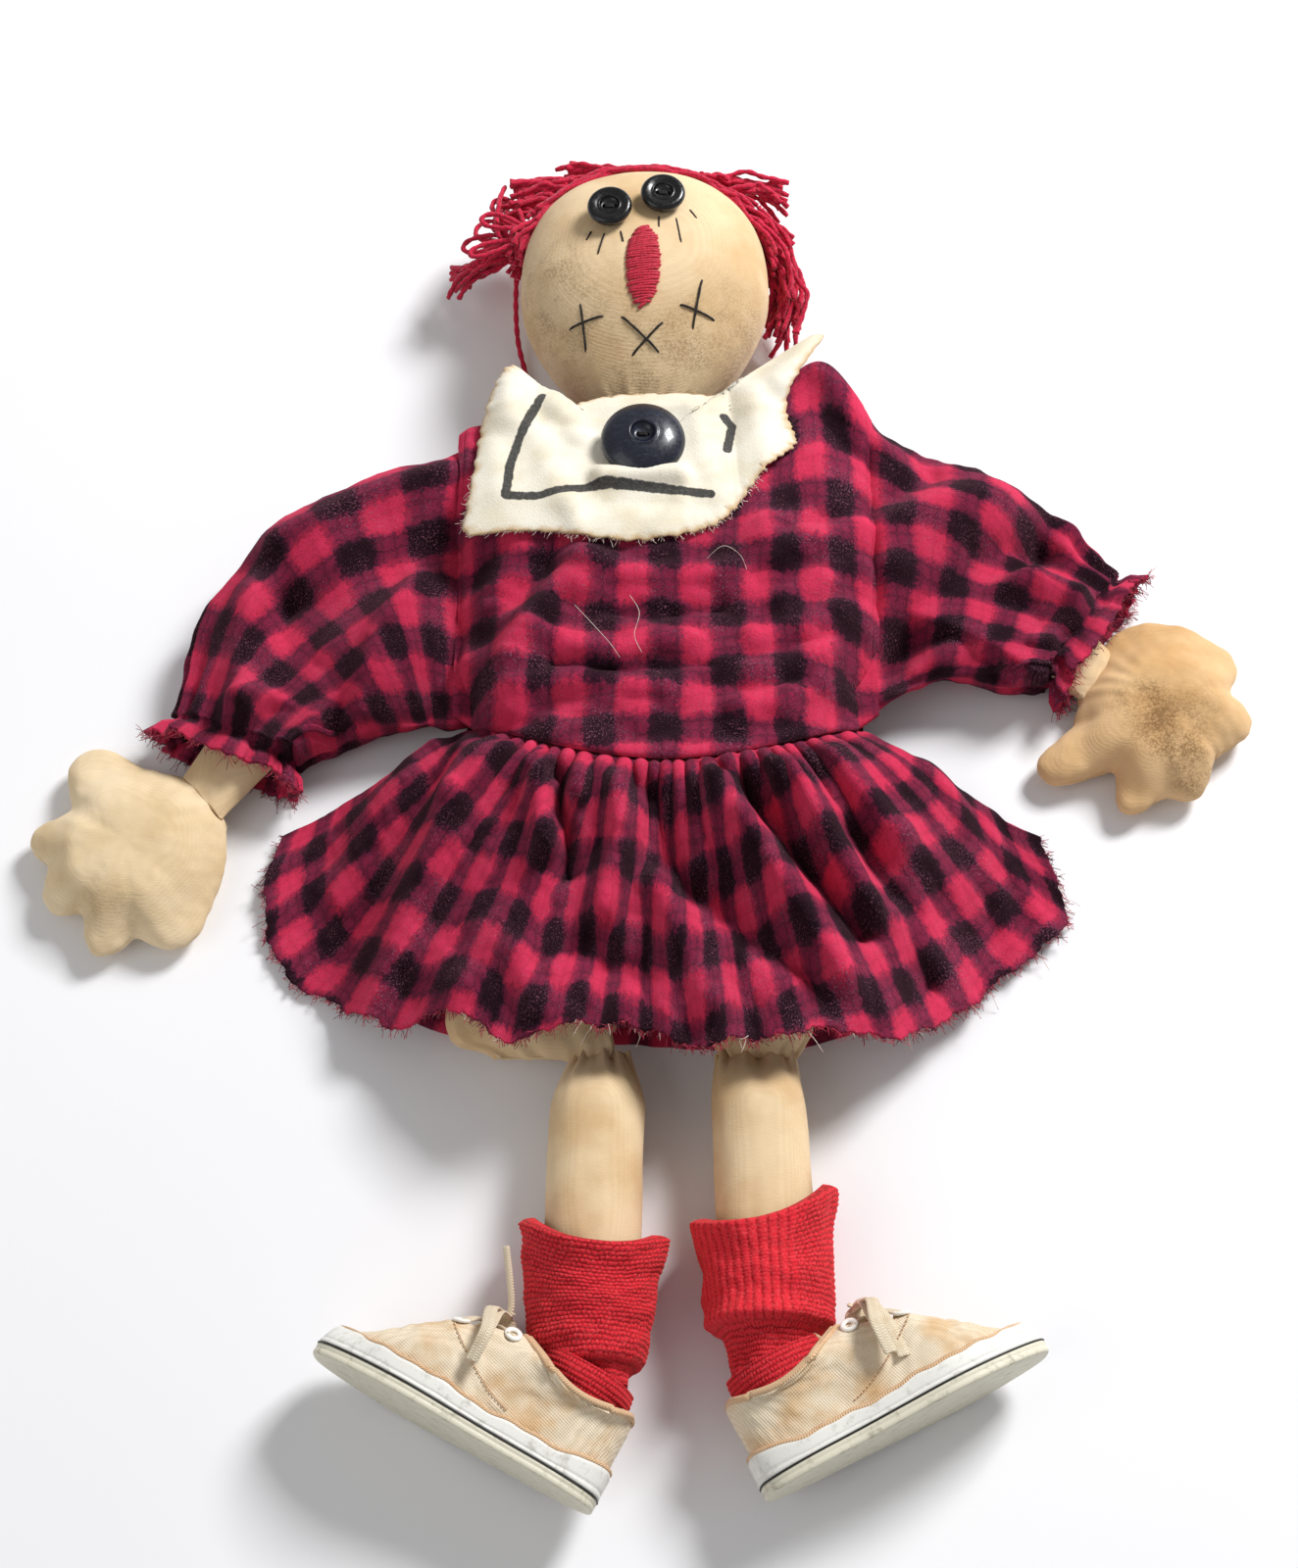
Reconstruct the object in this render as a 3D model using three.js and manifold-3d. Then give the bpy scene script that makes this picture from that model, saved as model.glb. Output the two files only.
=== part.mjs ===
// Rag doll lying on its back: a stuffed muslin body in a plaid flannel dress, with yarn hair, knitted socks
// and canvas shoes. Millimetres, +Z up. The head points to +Y and the soles to -Y. Left and right are the
// doll's own, so its right side is at -X. The origin is on the floor under the front of the waist.
import * as THREE from 'three';
import { mergeVertices } from 'three/addons/utils/BufferGeometryUtils.js';
import Module from 'manifold-3d';

const wasm = await Module();
wasm.setup();

// Clearances and cloth
const gap = 0.3;
const pressed = 0.5;
const overrun = 2;
const flannel = 2.4;
const felt = 2.2;
const thread = 1.5;
const crease = { gap: 0.8, edge: 0.6 };

// Body
const torso = {
  low: -30, length: 198, width: 132, height: 55, cornerPower: 2.3,
  widthShares: [0.86, 0.93, 0.98, 1, 1, 0.97, 0.86, 0.34],
  heightShares: [0.62, 0.93, 1, 1, 0.97, 0.8, 0.45], seamRun: 26,
};
const neck = { length: 10, width: 42, height: 25 };
const head = {
  x: -2, length: 134, width: 113, height: 77, widestShare: 0.45, seamShare: 0.42, cornerPower: 2.3,
  chinDrop: 4,
};

// Face, each place as [x, up from the neck seam]
const eyeButton = { width: 19.5, thick: 4.6, rim: 1.6, dish: 1.2, hole: 1.9, holeSpread: 4.2 };
const eyes = { right: [-17, 88], left: [6, 96] };
const nose = { place: [-2.6, 52], halfWidth: 7.2, halfLength: 19.5, puff: 1.6 };
const stitchWidth = 1.6;
const faceClearance = 0.5;
const mouthCross = [[-12.1, 30.2], [4.3, 10.8], [6, 27.5], [-7.3, 8.3]];
const cheekCrossRight = [[-30.2, 37], [-27.3, 7.7], [-34.8, 22.8], [-20.2, 30.2]];
const cheekCrossLeft = [[23.4, 48.2], [19.3, 23.9], [13.8, 35.9], [28.8, 28]];

// Hair, lying against the head's side seam
const hairCrown = { thick: 9, height: 40, fromDegrees: 28, toDegrees: 155 };
const hairBunchRight = { length: 46, thick: 17, height: 24, turn: 205, seamDegrees: 162 };
const hairBunchLeft = { length: 96, thick: 10, height: 22, seamDegrees: 24 };
const hairTie = { radius: 6.5, cord: 2.4, out: 6.6 };

// Dress
const bodice = {
  ease: 20, shift: 7, waist: -7, waistCurve: 32, shoulder: 166, shoulderDrop: 7, sideHeight: 6, armholeHeight: 37,
  rise: 4, cornerPower: 3, armholeFromShare: 0.2, neckHalfWidth: 44, neckDip: 22,
};
const skirt = {
  centre: [9, -26], sideAngle: 176, spread: 188, reach: 170, backReach: 146, crest: 53, crestWidth: 112,
  foldHeight: 4.5, folds: 9, edgeHeight: 3.4,
  reachShares: [0.98, 1.01, 0.93, 0.8, 0.66, 0.58, 0.56, 0.57, 0.6, 0.68, 0.8, 0.93, 0.99],
};
const sleeves = {
  right: {
    elbow: [-152, 84], cuff: [-176, 26], frillOut: 12, rootWidth: 134, cuffWidth: 46, rootCentre: 96,
    widthShares: [1, 0.92, 0.86, 0.76, 0.6, 0.44],
  },
  left: {
    elbow: [152, 104], cuff: [188, 80], frillOut: 11, rootWidth: 138, cuffWidth: 56, rootCentre: 104,
    widthShares: [1, 0.86, 0.74, 0.68, 0.58, 0.46],
  },
  height: 44, cuffHeight: 27, frillFlare: 4,
};
const elastic = { thick: 1.1 };

// Collar: a felt cape drawn as reach shares round its middle, and its dome button
const collar = {
  middle: [-4, 142], reach: 84, lift: 0.4, drapeShare: 0.25, easeShare: 0.84,
  reachShares: [
    0.63, 0.81, 0.81, 1.24, 0.5, 0.43, 0.4, 0.43, 0.6, 0.96, 0.92, 0.88, 0.9, 0.96, 0.83, 0.68, 0.6, 0.565, 0.535,
    0.525, 0.535, 0.535, 0.56, 0.6,
  ],
};
const collarButton = { place: [-2, 139], width: 35, thick: 9, dimple: 7, dimpleDeep: 2.4, hole: 2, holeSpread: 3.4 };

// Arms and hands
const arm = {
  root: 108, width: 42, height: 24, rootShare: 0.29, wristShare: 0.2,
  widthShares: [0.9, 1, 1, 0.95, 0.85, 0.72, 0.62], heightShares: [1, 1, 1, 0.9, 0.68, 0.58, 0.6],
};
const hands = {
  right: {
    centre: [-217, -26], palm: 35, wristAngle: 42, wristReach: 42.2,
    fingers: [[121, 20, 16], [174, 9, 15], [-140, 8, 16], [-102, 13, 16], [-66, 13, 17], [-15, 2, 24], [42, 8, 18]],
  },
  left: {
    centre: [221, 37], palm: 34, wristAngle: 143, wristReach: 35.5,
    fingers: [[-152, 24, 15], [-108, 12, 16], [-69, 7, 15], [-20, 5, 17], [31, 11, 16], [70, 13, 20], [104, 14, 20]],
  },
  height: 25,
};

// Legs
const legSeam = { width: 108, depth: 5, height: 0.8 };
const thighs = {
  right: { hip: -32, knee: -30, width: 66, lean: -12, widthShares: [0.3, 0.85, 1, 1, 1, 0.95, 0.64] },
  left: { hip: 36, knee: 43, width: 58, lean: 2, widthShares: [0.34, 0.85, 1, 1, 1, 0.95, 0.72] },
  low: -121, height: 41, centreHeight: 24, seamRun: 24, kneeRun: 36,
};
const shins = {
  right: { knee: -20, ankle: -23 },
  left: { knee: 43, ankle: 47 },
  width: 37, height: 37, low: -247, kneeRun: 36,
  widthShares: [0.9, 0.98, 1, 1, 0.98, 0.9, 0.68], heightShares: [1, 1, 1, 1, 0.95, 0.8, 0.3],
};
const sock = {
  wall: 2.6, cuffWall: 4.6,
  right: { cuffTop: -190, cuffLow: -238, low: -254.8 },
  left: { cuffTop: -180, cuffLow: -232, low: -251 },
};

// Shoes, in their own frame: along the sole from the heel, up from the sole, and across to the inner side
const shoe = {
  length: 121, width: 50, sole: 4.6, soleRound: 0.6, foxing: 9, foxingWall: 2.6, toeRise: 8, canvas: 1.9, insole: 3,
  widthShares: [0.8, 0.8, 0.76, 0.86, 1, 0.98, 0.86], heelInset: 4,
  collarLength: 46, throatLength: 34, collarWidth: 43, throatWidth: 17,
  heelHeight: 37, quarterDip: 7, frontHeight: 43, throatDrop: 12,
};
const shoePlaces = {
  right: { heel: [-21.5, -299.6], toeDegrees: 151.1 },
  left: { heel: [43.5, -295], toeDegrees: 26.8 },
};
const foot = {
  heel: 9, length: 100, width: 34, ankle: 28, height: 18, ankleWidth: 27, ankleHeight: 33.5,
  heightShares: [0.4, 1, 1, 0.95, 0.7, 0.3], widthShares: [0.35, 0.7, 0.72, 0.9, 0.85, 0.35],
  instepShares: [1, 0.9, 0.2],
};
const eyelet = { bore: 3, width: 7, thick: 1.2, front: 64.5, spacing: 15.5, climb: 1.3 };
const tongue = { thick: 2.6, clear: 1.2, tuck: 2, standing: 3, lean: 1.5 };
const lace = { width: 5, thick: 1.5, lift: 4, rise: 2.6, knot: 8, knotAhead: 14 };
const bow = { loop: 28, thick: 1.5, width: 5, rise: 1.2 };

// Facets
const sidesLimb = 14;
const sidesBody = 22;
const sidesCollar = 44;
const sidesHand = 48;
const sidesShoe = 24;

const muslin = new THREE.MeshStandardMaterial({ color: 0xd9b585, roughness: 0.9 });
const plaid = new THREE.MeshStandardMaterial({ color: 0xa8203c, roughness: 0.95 });
const cream = new THREE.MeshStandardMaterial({ color: 0xe9e1cf, roughness: 0.95 });
const blackGloss = new THREE.MeshStandardMaterial({ color: 0x101217, roughness: 0.2 });
const blackThread = new THREE.MeshStandardMaterial({ color: 0x151313, roughness: 0.8 });
const redYarn = new THREE.MeshStandardMaterial({ color: 0xb30f24, roughness: 0.9 });
const redKnit = new THREE.MeshStandardMaterial({ color: 0xc81f23, roughness: 0.95 });
const redFloss = new THREE.MeshStandardMaterial({ color: 0xc02034, roughness: 0.6 });
const canvas = new THREE.MeshStandardMaterial({ color: 0xe6d8b8, roughness: 0.9 });
const whiteRubber = new THREE.MeshStandardMaterial({ color: 0xe4e5e2, roughness: 0.6 });
const greenRubber = new THREE.MeshStandardMaterial({ color: 0xc3cdb8, roughness: 0.7 });
const whiteEnamel = new THREE.MeshStandardMaterial({ color: 0xf2f0ea, roughness: 0.35 });
const whiteElastic = new THREE.MeshStandardMaterial({ color: 0xe8e6e0, roughness: 0.8 });

const doll = new THREE.Group();

// Small sums
const mix = (a, b, t) => a + (b - a) * t;
const clamp = (value, low, high) => Math.min(Math.max(value, low), high);
const radians = (degrees) => THREE.MathUtils.degToRad(degrees);
const smooth = (t) => t * t * (3 - 2 * t);
const signedPower = (value, power) => Math.sign(value) * Math.abs(value) ** power;

// A smooth curve through evenly spaced shares, read at t from 0 to 1
function shareAt(shares, t) {
  const last = shares.length - 1;
  const place = clamp(t, 0, 1) * last;
  const i = Math.min(Math.floor(place), last - 1);
  const f = place - i;
  const [a, b, c, d] = [-1, 0, 1, 2].map((step) => shares[clamp(i + step, 0, last)]);
  return b + f * ((c - a) / 2 + f * (a - 2.5 * b + 2 * c - d / 2 + f * ((3 * (b - c) + d - a) / 2)));
}

// The same round a closed loop of shares, read at an angle in turns
function loopShareAt(shares, turns) {
  const count = shares.length;
  const place = (turns - Math.floor(turns)) * count;
  const i = Math.floor(place);
  const f = place - i;
  const [a, b, c, d] = [-1, 0, 1, 2].map((step) => shares[(i + step + count) % count]);
  return b + f * ((c - a) / 2 + f * (a - 2.5 * b + 2 * c - d / 2 + f * ((3 * (b - c) + d - a) / 2)));
}

function geometryFrom(points, faces) {
  let volume = 0;
  const [a, b, c] = [new THREE.Vector3(), new THREE.Vector3(), new THREE.Vector3()];
  for (const [i, j, k] of faces) {
    volume += a.fromArray(points[i]).dot(b.fromArray(points[j]).cross(c.fromArray(points[k])));
  }
  const outward = volume < 0 ? faces.map(([i, j, k]) => [i, k, j]) : faces;
  const geometry = new THREE.BufferGeometry();
  geometry.setAttribute('position', new THREE.Float32BufferAttribute(points.flat(), 3));
  geometry.setIndex(outward.flat());
  return geometry;
}

// A closed solid from rings of points, its first and last ring closed by a fan to their middle
function solidFromRings(rings) {
  const count = rings[0].length;
  const points = rings.flat();
  const faces = [];
  for (let k = 0; k + 1 < rings.length; k += 1) {
    for (let i = 0; i < count; i += 1) {
      const j = (i + 1) % count;
      const [p, q, r, s] = [k * count + i, k * count + j, (k + 1) * count + j, (k + 1) * count + i];
      faces.push([p, q, r], [p, r, s]);
    }
  }
  for (const [k, turned] of [[0, true], [rings.length - 1, false]]) {
    const middle = [0, 1, 2].map((axis) => rings[k].reduce((sum, p) => sum + p[axis], 0) / count);
    points.push(middle);
    for (let i = 0; i < count; i += 1) {
      const edge = [k * count + i, k * count + ((i + 1) % count)];
      faces.push(turned ? [points.length - 1, edge[1], edge[0]] : [points.length - 1, ...edge]);
    }
  }
  return geometryFrom(points, faces);
}

// A tube wall: rings that pass along the outside and come back along the inside
function wallFromRings(outer, inner) {
  const rings = [...outer, ...inner.slice().reverse()];
  const count = rings[0].length;
  const faces = [];
  for (let k = 0; k < rings.length; k += 1) {
    const next = (k + 1) % rings.length;
    for (let i = 0; i < count; i += 1) {
      const j = (i + 1) % count;
      const [p, q, r, s] = [k * count + i, k * count + j, next * count + j, next * count + i];
      faces.push([p, q, r], [p, r, s]);
    }
  }
  return geometryFrom(rings.flat(), faces);
}

// A sheet between two grids of points of the same size, closed along its four edges
function sheetFromGrids(top, bottom) {
  const rows = top.length;
  const count = top[0].length;
  const under = rows * count;
  const at = (r, c) => r * count + c;
  const faces = [];
  const quad = (p, q, r, s) => faces.push([p, q, r], [p, r, s]);
  for (let r = 0; r + 1 < rows; r += 1) {
    for (let c = 0; c + 1 < count; c += 1) {
      quad(at(r, c), at(r, c + 1), at(r + 1, c + 1), at(r + 1, c));
      quad(under + at(r, c), under + at(r + 1, c), under + at(r + 1, c + 1), under + at(r, c + 1));
    }
    quad(at(r, 0), at(r + 1, 0), under + at(r + 1, 0), under + at(r, 0));
    const end = count - 1;
    quad(at(r, end), under + at(r, end), under + at(r + 1, end), at(r + 1, end));
  }
  for (let c = 0; c + 1 < count; c += 1) {
    quad(at(0, c), under + at(0, c), under + at(0, c + 1), at(0, c + 1));
    const end = rows - 1;
    quad(at(end, c), at(end, c + 1), under + at(end, c + 1), under + at(end, c));
  }
  return geometryFrom([...top.flat(), ...bottom.flat()], faces);
}

// The points of an open grid moved square to its surface; away tells which side is out
function offsetGrid(grid, distance, away, looped = false) {
  const [a, b] = [new THREE.Vector3(), new THREE.Vector3()];
  const last = grid.length - 1;
  return grid.map((row, r) => row.map((point, c) => {
    const count = row.length;
    const before = looped ? (c + count - 1) % count : Math.max(c - 1, 0);
    const after = looped ? (c + 1) % count : Math.min(c + 1, count - 1);
    a.fromArray(row[after]).sub(b.fromArray(row[before]));
    const along = new THREE.Vector3().fromArray(grid[Math.min(r + 1, last)][c]);
    along.sub(b.fromArray(grid[Math.max(r - 1, 0)][c]));
    const normal = a.clone().cross(along).normalize();
    const outward = new THREE.Vector3(...away(point, r));
    const side = normal.dot(outward) < 0 ? -distance : distance;
    return point.map((value, axis) => value + normal.getComponent(axis) * side);
  }));
}

function asSolid(geometry) {
  const bare = geometry.clone();
  for (const name of ['normal', 'uv']) {
    bare.deleteAttribute(name);
  }
  const merged = mergeVertices(bare);
  const mesh = new wasm.Mesh({
    numProp: 3,
    vertProperties: new Float32Array(merged.attributes.position.array),
    triVerts: new Uint32Array(merged.index.array),
  });
  return new wasm.Manifold(mesh);
}

function asGeometry(solid) {
  const mesh = solid.getMesh();
  const geometry = new THREE.BufferGeometry();
  geometry.setAttribute('position', new THREE.Float32BufferAttribute(mesh.vertProperties, 3));
  geometry.setIndex([...mesh.triVerts]);
  return geometry;
}

function cut(body, ...tools) {
  return asGeometry(tools.reduce((rest, tool) => rest.subtract(asSolid(tool)), asSolid(body)));
}

function join(first, ...others) {
  return asGeometry(others.reduce((sum, body) => sum.add(asSolid(body)), asSolid(first)));
}

function add(name, geometry, material, parent = doll) {
  const mesh = new THREE.Mesh(geometry, material);
  mesh.name = name;
  parent.add(mesh);
  return mesh;
}

// A stuffed or bent form: rounded sections carried along a level line. at(t) gives the line's point
// [x, y, z] and the section's half width and half height; a floor presses the underside flat. Ends that meet
// a seam can be squared to a given direction across it.
function limbRings({
  at, sides = sidesLimb, steps = 10, cornerPower = 2.2, floor = -Infinity, grow = 0, squareStart, squareEnd,
}) {
  const step = 0.001;
  const rings = [];
  for (let k = 0; k <= steps; k += 1) {
    const t = (1 - Math.cos((Math.PI * k) / steps)) / 2;
    const [x, y, z, halfWidth, halfHeight] = at(t);
    const [x0, y0] = at(Math.max(t - step, 0));
    const [x1, y1] = at(Math.min(t + step, 1));
    const run = Math.hypot(x1 - x0, y1 - y0);
    const across = [(y1 - y0) / run, (x0 - x1) / run];
    for (const [square, away] of [[squareStart, t], [squareEnd, 1 - t]]) {
      if (square) {
        const hold = 1 - smooth(clamp(away / 0.35, 0, 1));
        across[0] = mix(across[0], square[0], hold);
        across[1] = mix(across[1], square[1], hold);
      }
    }
    const ring = [];
    for (let i = 0; i < sides; i += 1) {
      const angle = (2 * Math.PI * i) / sides;
      const out = (halfWidth + grow) * signedPower(Math.cos(angle), 2 / cornerPower);
      const up = (halfHeight + grow) * signedPower(Math.sin(angle), 2 / cornerPower);
      ring.push([x + across[0] * out, y + across[1] * out, Math.max(z + up, floor)]);
    }
    rings.push(ring);
  }
  return rings;
}

// A stuffed pillow form over a plan outline, which reach(angle) gives as a distance from the middle
function pillow({ middle, reach, low, high, sides, layers, floor, crownPower = 0.55 }) {
  const rings = [];
  for (let k = 0; k <= layers; k += 1) {
    const climb = -Math.PI / 2 + (Math.PI * (k + 0.5)) / (layers + 1);
    const spread = Math.cos(climb) ** crownPower;
    const z = Math.max(mix(low, high, (1 + Math.sin(climb)) / 2), floor);
    const ring = [];
    for (let i = 0; i < sides; i += 1) {
      const angle = (2 * Math.PI * i) / sides;
      const out = reach(angle) * spread;
      ring.push([middle[0] + Math.cos(angle) * out, middle[1] + Math.sin(angle) * out, z]);
    }
    rings.push(ring);
  }
  return solidFromRings(rings);
}

// How far a form has opened from the thin edge of a sewn crease, after a run from it
const openFrom = (distance, run) => Math.sin((Math.PI / 2) * clamp(distance / run, 0, 1));

// Torso: it widens from the bottom seam to the chest and draws in to the neck
const torsoTop = torso.low + torso.length;
const torsoCentre = flannel + gap + torso.height / 2;
const torsoAt = (t) => {
  const halfHeight = (torso.height / 2) * shareAt(torso.heightShares, t);
  return [
    0, mix(torso.low, torsoTop, t), torsoCentre,
    (torso.width / 2) * shareAt(torso.widthShares, t),
    mix(crease.edge / 2, halfHeight, openFrom(t * torso.length, torso.seamRun)),
  ];
};
const torsoForm = (grow) => solidFromRings(limbRings({
  at: torsoAt, sides: sidesBody, steps: 11, cornerPower: torso.cornerPower, grow,
}));
add('torso', torsoForm(0), muslin);

// Neck: a short stuffed tube between the two neck seams
const neckLow = torsoTop + crease.gap;
const headLow = neckLow + neck.length + gap;
const neckCentre = torsoCentre;
add('neck', solidFromRings(limbRings({
  at: (t) => [
    0, mix(neckLow, neckLow + neck.length, t), neckCentre, neck.width / 2, mix(crease.edge, neck.height, t) / 2,
  ],
  steps: 2,
})), muslin);

// Head: egg-shaped in plan, widest low at the cheeks, its underside pressed flat on the floor
function headShare(t) {
  const widest = head.widestShare;
  if (t < widest) {
    return 1 - (1 - head.seamShare) * ((widest - t) / widest) ** 2.2;
  }
  return Math.sqrt(1 - ((t - widest) / (1 - widest)) ** 2.2);
}
const headCentreAt = (t) => head.height / 2 - pressed - head.chinDrop * Math.max(1 - t / head.widestShare, 0) ** 2;
const headAt = (t) => {
  const share = headShare(Math.min(t, 0.9985));
  return [head.x, headLow + head.length * t, headCentreAt(t), (head.width / 2) * share, (head.height / 2) * share];
};
add('head', solidFromRings(limbRings({
  at: headAt, sides: sidesBody, steps: 15, cornerPower: head.cornerPower, floor: 0,
})), muslin);

// The height of the face over a place in plan
function faceHeight(x, y) {
  const [cx, , cz, halfWidth, halfHeight] = headAt(clamp((y - headLow) / head.length, 0, 1));
  const side = Math.min(Math.abs(x - cx) / halfWidth, 1) ** head.cornerPower;
  return cz + halfHeight * (1 - side) ** (1 / head.cornerPower);
}

function faceNormal(x, y) {
  const reach = stitchWidth;
  const dx = faceHeight(x + reach, y) - faceHeight(x - reach, y);
  const dy = faceHeight(x, y + reach) - faceHeight(x, y - reach);
  return new THREE.Vector3(-dx, -dy, 2 * reach).normalize();
}

// A stitch bar that follows the face from one place to another
function stitchBar(from, to, skin, width = stitchWidth) {
  const steps = 6;
  const run = Math.hypot(to[0] - from[0], to[1] - from[1]);
  const across = [(-(to[1] - from[1]) / run) * (width / 2), ((to[0] - from[0]) / run) * (width / 2)];
  const rings = [];
  for (let k = 0; k <= steps; k += 1) {
    const x = mix(from[0], to[0], k / steps);
    const y = mix(from[1], to[1], k / steps);
    const low = skin(x, y) + gap + faceClearance;
    const corners = [[1, 0], [1, thread], [-1, thread], [-1, 0]];
    rings.push(corners.map(([side, up]) => [x + across[0] * side, y + across[1] * side, low + up]));
  }
  return solidFromRings(rings);
}
const onFace = ([x, up]) => [x, headLow + up];

function crossStitch(name, [a, b, c, d]) {
  const bars = [[a, b], [c, d]].map(([from, to]) => stitchBar(onFace(from), onFace(to), faceHeight));
  add(name, join(...bars), blackThread);
}
crossStitch('mouth_cross', mouthCross);
crossStitch('cheek_cross_right', cheekCrossRight);
crossStitch('cheek_cross_left', cheekCrossLeft);

// Nose: an upright oval pad of satin stitches that follows the face
function facePad({ place, halfWidth, halfLength, puff }) {
  const sides = 20;
  const [x0, y0] = onFace(place);
  const ringAt = (share, up) => Array.from({ length: sides }, (_, i) => {
    const angle = (2 * Math.PI * i) / sides;
    const x = x0 + Math.cos(angle) * halfWidth * share;
    const y = y0 + Math.sin(angle) * halfLength * share;
    return [x, y, faceHeight(x, y) + gap + faceClearance + up];
  });
  const shares = [0.35, 0.7, 1];
  const under = shares.map((share) => ringAt(share, 0));
  const over = shares.slice().reverse().map((share) => ringAt(share, puff * (1.3 - 0.5 * share)));
  return solidFromRings([...under, ...over]);
}
add('nose_stitching', facePad(nose), redFloss);

// Buttons: a turned disc with a raised rim or a dome, pierced by its thread holes
function rod(radius, from, to, sides = 8) {
  const geometry = new THREE.CylinderGeometry(radius, radius, to - from, sides);
  geometry.rotateX(Math.PI / 2);
  geometry.translate(0, 0, (from + to) / 2);
  return geometry;
}

function turned(profile, sides) {
  const geometry = new THREE.LatheGeometry(profile.map(([r, z]) => new THREE.Vector2(r, z)), sides);
  geometry.rotateX(Math.PI / 2);
  return geometry;
}

const twoHoles = (hole, spread, thick) => [-1, 1].map((side) => (
  rod(hole / 2, -overrun, thick + overrun).translate((side * spread) / 2, 0, 0)
));

function rimButton({ width, thick, rim, dish, hole, holeSpread }) {
  const radius = width / 2;
  const profile = [
    [0, 0], [radius * 0.55, 0], [radius * 0.92, thick * 0.35], [radius, thick * 0.62], [radius - rim * 0.45, thick],
    [radius - rim, thick], [radius - 2 * rim, thick - dish], [0, thick - dish],
  ];
  return cut(turned(profile, 20), ...twoHoles(hole, holeSpread, thick));
}

// A thread staple: across the button's face and down through both holes
function threadStaple({ holeSpread, thick, dish, hole }) {
  const radius = hole / 2 - gap;
  const top = thick - dish + gap;
  const legs = [-1, 1].map((side) => rod(radius, 0, top + radius, 6).translate((side * holeSpread) / 2, 0, 0));
  const bar = rod(radius, -holeSpread / 2 - radius, holeSpread / 2 + radius, 6);
  bar.rotateY(Math.PI / 2);
  bar.translate(0, 0, top + radius);
  return join(bar, ...legs);
}

for (const [side, place] of Object.entries(eyes)) {
  const [x, y] = onFace(place);
  const normal = faceNormal(x, y);
  const seat = new THREE.Group();
  seat.position.set(x, y, faceHeight(x, y)).addScaledVector(normal, gap + faceClearance);
  seat.quaternion.setFromUnitVectors(new THREE.Vector3(0, 0, 1), normal);
  doll.add(seat);
  add(`eye_button_${side}`, rimButton(eyeButton), blackGloss, seat);
  add(`eye_thread_${side}`, threadStaple(eyeButton), blackThread, seat);
}

// Hair: a thick fringe of yarn along the head's top seam, a tied bunch and a hanging bunch
const headMiddle = headLow + head.length * head.widestShare;
function headSeam(degrees, out) {
  const up = Math.sin(radians(degrees));
  const t = head.widestShare + (1 - head.widestShare) * clamp(up, 0, 1);
  const [cx, y, , halfWidth] = headAt(t);
  const side = Math.cos(radians(degrees)) < 0 ? -1 : 1;
  const beyond = [side * (1 - up) * out, up * out];
  return [cx + side * halfWidth + beyond[0], y + beyond[1]];
}

function crownLine(t) {
  const angle = radians(mix(hairCrown.toDegrees, hairCrown.fromDegrees, t));
  const out = hairCrown.thick / 2 + gap;
  const reachX = head.width / 2 + out;
  const reachY = head.length * (1 - head.widestShare) + out;
  return [
    head.x + reachX * signedPower(Math.cos(angle), 0.92),
    headMiddle + reachY * signedPower(Math.sin(angle), 0.92),
    head.height / 2,
  ];
}
const headGrown = solidFromRings(limbRings({
  at: headAt, sides: sidesBody, steps: 16, cornerPower: head.cornerPower, grow: gap,
}));
const tapered = (t, low = 0.45) => low + (1 - low) * Math.sin(Math.PI * clamp(t, 0, 1)) ** 0.6;
add('hair_crown', cut(solidFromRings(limbRings({
  at: (t) => [...crownLine(t), (hairCrown.thick / 2) * tapered(t) + gap, (hairCrown.height / 2) * tapered(t)],
  sides: 10, steps: 15,
})), headGrown), redYarn);

const bunchRoot = headSeam(hairBunchRight.seamDegrees, hairTie.out);
const bunchWay = [Math.cos(radians(hairBunchRight.turn)), Math.sin(radians(hairBunchRight.turn))];
const bunchFrom = hairTie.cord / 2 + 2 * gap;
add('hair_bunch_right', cut(solidFromRings(limbRings({
  at: (t) => [
    bunchRoot[0] + bunchWay[0] * (bunchFrom + hairBunchRight.length * t),
    bunchRoot[1] + bunchWay[1] * (bunchFrom + hairBunchRight.length * t),
    mix(head.height / 2, hairBunchRight.height / 2, t),
    hairBunchRight.thick * shareAt([0.35, 0.75, 1, 0.85, 0.3], t),
    (hairBunchRight.height / 2) * shareAt([0.45, 0.85, 1, 0.85, 0.3], t),
  ],
  sides: 12, steps: 10,
})), headGrown), redYarn);

const hangRoot = headSeam(hairBunchLeft.seamDegrees, hairBunchLeft.thick + gap);
add('hair_bunch_left', cut(solidFromRings(limbRings({
  at: (t) => [
    hangRoot[0] + hairBunchLeft.thick * Math.sin(Math.PI * t * 0.7) - hairBunchLeft.thick * 0.2,
    hangRoot[1] + hairBunchLeft.length * (0.16 - t),
    mix(head.height / 2, hairBunchLeft.height / 2, smooth(t)),
    hairBunchLeft.thick * shareAt([0.3, 0.8, 1, 1, 0.8, 0.25], t),
    (hairBunchLeft.height / 2) * shareAt([0.4, 0.9, 1, 1, 0.8, 0.3], t),
  ],
  sides: 12, steps: 12,
})), headGrown, solidFromRings(limbRings({
  at: (t) => [...crownLine(t), (hairCrown.thick / 2) * tapered(t) + 3 * gap, (hairCrown.height / 2) * tapered(t) + gap],
  sides: 10, steps: 15,
}))), redYarn);

const tieRing = new THREE.TorusGeometry(hairTie.radius, hairTie.cord / 2, 5, 14);
tieRing.rotateY(Math.PI / 2);
tieRing.rotateZ(radians(hairBunchRight.turn));
tieRing.translate(bunchRoot[0] + bunchWay[0] * gap, bunchRoot[1] + bunchWay[1] * gap, head.height / 2);
add('hair_tie_right', cut(tieRing, headGrown), redYarn);

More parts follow.
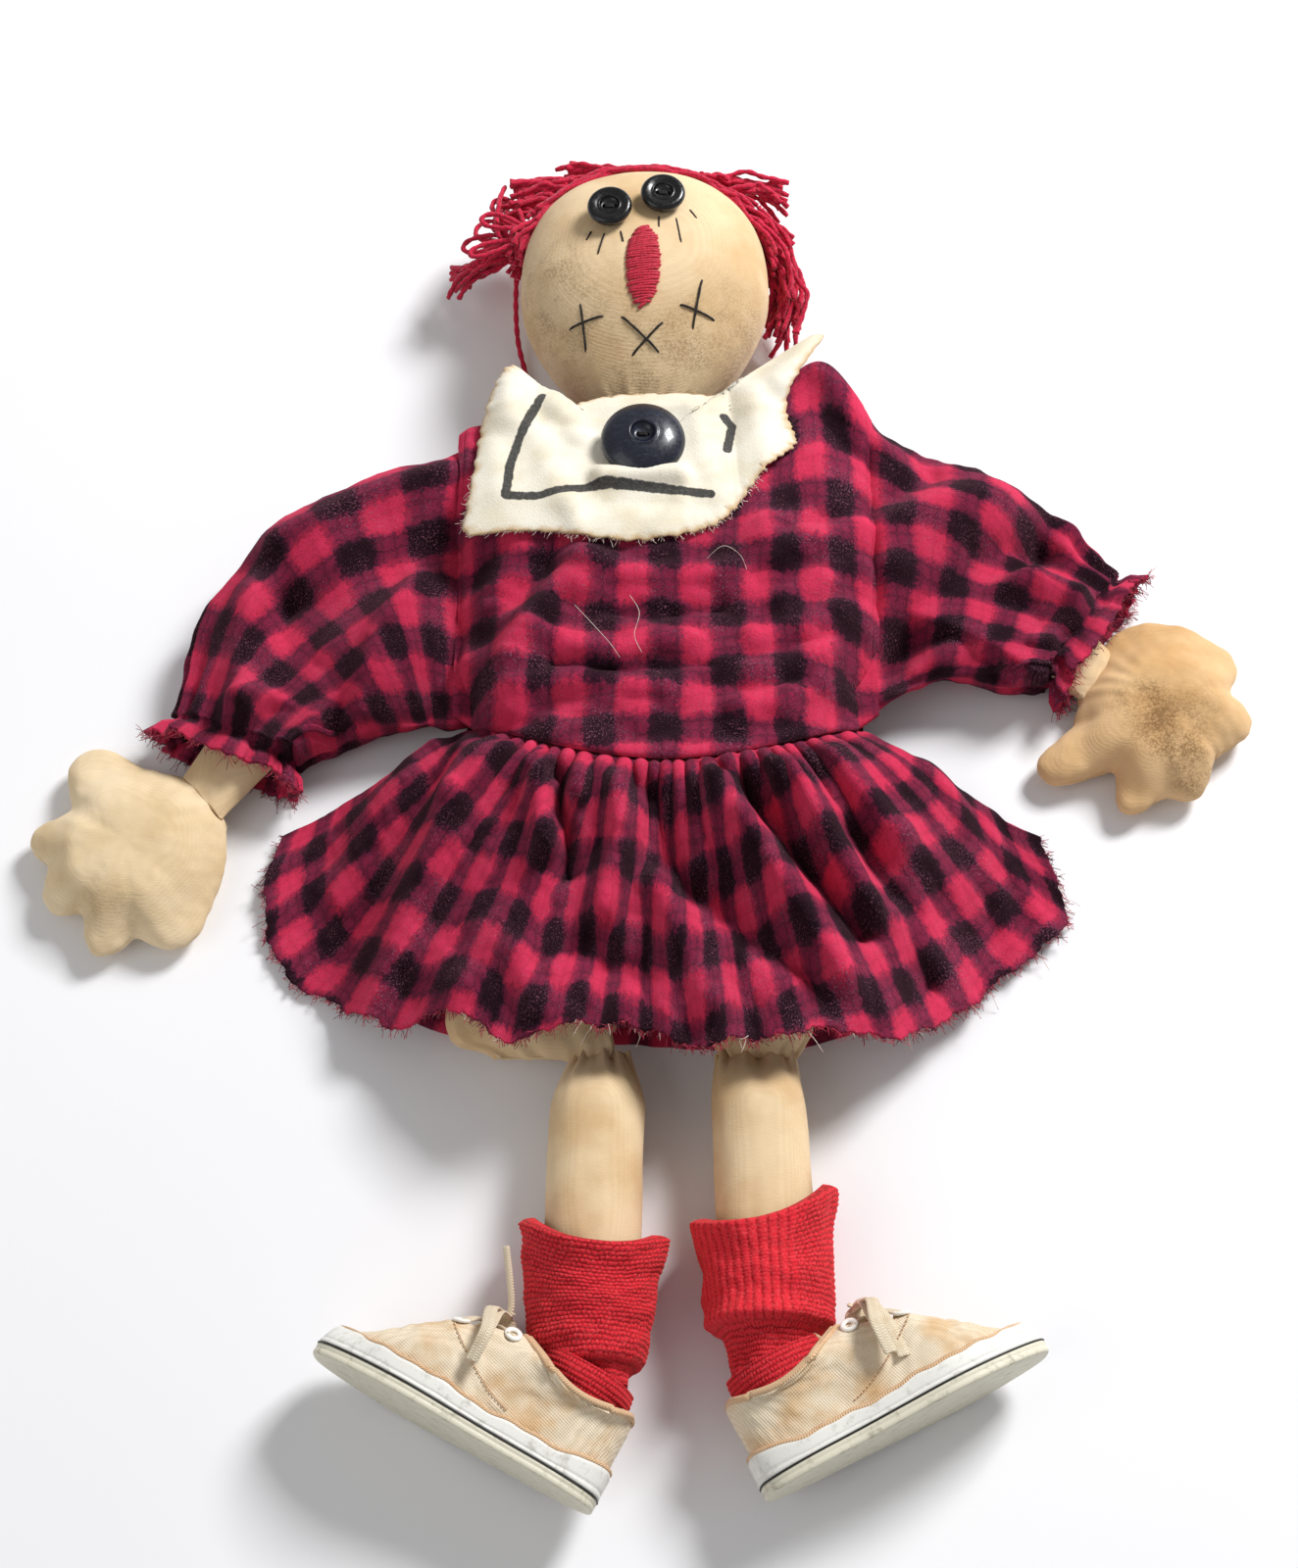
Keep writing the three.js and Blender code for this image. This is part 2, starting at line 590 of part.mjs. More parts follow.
// Bodice: front and back panels, open at the armholes and meeting at the side seams by the waist
const bodiceHalf = torso.width / 2 + bodice.ease;
const bodiceFrontTop = flannel + gap + torso.height + gap + bodice.rise;
const bodiceRoot = bodice.sideHeight;
const shoulderY = (side) => bodice.shoulder - bodice.shoulderDrop * Math.abs(side) ** 2;
const waistY = (side) => bodice.waist + bodice.waistCurve * Math.abs(side) ** 2;
const bodiceCrown = (t) => mix(1, 0.86, smooth(clamp((t - 0.7) / 0.3, 0, 1)));

function bodicePoint(side, t, top) {
  const x = bodice.shift + bodiceHalf * side;
  const y = mix(waistY(side), shoulderY(side), t);
  const opening = smooth(clamp(t / bodice.armholeFromShare, 0, 1));
  const edge = mix(bodiceRoot, bodice.armholeHeight, opening);
  const dome = (1 - Math.abs(side) ** bodice.cornerPower) ** (1 / bodice.cornerPower);
  return [x, y, top ? edge + (bodiceFrontTop * bodiceCrown(t) - edge) * dome : 0];
}

const spreadSides = (count) => Array.from({ length: count + 1 }, (_, i) => Math.sin((Math.PI / 2) * ((2 * i) / count - 1)));
const frontRows = Array.from({ length: 9 }, (_, r) => spreadSides(22).map((side) => bodicePoint(side, r / 8, true)));
const skyward = () => [0, 0, 1];
const keepY = (grid, base) => grid.map((row, r) => row.map(([x, , z], c) => [x, base[r][c][1], z]));
const frontOuter = keepY(offsetGrid(frontRows, flannel, skyward), frontRows);
const neckHole = solidFromRings(limbRings({
  at: (t) => [0, torsoTop + gap, mix(-overrun, bodiceFrontTop + overrun, t), 0, 0],
  steps: 1,
}).map((ring, k) => ring.map((_, i) => {
  const angle = (2 * Math.PI * i) / sidesLimb;
  const reachX = bodice.neckHalfWidth * Math.cos(angle);
  return [reachX, torsoTop + gap + bodice.neckDip * Math.sin(angle), k === 0 ? -overrun : 2 * bodiceFrontTop];
})));
const torsoGrown = torsoForm(gap);
add('bodice_front', cut(sheetFromGrids(frontOuter, frontRows), neckHole, torsoGrown), plaid);

const backRows = Array.from({ length: 4 }, (_, r) => spreadSides(14).map((side) => {
  const [x, y] = bodicePoint(side, r / 3, false);
  return [x, y, 0];
}));
const backOver = backRows.map((row) => row.map(([x, y]) => [x, y, flannel]));
add('bodice_back', cut(sheetFromGrids(backOver, backRows), neckHole, torsoGrown), plaid);

// Skirt: panels gathered at the waist seam that fan out to the hem in folds over the legs
function skirtPoint(side, t, reach, top) {
  const [x0, y0, z0] = bodicePoint(side, 0, top);
  const start = [x0, y0 - 2 * gap];
  const turn = radians(skirt.sideAngle + skirt.spread * (side + 1) / 2);
  const hem = reach * shareAt(skirt.reachShares, (side + 1) / 2);
  const end = [skirt.centre[0] + hem * Math.cos(turn), skirt.centre[1] + hem * Math.sin(turn)];
  const x = mix(start[0], end[0], t);
  const y = mix(start[1], end[1], t);
  if (!top) {
    return [x, y, 0];
  }
  const crest = skirt.crest * Math.exp(-(Math.abs((x - bodice.shift) / skirt.crestWidth) ** 4));
  const fold = skirt.foldHeight * t * Math.cos(Math.PI * skirt.folds * side) * (0.35 + (0.65 * crest) / skirt.crest);
  const low = mix(z0, Math.max(crest, skirt.edgeHeight), smooth(clamp(t * 1.2, 0, 1)));
  return [x, y, Math.max(low + fold + gap, skirt.edgeHeight)];
}
const evenSides = (count) => Array.from({ length: count + 1 }, (_, i) => (2 * i) / count - 1);
const skirtRows = Array.from({ length: 7 }, (_, r) => (
  evenSides(48).map((side) => skirtPoint(side, r / 6, skirt.reach, true))
));
const skirtOuter = offsetGrid(skirtRows, flannel, skyward);
skirtOuter[0] = keepY([skirtOuter[0]], [skirtRows[0]])[0];
add('skirt_front', sheetFromGrids(skirtOuter, skirtRows), plaid);

const skirtBackRows = Array.from({ length: 3 }, (_, r) => (
  evenSides(24).map((side) => skirtPoint(side, r / 2, skirt.backReach, false))
));
const skirtBackOver = skirtBackRows.map((row) => row.map(([x, y]) => [x, y, flannel]));
add('skirt_back', sheetFromGrids(skirtBackOver, skirtBackRows), plaid);

// The cloth's height under the collar
function chestHeight(x, y) {
  const t = clamp((y - bodice.waist) / (bodice.shoulder - bodice.waist), 0, 1);
  const side = clamp((collar.easeShare * (x - bodice.shift)) / bodiceHalf, -1, 1);
  const beyond = Math.max(y - bodice.shoulder, 0);
  return bodicePoint(side, t, true)[2] + flannel + collar.lift - beyond * collar.drapeShare;
}

// Collar: a raw-edged felt cape laid over the chest, its dome button sewn through it
function collarRing(share, up) {
  return Array.from({ length: sidesCollar }, (_, i) => {
    const angle = (2 * Math.PI * i) / sidesCollar;
    const reach = collar.reach * loopShareAt(collar.reachShares, i / sidesCollar) * share;
    const x = collar.middle[0] + reach * Math.cos(angle);
    const y = collar.middle[1] + reach * Math.sin(angle);
    return [x, y, chestHeight(x, y) + gap + up];
  });
}
const collarShares = [0.3, 0.6, 0.85, 1];
const collarForm = solidFromRings([
  ...collarShares.map((share) => collarRing(share, 0)),
  ...collarShares.slice().reverse().map((share) => collarRing(share, felt)),
]);
add('collar', cut(collarForm, headGrown, solidFromRings(limbRings({
  at: (t) => [0, mix(neckLow - overrun, headLow + overrun, t), neckCentre, neck.width / 2, neck.height / 2],
  steps: 2, grow: gap,
}))), cream);

const buttonSeat = Math.max(...[-1, 0, 1].flatMap((a) => [-1, 0, 1].map((b) => (
  chestHeight(collarButton.place[0] + (a * collarButton.width) / 2, collarButton.place[1] + (b * collarButton.width) / 2)
)))) + gap + felt + gap;
const domeRadius = collarButton.width / 2;
const domeProfile = [
  [0, 0], [domeRadius * 0.9, 0], [domeRadius, collarButton.thick * 0.2], [domeRadius * 0.93, collarButton.thick * 0.5],
  [domeRadius * 0.72, collarButton.thick * 0.8], [domeRadius * 0.42, collarButton.thick],
  [collarButton.dimple / 2, collarButton.thick - collarButton.dimpleDeep * 0.2],
  [collarButton.dimple * 0.4, collarButton.thick - collarButton.dimpleDeep],
  [0, collarButton.thick - collarButton.dimpleDeep],
];
const buttonHoles = twoHoles(collarButton.hole, collarButton.holeSpread, collarButton.thick);
const dome = cut(turned(domeProfile, 24), ...buttonHoles);
dome.translate(...collarButton.place, buttonSeat);
add('collar_button', dome, blackGloss);

// Sleeves: wide at the armhole, drawn in by elastic at the cuff, with a raw frill beyond it
const sleeveRoot = (side, sleeve) => [bodice.shift + side * (bodiceHalf + 2 * gap + flannel), sleeve.rootCentre];
function sleeveLine(side, sleeve, t) {
  const root = sleeveRoot(side, sleeve);
  const [a, b, c] = [(1 - t) ** 2, 2 * t * (1 - t), t ** 2];
  return [0, 1].map((axis) => a * root[axis] + b * sleeve.elbow[axis] + c * sleeve.cuff[axis]);
}

function sleeveRings(side, sleeve, wall) {
  const at = (t) => {
    const width = sleeve.rootWidth * shareAt(sleeve.widthShares, t);
    const height = mix(sleeves.height, sleeves.cuffHeight, smooth(clamp((t - 0.4) / 0.6, 0, 1)));
    const drawn = sleeves.cuffHeight / 2;
    return [...sleeveLine(side, sleeve, t), Math.max(height / 2, drawn), width / 2 - wall, height / 2 - wall];
  };
  const rings = limbRings({ at, sides: 16, steps: 8, cornerPower: 2.5, floor: wall, squareStart: [0, -side] });
  const last = rings[rings.length - 1];
  const inner = sleeveLine(side, sleeve, 0.98);
  const way = [sleeve.cuff[0] - inner[0], sleeve.cuff[1] - inner[1]];
  const run = Math.hypot(...way);
  const frill = last.map(([x, y, z]) => {
    const flare = 1 + (2 * sleeves.frillFlare) / sleeve.cuffWidth;
    return [
      sleeve.cuff[0] + (x - sleeve.cuff[0]) * flare + (way[0] / run) * sleeve.frillOut,
      sleeve.cuff[1] + (y - sleeve.cuff[1]) * flare + (way[1] / run) * sleeve.frillOut,
      Math.max(sleeves.cuffHeight / 2 + (z - sleeves.cuffHeight / 2) * flare, wall),
    ];
  });
  return [...rings, frill];
}

const sides = { right: -1, left: 1 };
for (const [name, side] of Object.entries(sides)) {
  const sleeve = sleeves[name];
  const hand = hands[name];
  const sleeveGeometry = wallFromRings(sleeveRings(side, sleeve, 0), sleeveRings(side, sleeve, flannel));
  add(`sleeve_${name}`, sleeveGeometry, plaid);

  // Arm: a slim stuffed limb from the torso's side seam to the crease at the wrist
  const creaseOut = hand.wristReach + gap;
  const wrist = [
    hand.centre[0] + Math.cos(radians(hand.wristAngle)) * creaseOut,
    hand.centre[1] + Math.sin(radians(hand.wristAngle)) * creaseOut,
  ];
  const seamAt = (y) => [side * (torsoAt((y - torso.low) / torso.length)[3] + crease.gap), y];
  const armRoot = seamAt(arm.root);
  const seamEnd = seamAt(arm.root + arm.width / 2);
  const seamRun = Math.hypot(seamEnd[0] - armRoot[0], seamEnd[1] - armRoot[1]);
  const seamWay = [-side * (seamEnd[0] - armRoot[0]) / seamRun, -side * (seamEnd[1] - armRoot[1]) / seamRun];
  const bend = sleeveLine(side, sleeve, 0.62);
  const armCentre = Math.max(sleeves.height * 0.5, flannel + gap + arm.height / 2);
  const armAt = (t) => {
    const [a, b, c] = [(1 - t) ** 2, 2 * t * (1 - t), t ** 2];
    return [
      a * armRoot[0] + b * bend[0] + c * wrist[0],
      a * armRoot[1] + b * bend[1] + c * wrist[1],
      mix(mix(torsoCentre, armCentre, smooth(clamp(4 * t, 0, 1))), hands.height / 2, smooth(clamp((t - 0.35) / 0.65, 0, 1))),
      (arm.width / 2) * shareAt(arm.widthShares, t),
      mix(
        crease.edge / 2, (arm.height / 2) * shareAt(arm.heightShares, t),
        Math.min(openFrom(t, arm.rootShare), openFrom(1 - t, arm.wristShare)),
      ),
    ];
  };
  const handReach = (angle) => {
    let reach = hand.palm;
    for (const [degrees, length, halfSpread] of hand.fingers) {
      const away = Math.abs(THREE.MathUtils.euclideanModulo((angle * 180) / Math.PI - degrees + 180, 360) - 180);
      reach += length * Math.exp(-((away / halfSpread) ** 2) * 1.4);
    }
    return reach;
  };
  const handForm = (grow) => pillow({
    middle: hand.centre, reach: (angle) => handReach(angle) + grow, low: -pressed - grow, high: hands.height + grow,
    sides: sidesHand, layers: 5, floor: -grow,
  });
  const wristWay = [-Math.sin(radians(hand.wristAngle)), Math.cos(radians(hand.wristAngle))];
  const armForm = solidFromRings(limbRings({ at: armAt, sides: 14, steps: 12, squareStart: seamWay, squareEnd: wristWay }));
  add(`arm_${name}`, cut(armForm, torsoGrown, handForm(gap)), muslin);
  add(`hand_${name}`, handForm(0), muslin);

  // Elastic: a flat band inside the cuff's casing
  const [bandOuter, bandInner] = [0, 1].map((wall) => {
    const rings = sleeveRings(side, sleeve, flannel + gap + wall * elastic.thick);
    const from = rings[rings.length - 3];
    const to = rings[rings.length - 2];
    return [0.35, 0.68].map((share) => from.map((p, i) => p.map((value, axis) => mix(value, to[i][axis], share))));
  });
  add(`cuff_elastic_${name}`, wallFromRings(bandOuter, bandInner), whiteElastic);
}

// Leg seam: the flattened tops of both legs, caught together in the torso's bottom seam
const seamTop = torso.low - crease.gap;
const seamLow = seamTop - legSeam.depth;
add('leg_seam_strip', solidFromRings(limbRings({
  at: (t) => [0, mix(seamTop, seamLow, t), torsoCentre, legSeam.width / 2, legSeam.height / 2],
  steps: 2,
})), muslin);

// Thighs, shins, socks and feet
const shinHeight = sock.wall + gap + shins.height / 2;
for (const name of Object.keys(sides)) {
  const thigh = thighs[name];
  const thighTop = seamLow - crease.gap;
  const thighAt = (t) => [
    mix(thigh.hip, thigh.knee, t) + thigh.lean * Math.sin(Math.PI * t) ** 1.5,
    mix(thighTop, thighs.low, t),
    mix(mix(torsoCentre, thighs.centreHeight, smooth(clamp(2 * t, 0, 1))), shinHeight, smooth(clamp(3 * t - 2, 0, 1))),
    (thigh.width / 2) * shareAt(thigh.widthShares, t),
    mix(crease.edge / 2, thighs.height / 2, Math.min(
      openFrom(thighTop - mix(thighTop, thighs.low, t), thighs.seamRun),
      openFrom(mix(thighTop, thighs.low, t) - thighs.low, thighs.kneeRun),
    )),
  ];
  add(`thigh_${name}`, solidFromRings(limbRings({
    at: thighAt, steps: 9, squareStart: [-1, 0], squareEnd: [-1, 0],
  })), muslin);

  const shin = shins[name];
  const shinTop = thighs.low - crease.gap;
  const shinAt = (t) => [
    mix(shin.knee, shin.ankle, t),
    mix(shinTop, shins.low, t),
    shinHeight,
    (shins.width / 2) * shareAt(shins.widthShares, t),
    mix(
      crease.edge / 2, (shins.height / 2) * shareAt(shins.heightShares, t),
      openFrom(t * (shinTop - shins.low), shins.kneeRun),
    ),
  ];
  add(`shin_${name}`, solidFromRings(limbRings({
    at: shinAt, steps: 9, squareStart: [-1, 0], squareEnd: [-1, 0],
  })), muslin);

  const sockRings = (wall) => {
    const { cuffTop, cuffLow, low } = sock[name];
    const stops = [cuffTop, cuffTop - sock.cuffWall / 2, mix(cuffTop, cuffLow, 0.5), cuffLow, cuffLow - gap, low];
    return stops.map((y, k) => {
      const t = (y - shinTop) / (shins.low - shinTop);
      const [x, , , halfWidth] = shinAt(clamp(t, 0, 1));
      const thick = [0.6, 1, 1, 1, sock.wall / sock.cuffWall, sock.wall / sock.cuffWall][k] * sock.cuffWall * wall;
      const base = halfWidth + 3 * gap;
      return Array.from({ length: sidesLimb }, (_, i) => {
        const angle = (2 * Math.PI * i) / sidesLimb;
        const out = base + thick;
        return [x + out * Math.cos(angle), y, Math.max(shinHeight + out * Math.sin(angle), 0)];
      });
    });
  };
  add(`sock_${name}`, wallFromRings(sockRings(1), sockRings(0)), redKnit);
}

// Shoe outline: the sole's half width along its length, walked round by an angle that starts at the heel
const soleHalfWidth = (s) => (shoe.width / 2) * shareAt(shoe.widthShares, s / shoe.length);
function soleOutline(angle, inset) {
  const s = inset + ((shoe.length - 2 * inset) * (1 - Math.cos(angle))) / 2;
  const across = signedPower(Math.sin(angle), 0.62) * (soleHalfWidth(s) - inset);
  return [s, across];
}
const shoeAngles = Array.from({ length: sidesShoe }, (_, i) => (2 * Math.PI * (i + 0.5)) / sidesShoe);
const soleRing = (inset, height) => shoeAngles.map((angle) => {
  const [s, w] = soleOutline(angle, inset);
  return [s, typeof height === 'function' ? height(s) : height, w];
});
const toeShare = (s) => smooth(clamp((s / shoe.length - 0.8) / 0.15, 0, 1));
const foxingTop = (s) => shoe.sole + gap + shoe.foxing + shoe.toeRise * toeShare(s);
const openingEnd = shoe.heelInset + shoe.collarLength + shoe.throatLength;
function toplineHeight(s) {
  const along = clamp((s - shoe.heelInset) / shoe.collarLength, 0, 1);
  const throat = clamp((s - shoe.heelInset - shoe.collarLength) / shoe.throatLength, 0, 1);
  const rim = mix(shoe.heelHeight, shoe.frontHeight, smooth(along)) - shoe.quarterDip * Math.sin(Math.PI * along);
  return rim - shoe.throatDrop * throat;
}
function toplineHalfWidth(s) {
  const throat = smooth(clamp((s - shoe.collarLength * 0.75) / (shoe.collarLength * 0.4), 0, 1));
  return mix(shoe.collarWidth, shoe.throatWidth, throat) / 2;
}
// The upper's surface: from the foxing it climbs steeply and then turns in to the topline
function upperPoint(angle, climb) {
  const [s0, w0] = soleOutline(angle, shoe.foxingWall + gap);
  const s1 = shoe.heelInset + ((openingEnd - shoe.heelInset) * (1 - Math.cos(angle))) / 2;
  const w1 = signedPower(Math.sin(angle), 0.5) * toplineHalfWidth(s1);
  const inward = (1 - Math.cos(climb)) ** 1.15;
  const low = shoe.sole + gap + shoe.insole + gap;
  const s = mix(s0, s1, inward);
  return [s, mix(low, toplineHeight(s1), Math.sin(climb)), mix(w0, w1, inward)];
}
const upperLayers = 5;
const upperOuter = Array.from({ length: upperLayers + 1 }, (_, k) => (
  shoeAngles.map((angle) => upperPoint(angle, ((Math.PI / 2) * k) / upperLayers))
));
const fromMiddle = ([s, , w]) => [s - openingEnd / 2, shoe.canvas, w];
const upperInner = offsetGrid(upperOuter, -shoe.canvas, fromMiddle, true);

function bentStrip(points, width, thick, across = [0, 0, 1]) {
  const curve = new THREE.CatmullRomCurve3(points.map((p) => new THREE.Vector3(...p)));
  const steps = points.length + 2;
  const side = new THREE.Vector3(...across).multiplyScalar(width / 2);
  const rings = [];
  for (let k = 0; k <= steps; k += 1) {
    const middle = curve.getPointAt(k / steps);
    const lift = new THREE.Vector3().crossVectors(curve.getTangentAt(k / steps), side).setLength(thick / 2);
    rings.push([[1, 1], [1, -1], [-1, -1], [-1, 1]].map(([a, b]) => (
      middle.clone().addScaledVector(side, a).addScaledVector(lift, b).toArray()
    )));
  }
  return solidFromRings(rings);
}

// One shoe; inner is +1 where the inner side is at +Z of the shoe's frame
function makeShoe(name, inner) {
  const place = shoePlaces[name];
  const along = [Math.cos(radians(place.toeDegrees)), Math.sin(radians(place.toeDegrees)), 0];
  const up = [-inner * along[1], inner * along[0], 0];
  const basis = new THREE.Matrix4().makeBasis(
    new THREE.Vector3(...along), new THREE.Vector3(...up), new THREE.Vector3(0, 0, inner),
  );
  const group = new THREE.Group();
  group.position.set(place.heel[0], place.heel[1], shoe.width / 2 - pressed);
  group.quaternion.setFromRotationMatrix(basis);
  doll.add(group);

  const floorCut = (rings) => rings.map((ring) => ring.map(([s, h, w]) => [
    s, h, inner * Math.max(w, pressed - shoe.width / 2),
  ]));
  const put = (piece, geometry, material) => add(`${piece}_${name}`, geometry, material, group);
  put('shoe_outsole', solidFromRings(floorCut([
    soleRing(shoe.soleRound, 0), soleRing(0, shoe.sole * 0.4), soleRing(0, shoe.sole),
  ])), greenRubber);
  put('shoe_foxing', wallFromRings(
    floorCut([soleRing(0, shoe.sole + gap), soleRing(0, foxingTop)]),
    floorCut([soleRing(shoe.foxingWall, shoe.sole + gap), soleRing(shoe.foxingWall, foxingTop)]),
  ), whiteRubber);
  const insoleInset = shoe.foxingWall + gap;
  put('shoe_insole', solidFromRings([
    soleRing(insoleInset, shoe.sole + gap), soleRing(insoleInset, shoe.sole + gap + shoe.insole),
  ]), cream);
  put('shoe_upper', wallFromRings(upperOuter, upperInner), canvas);

  // Foot: a stuffed sole part and an instep that rises to the crease at the ankle
  const footLow = shoe.sole + gap + shoe.insole + gap;
  const footPart = solidFromRings(limbRings({
    at: (t) => [
      mix(foot.heel, foot.heel + foot.length, t), footLow + gap + foot.height / 2, 0,
      (foot.height / 2) * shareAt(foot.heightShares, t), (foot.width / 2) * shareAt(foot.widthShares, t),
    ],
    sides: 8, steps: 6,
  }));
  const instep = solidFromRings(limbRings({
    at: (t) => [
      foot.ankle + foot.height * 0.1 * (1 - t), mix(footLow + foot.height / 2, foot.ankleHeight, t), 0,
      (foot.ankleWidth / 2) * shareAt(foot.instepShares, t), (foot.ankleWidth / 2) * mix(0.95, 0.8, t),
    ],
    sides: 8, steps: 3,
  }));
  put('foot', join(footPart, instep), muslin);

  // Tongue: a padded strip under the throat, its tip just clear of it
  const tongueHeight = (s) => toplineHeight(s) - shoe.canvas - tongue.thick / 2 - tongue.clear;
  const tongueFrom = openingEnd + tongue.tuck;
  const tongueTo = shoe.heelInset + shoe.collarLength;
  put('shoe_tongue', bentStrip([
    [tongueFrom, tongueHeight(tongueFrom) - tongue.thick / 3, 0],
    [mix(tongueFrom, tongueTo, 0.5), tongueHeight(mix(tongueFrom, tongueTo, 0.5)), 0],
    [tongueTo + tongue.thick, tongueHeight(tongueTo), 0],
    [tongueTo + tongue.thick + tongue.lean, tongueHeight(tongueTo) + tongue.standing, 0],
  ], shoe.throatWidth - 4 * gap, tongue.thick), canvas);

  // Eyelets: enamelled rings, two pairs beside the throat
  const eyeletSeats = {};
  for (const [end, s] of [['front', eyelet.front], ['rear', eyelet.front - eyelet.spacing]]) {
    const angle = Math.acos(1 - (2 * (s - shoe.heelInset)) / (openingEnd - shoe.heelInset));
    for (const [edge, sign] of [['inner', inner], ['outer', -inner]]) {
      const turn = sign * angle;
      const at = new THREE.Vector3(...upperPoint(turn, eyelet.climb));
      const upward = new THREE.Vector3(...upperPoint(turn, eyelet.climb + 0.05)).sub(at);
      const onward = new THREE.Vector3(...upperPoint(turn + 0.05, eyelet.climb)).sub(at);
      const normal = upward.cross(onward).normalize();
      normal.multiplyScalar(Math.sign(normal.y));
      const ring = new THREE.TorusGeometry((eyelet.width + eyelet.bore) / 4, (eyelet.width - eyelet.bore) / 4, 4, 10);
      ring.scale(1, 1, (2 * eyelet.thick) / (eyelet.width - eyelet.bore));
      const seat = new THREE.Group();
      seat.position.copy(at).addScaledVector(normal, gap + eyelet.thick / 2);
      seat.quaternion.setFromUnitVectors(new THREE.Vector3(0, 0, 1), normal);
      group.add(seat);
      add(`eyelet_${end}_${edge}_${name}`, ring, whiteEnamel, seat);
      eyeletSeats[`${end}_${edge}`] = at.clone().addScaledVector(normal, gap + eyelet.thick + lace.thick / 2 + lace.rise);
    }
  }

  // Lace: a bar over the throat at the front, a crossing to the rear pair, and a knot
  const ridge = (a, b) => {
    const middle = a.clone().add(b).multiplyScalar(0.5);
    const top = toplineHeight(middle.x) + lace.lift;
    const shoulder = (end) => [mix(end.x, middle.x, 0.5), Math.max(end.y, top), mix(end.z, middle.z, 0.5)];
    return [a.toArray(), shoulder(a), [middle.x, top, middle.z], shoulder(b), b.toArray()];
  };
  const strips = [
    ['front_inner', 'front_outer'], ['front_inner', 'rear_outer'], ['front_outer', 'rear_inner'],
  ].map(([from, to]) => (
    bentStrip(ridge(eyeletSeats[from], eyeletSeats[to]), lace.width, lace.thick, [1, 0, 0])
  ));
  const knotAt = [eyelet.front - eyelet.spacing + lace.knotAhead, 0, 0];
  knotAt[1] = toplineHeight(knotAt[0]) + lace.lift + lace.knot / 3;
  const knot = new THREE.SphereGeometry(lace.knot / 2, 8, 6);
  knot.translate(...knotAt);
  put('lace', join(...strips, knot), cream);

  // Bow: two loops and two ends that leave the top of the knot
  const bowTop = knotAt[1] + lace.knot / 2 + bow.rise;
  const bowPath = (shares) => shares.map(([ahead, drop, out]) => [
    knotAt[0] + ahead * bow.loop, bowTop - drop * bow.loop, inner * out * bow.loop,
  ]);
  const bowStrips = [
    [[0, 0, -0.12], [0.1, 0.04, 0.3], [0.06, 0.3, 0.62], [0, 0.82, 0.84]],
    [[0, 0.82, 0.84], [0.02, 0.42, 0.88], [0.16, 0.08, 0.5], [0.02, 0, -0.05]],
    [[0, 0, 0.12], [0.1, -0.06, -0.3], [0.12, 0.2, -0.7]],
    [[0, 0, 0.1], [0.08, -0.2, 0.16], [0.5, -0.85, 0.42]],
  ].map((shares) => bentStrip(bowPath(shares), bow.width, bow.thick, [1, 0, 0]));
  put('bow', join(...bowStrips), cream);
}

makeShoe('right', -1);
makeShoe('left', 1);

export default doll;
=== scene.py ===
"""Looks of the rag doll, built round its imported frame. Shapes are worked out in millimetres, with the doll on
its back, its head to +Y, its face to +Z and its own left hand to +X, and go into the meshes in metres."""

import bpy
import numpy as np
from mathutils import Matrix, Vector


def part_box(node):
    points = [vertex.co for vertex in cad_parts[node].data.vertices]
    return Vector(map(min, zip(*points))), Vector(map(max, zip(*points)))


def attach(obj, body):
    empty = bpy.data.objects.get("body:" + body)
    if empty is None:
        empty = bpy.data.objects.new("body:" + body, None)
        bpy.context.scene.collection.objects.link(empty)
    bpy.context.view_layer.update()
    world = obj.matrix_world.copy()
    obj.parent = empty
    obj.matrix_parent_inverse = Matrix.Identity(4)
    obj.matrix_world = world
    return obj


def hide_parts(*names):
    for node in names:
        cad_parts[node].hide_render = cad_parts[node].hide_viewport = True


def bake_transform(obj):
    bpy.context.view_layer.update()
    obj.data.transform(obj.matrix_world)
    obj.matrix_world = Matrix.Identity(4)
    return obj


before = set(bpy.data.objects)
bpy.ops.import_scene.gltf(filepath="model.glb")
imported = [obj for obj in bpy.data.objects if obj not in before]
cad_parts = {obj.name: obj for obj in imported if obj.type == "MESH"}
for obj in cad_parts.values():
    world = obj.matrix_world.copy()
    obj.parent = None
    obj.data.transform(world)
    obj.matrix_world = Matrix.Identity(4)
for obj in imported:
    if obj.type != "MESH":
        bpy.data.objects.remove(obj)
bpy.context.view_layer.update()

MM = 0.001
TURN = 2 * np.pi
GAP = 0.3
SEAM_HALF = 0.3
SIDES = {"right": -1, "left": 1}

# Sums on shares, steps and noise


def mix(a, b, t):
    return a + (b - a) * t


def stacked(*parts):
    """Coordinates side by side along a last axis, each spread over the shape that they share."""
    return np.stack(np.broadcast_arrays(*parts), -1)


def smooth(t):
    t = np.clip(t, 0, 1)
    return t * t * (3 - 2 * t)


def signed_power(value, power):
    return np.sign(value) * np.abs(value) ** power


def bump_at(distance, width):
    """A rounded bump: the exponent of minus the square of distance over width."""
    return np.exp(-((distance / width) ** 2))


def share_at(shares, t):
    """A smooth curve through evenly spaced shares (cubic, through each share), read at t from 0 to 1."""
    shares = np.asarray(shares, float)
    last = len(shares) - 1
    place = np.clip(t, 0, 1) * last
    i = np.minimum(np.floor(place).astype(int), last - 1)
    f = place - i
    a, b, c, d = (shares[np.clip(i + step, 0, last)] for step in (-1, 0, 1, 2))
    return b + f * ((c - a) / 2 + f * (a - 2.5 * b + 2 * c - d / 2 + f * ((3 * (b - c) + d - a) / 2)))


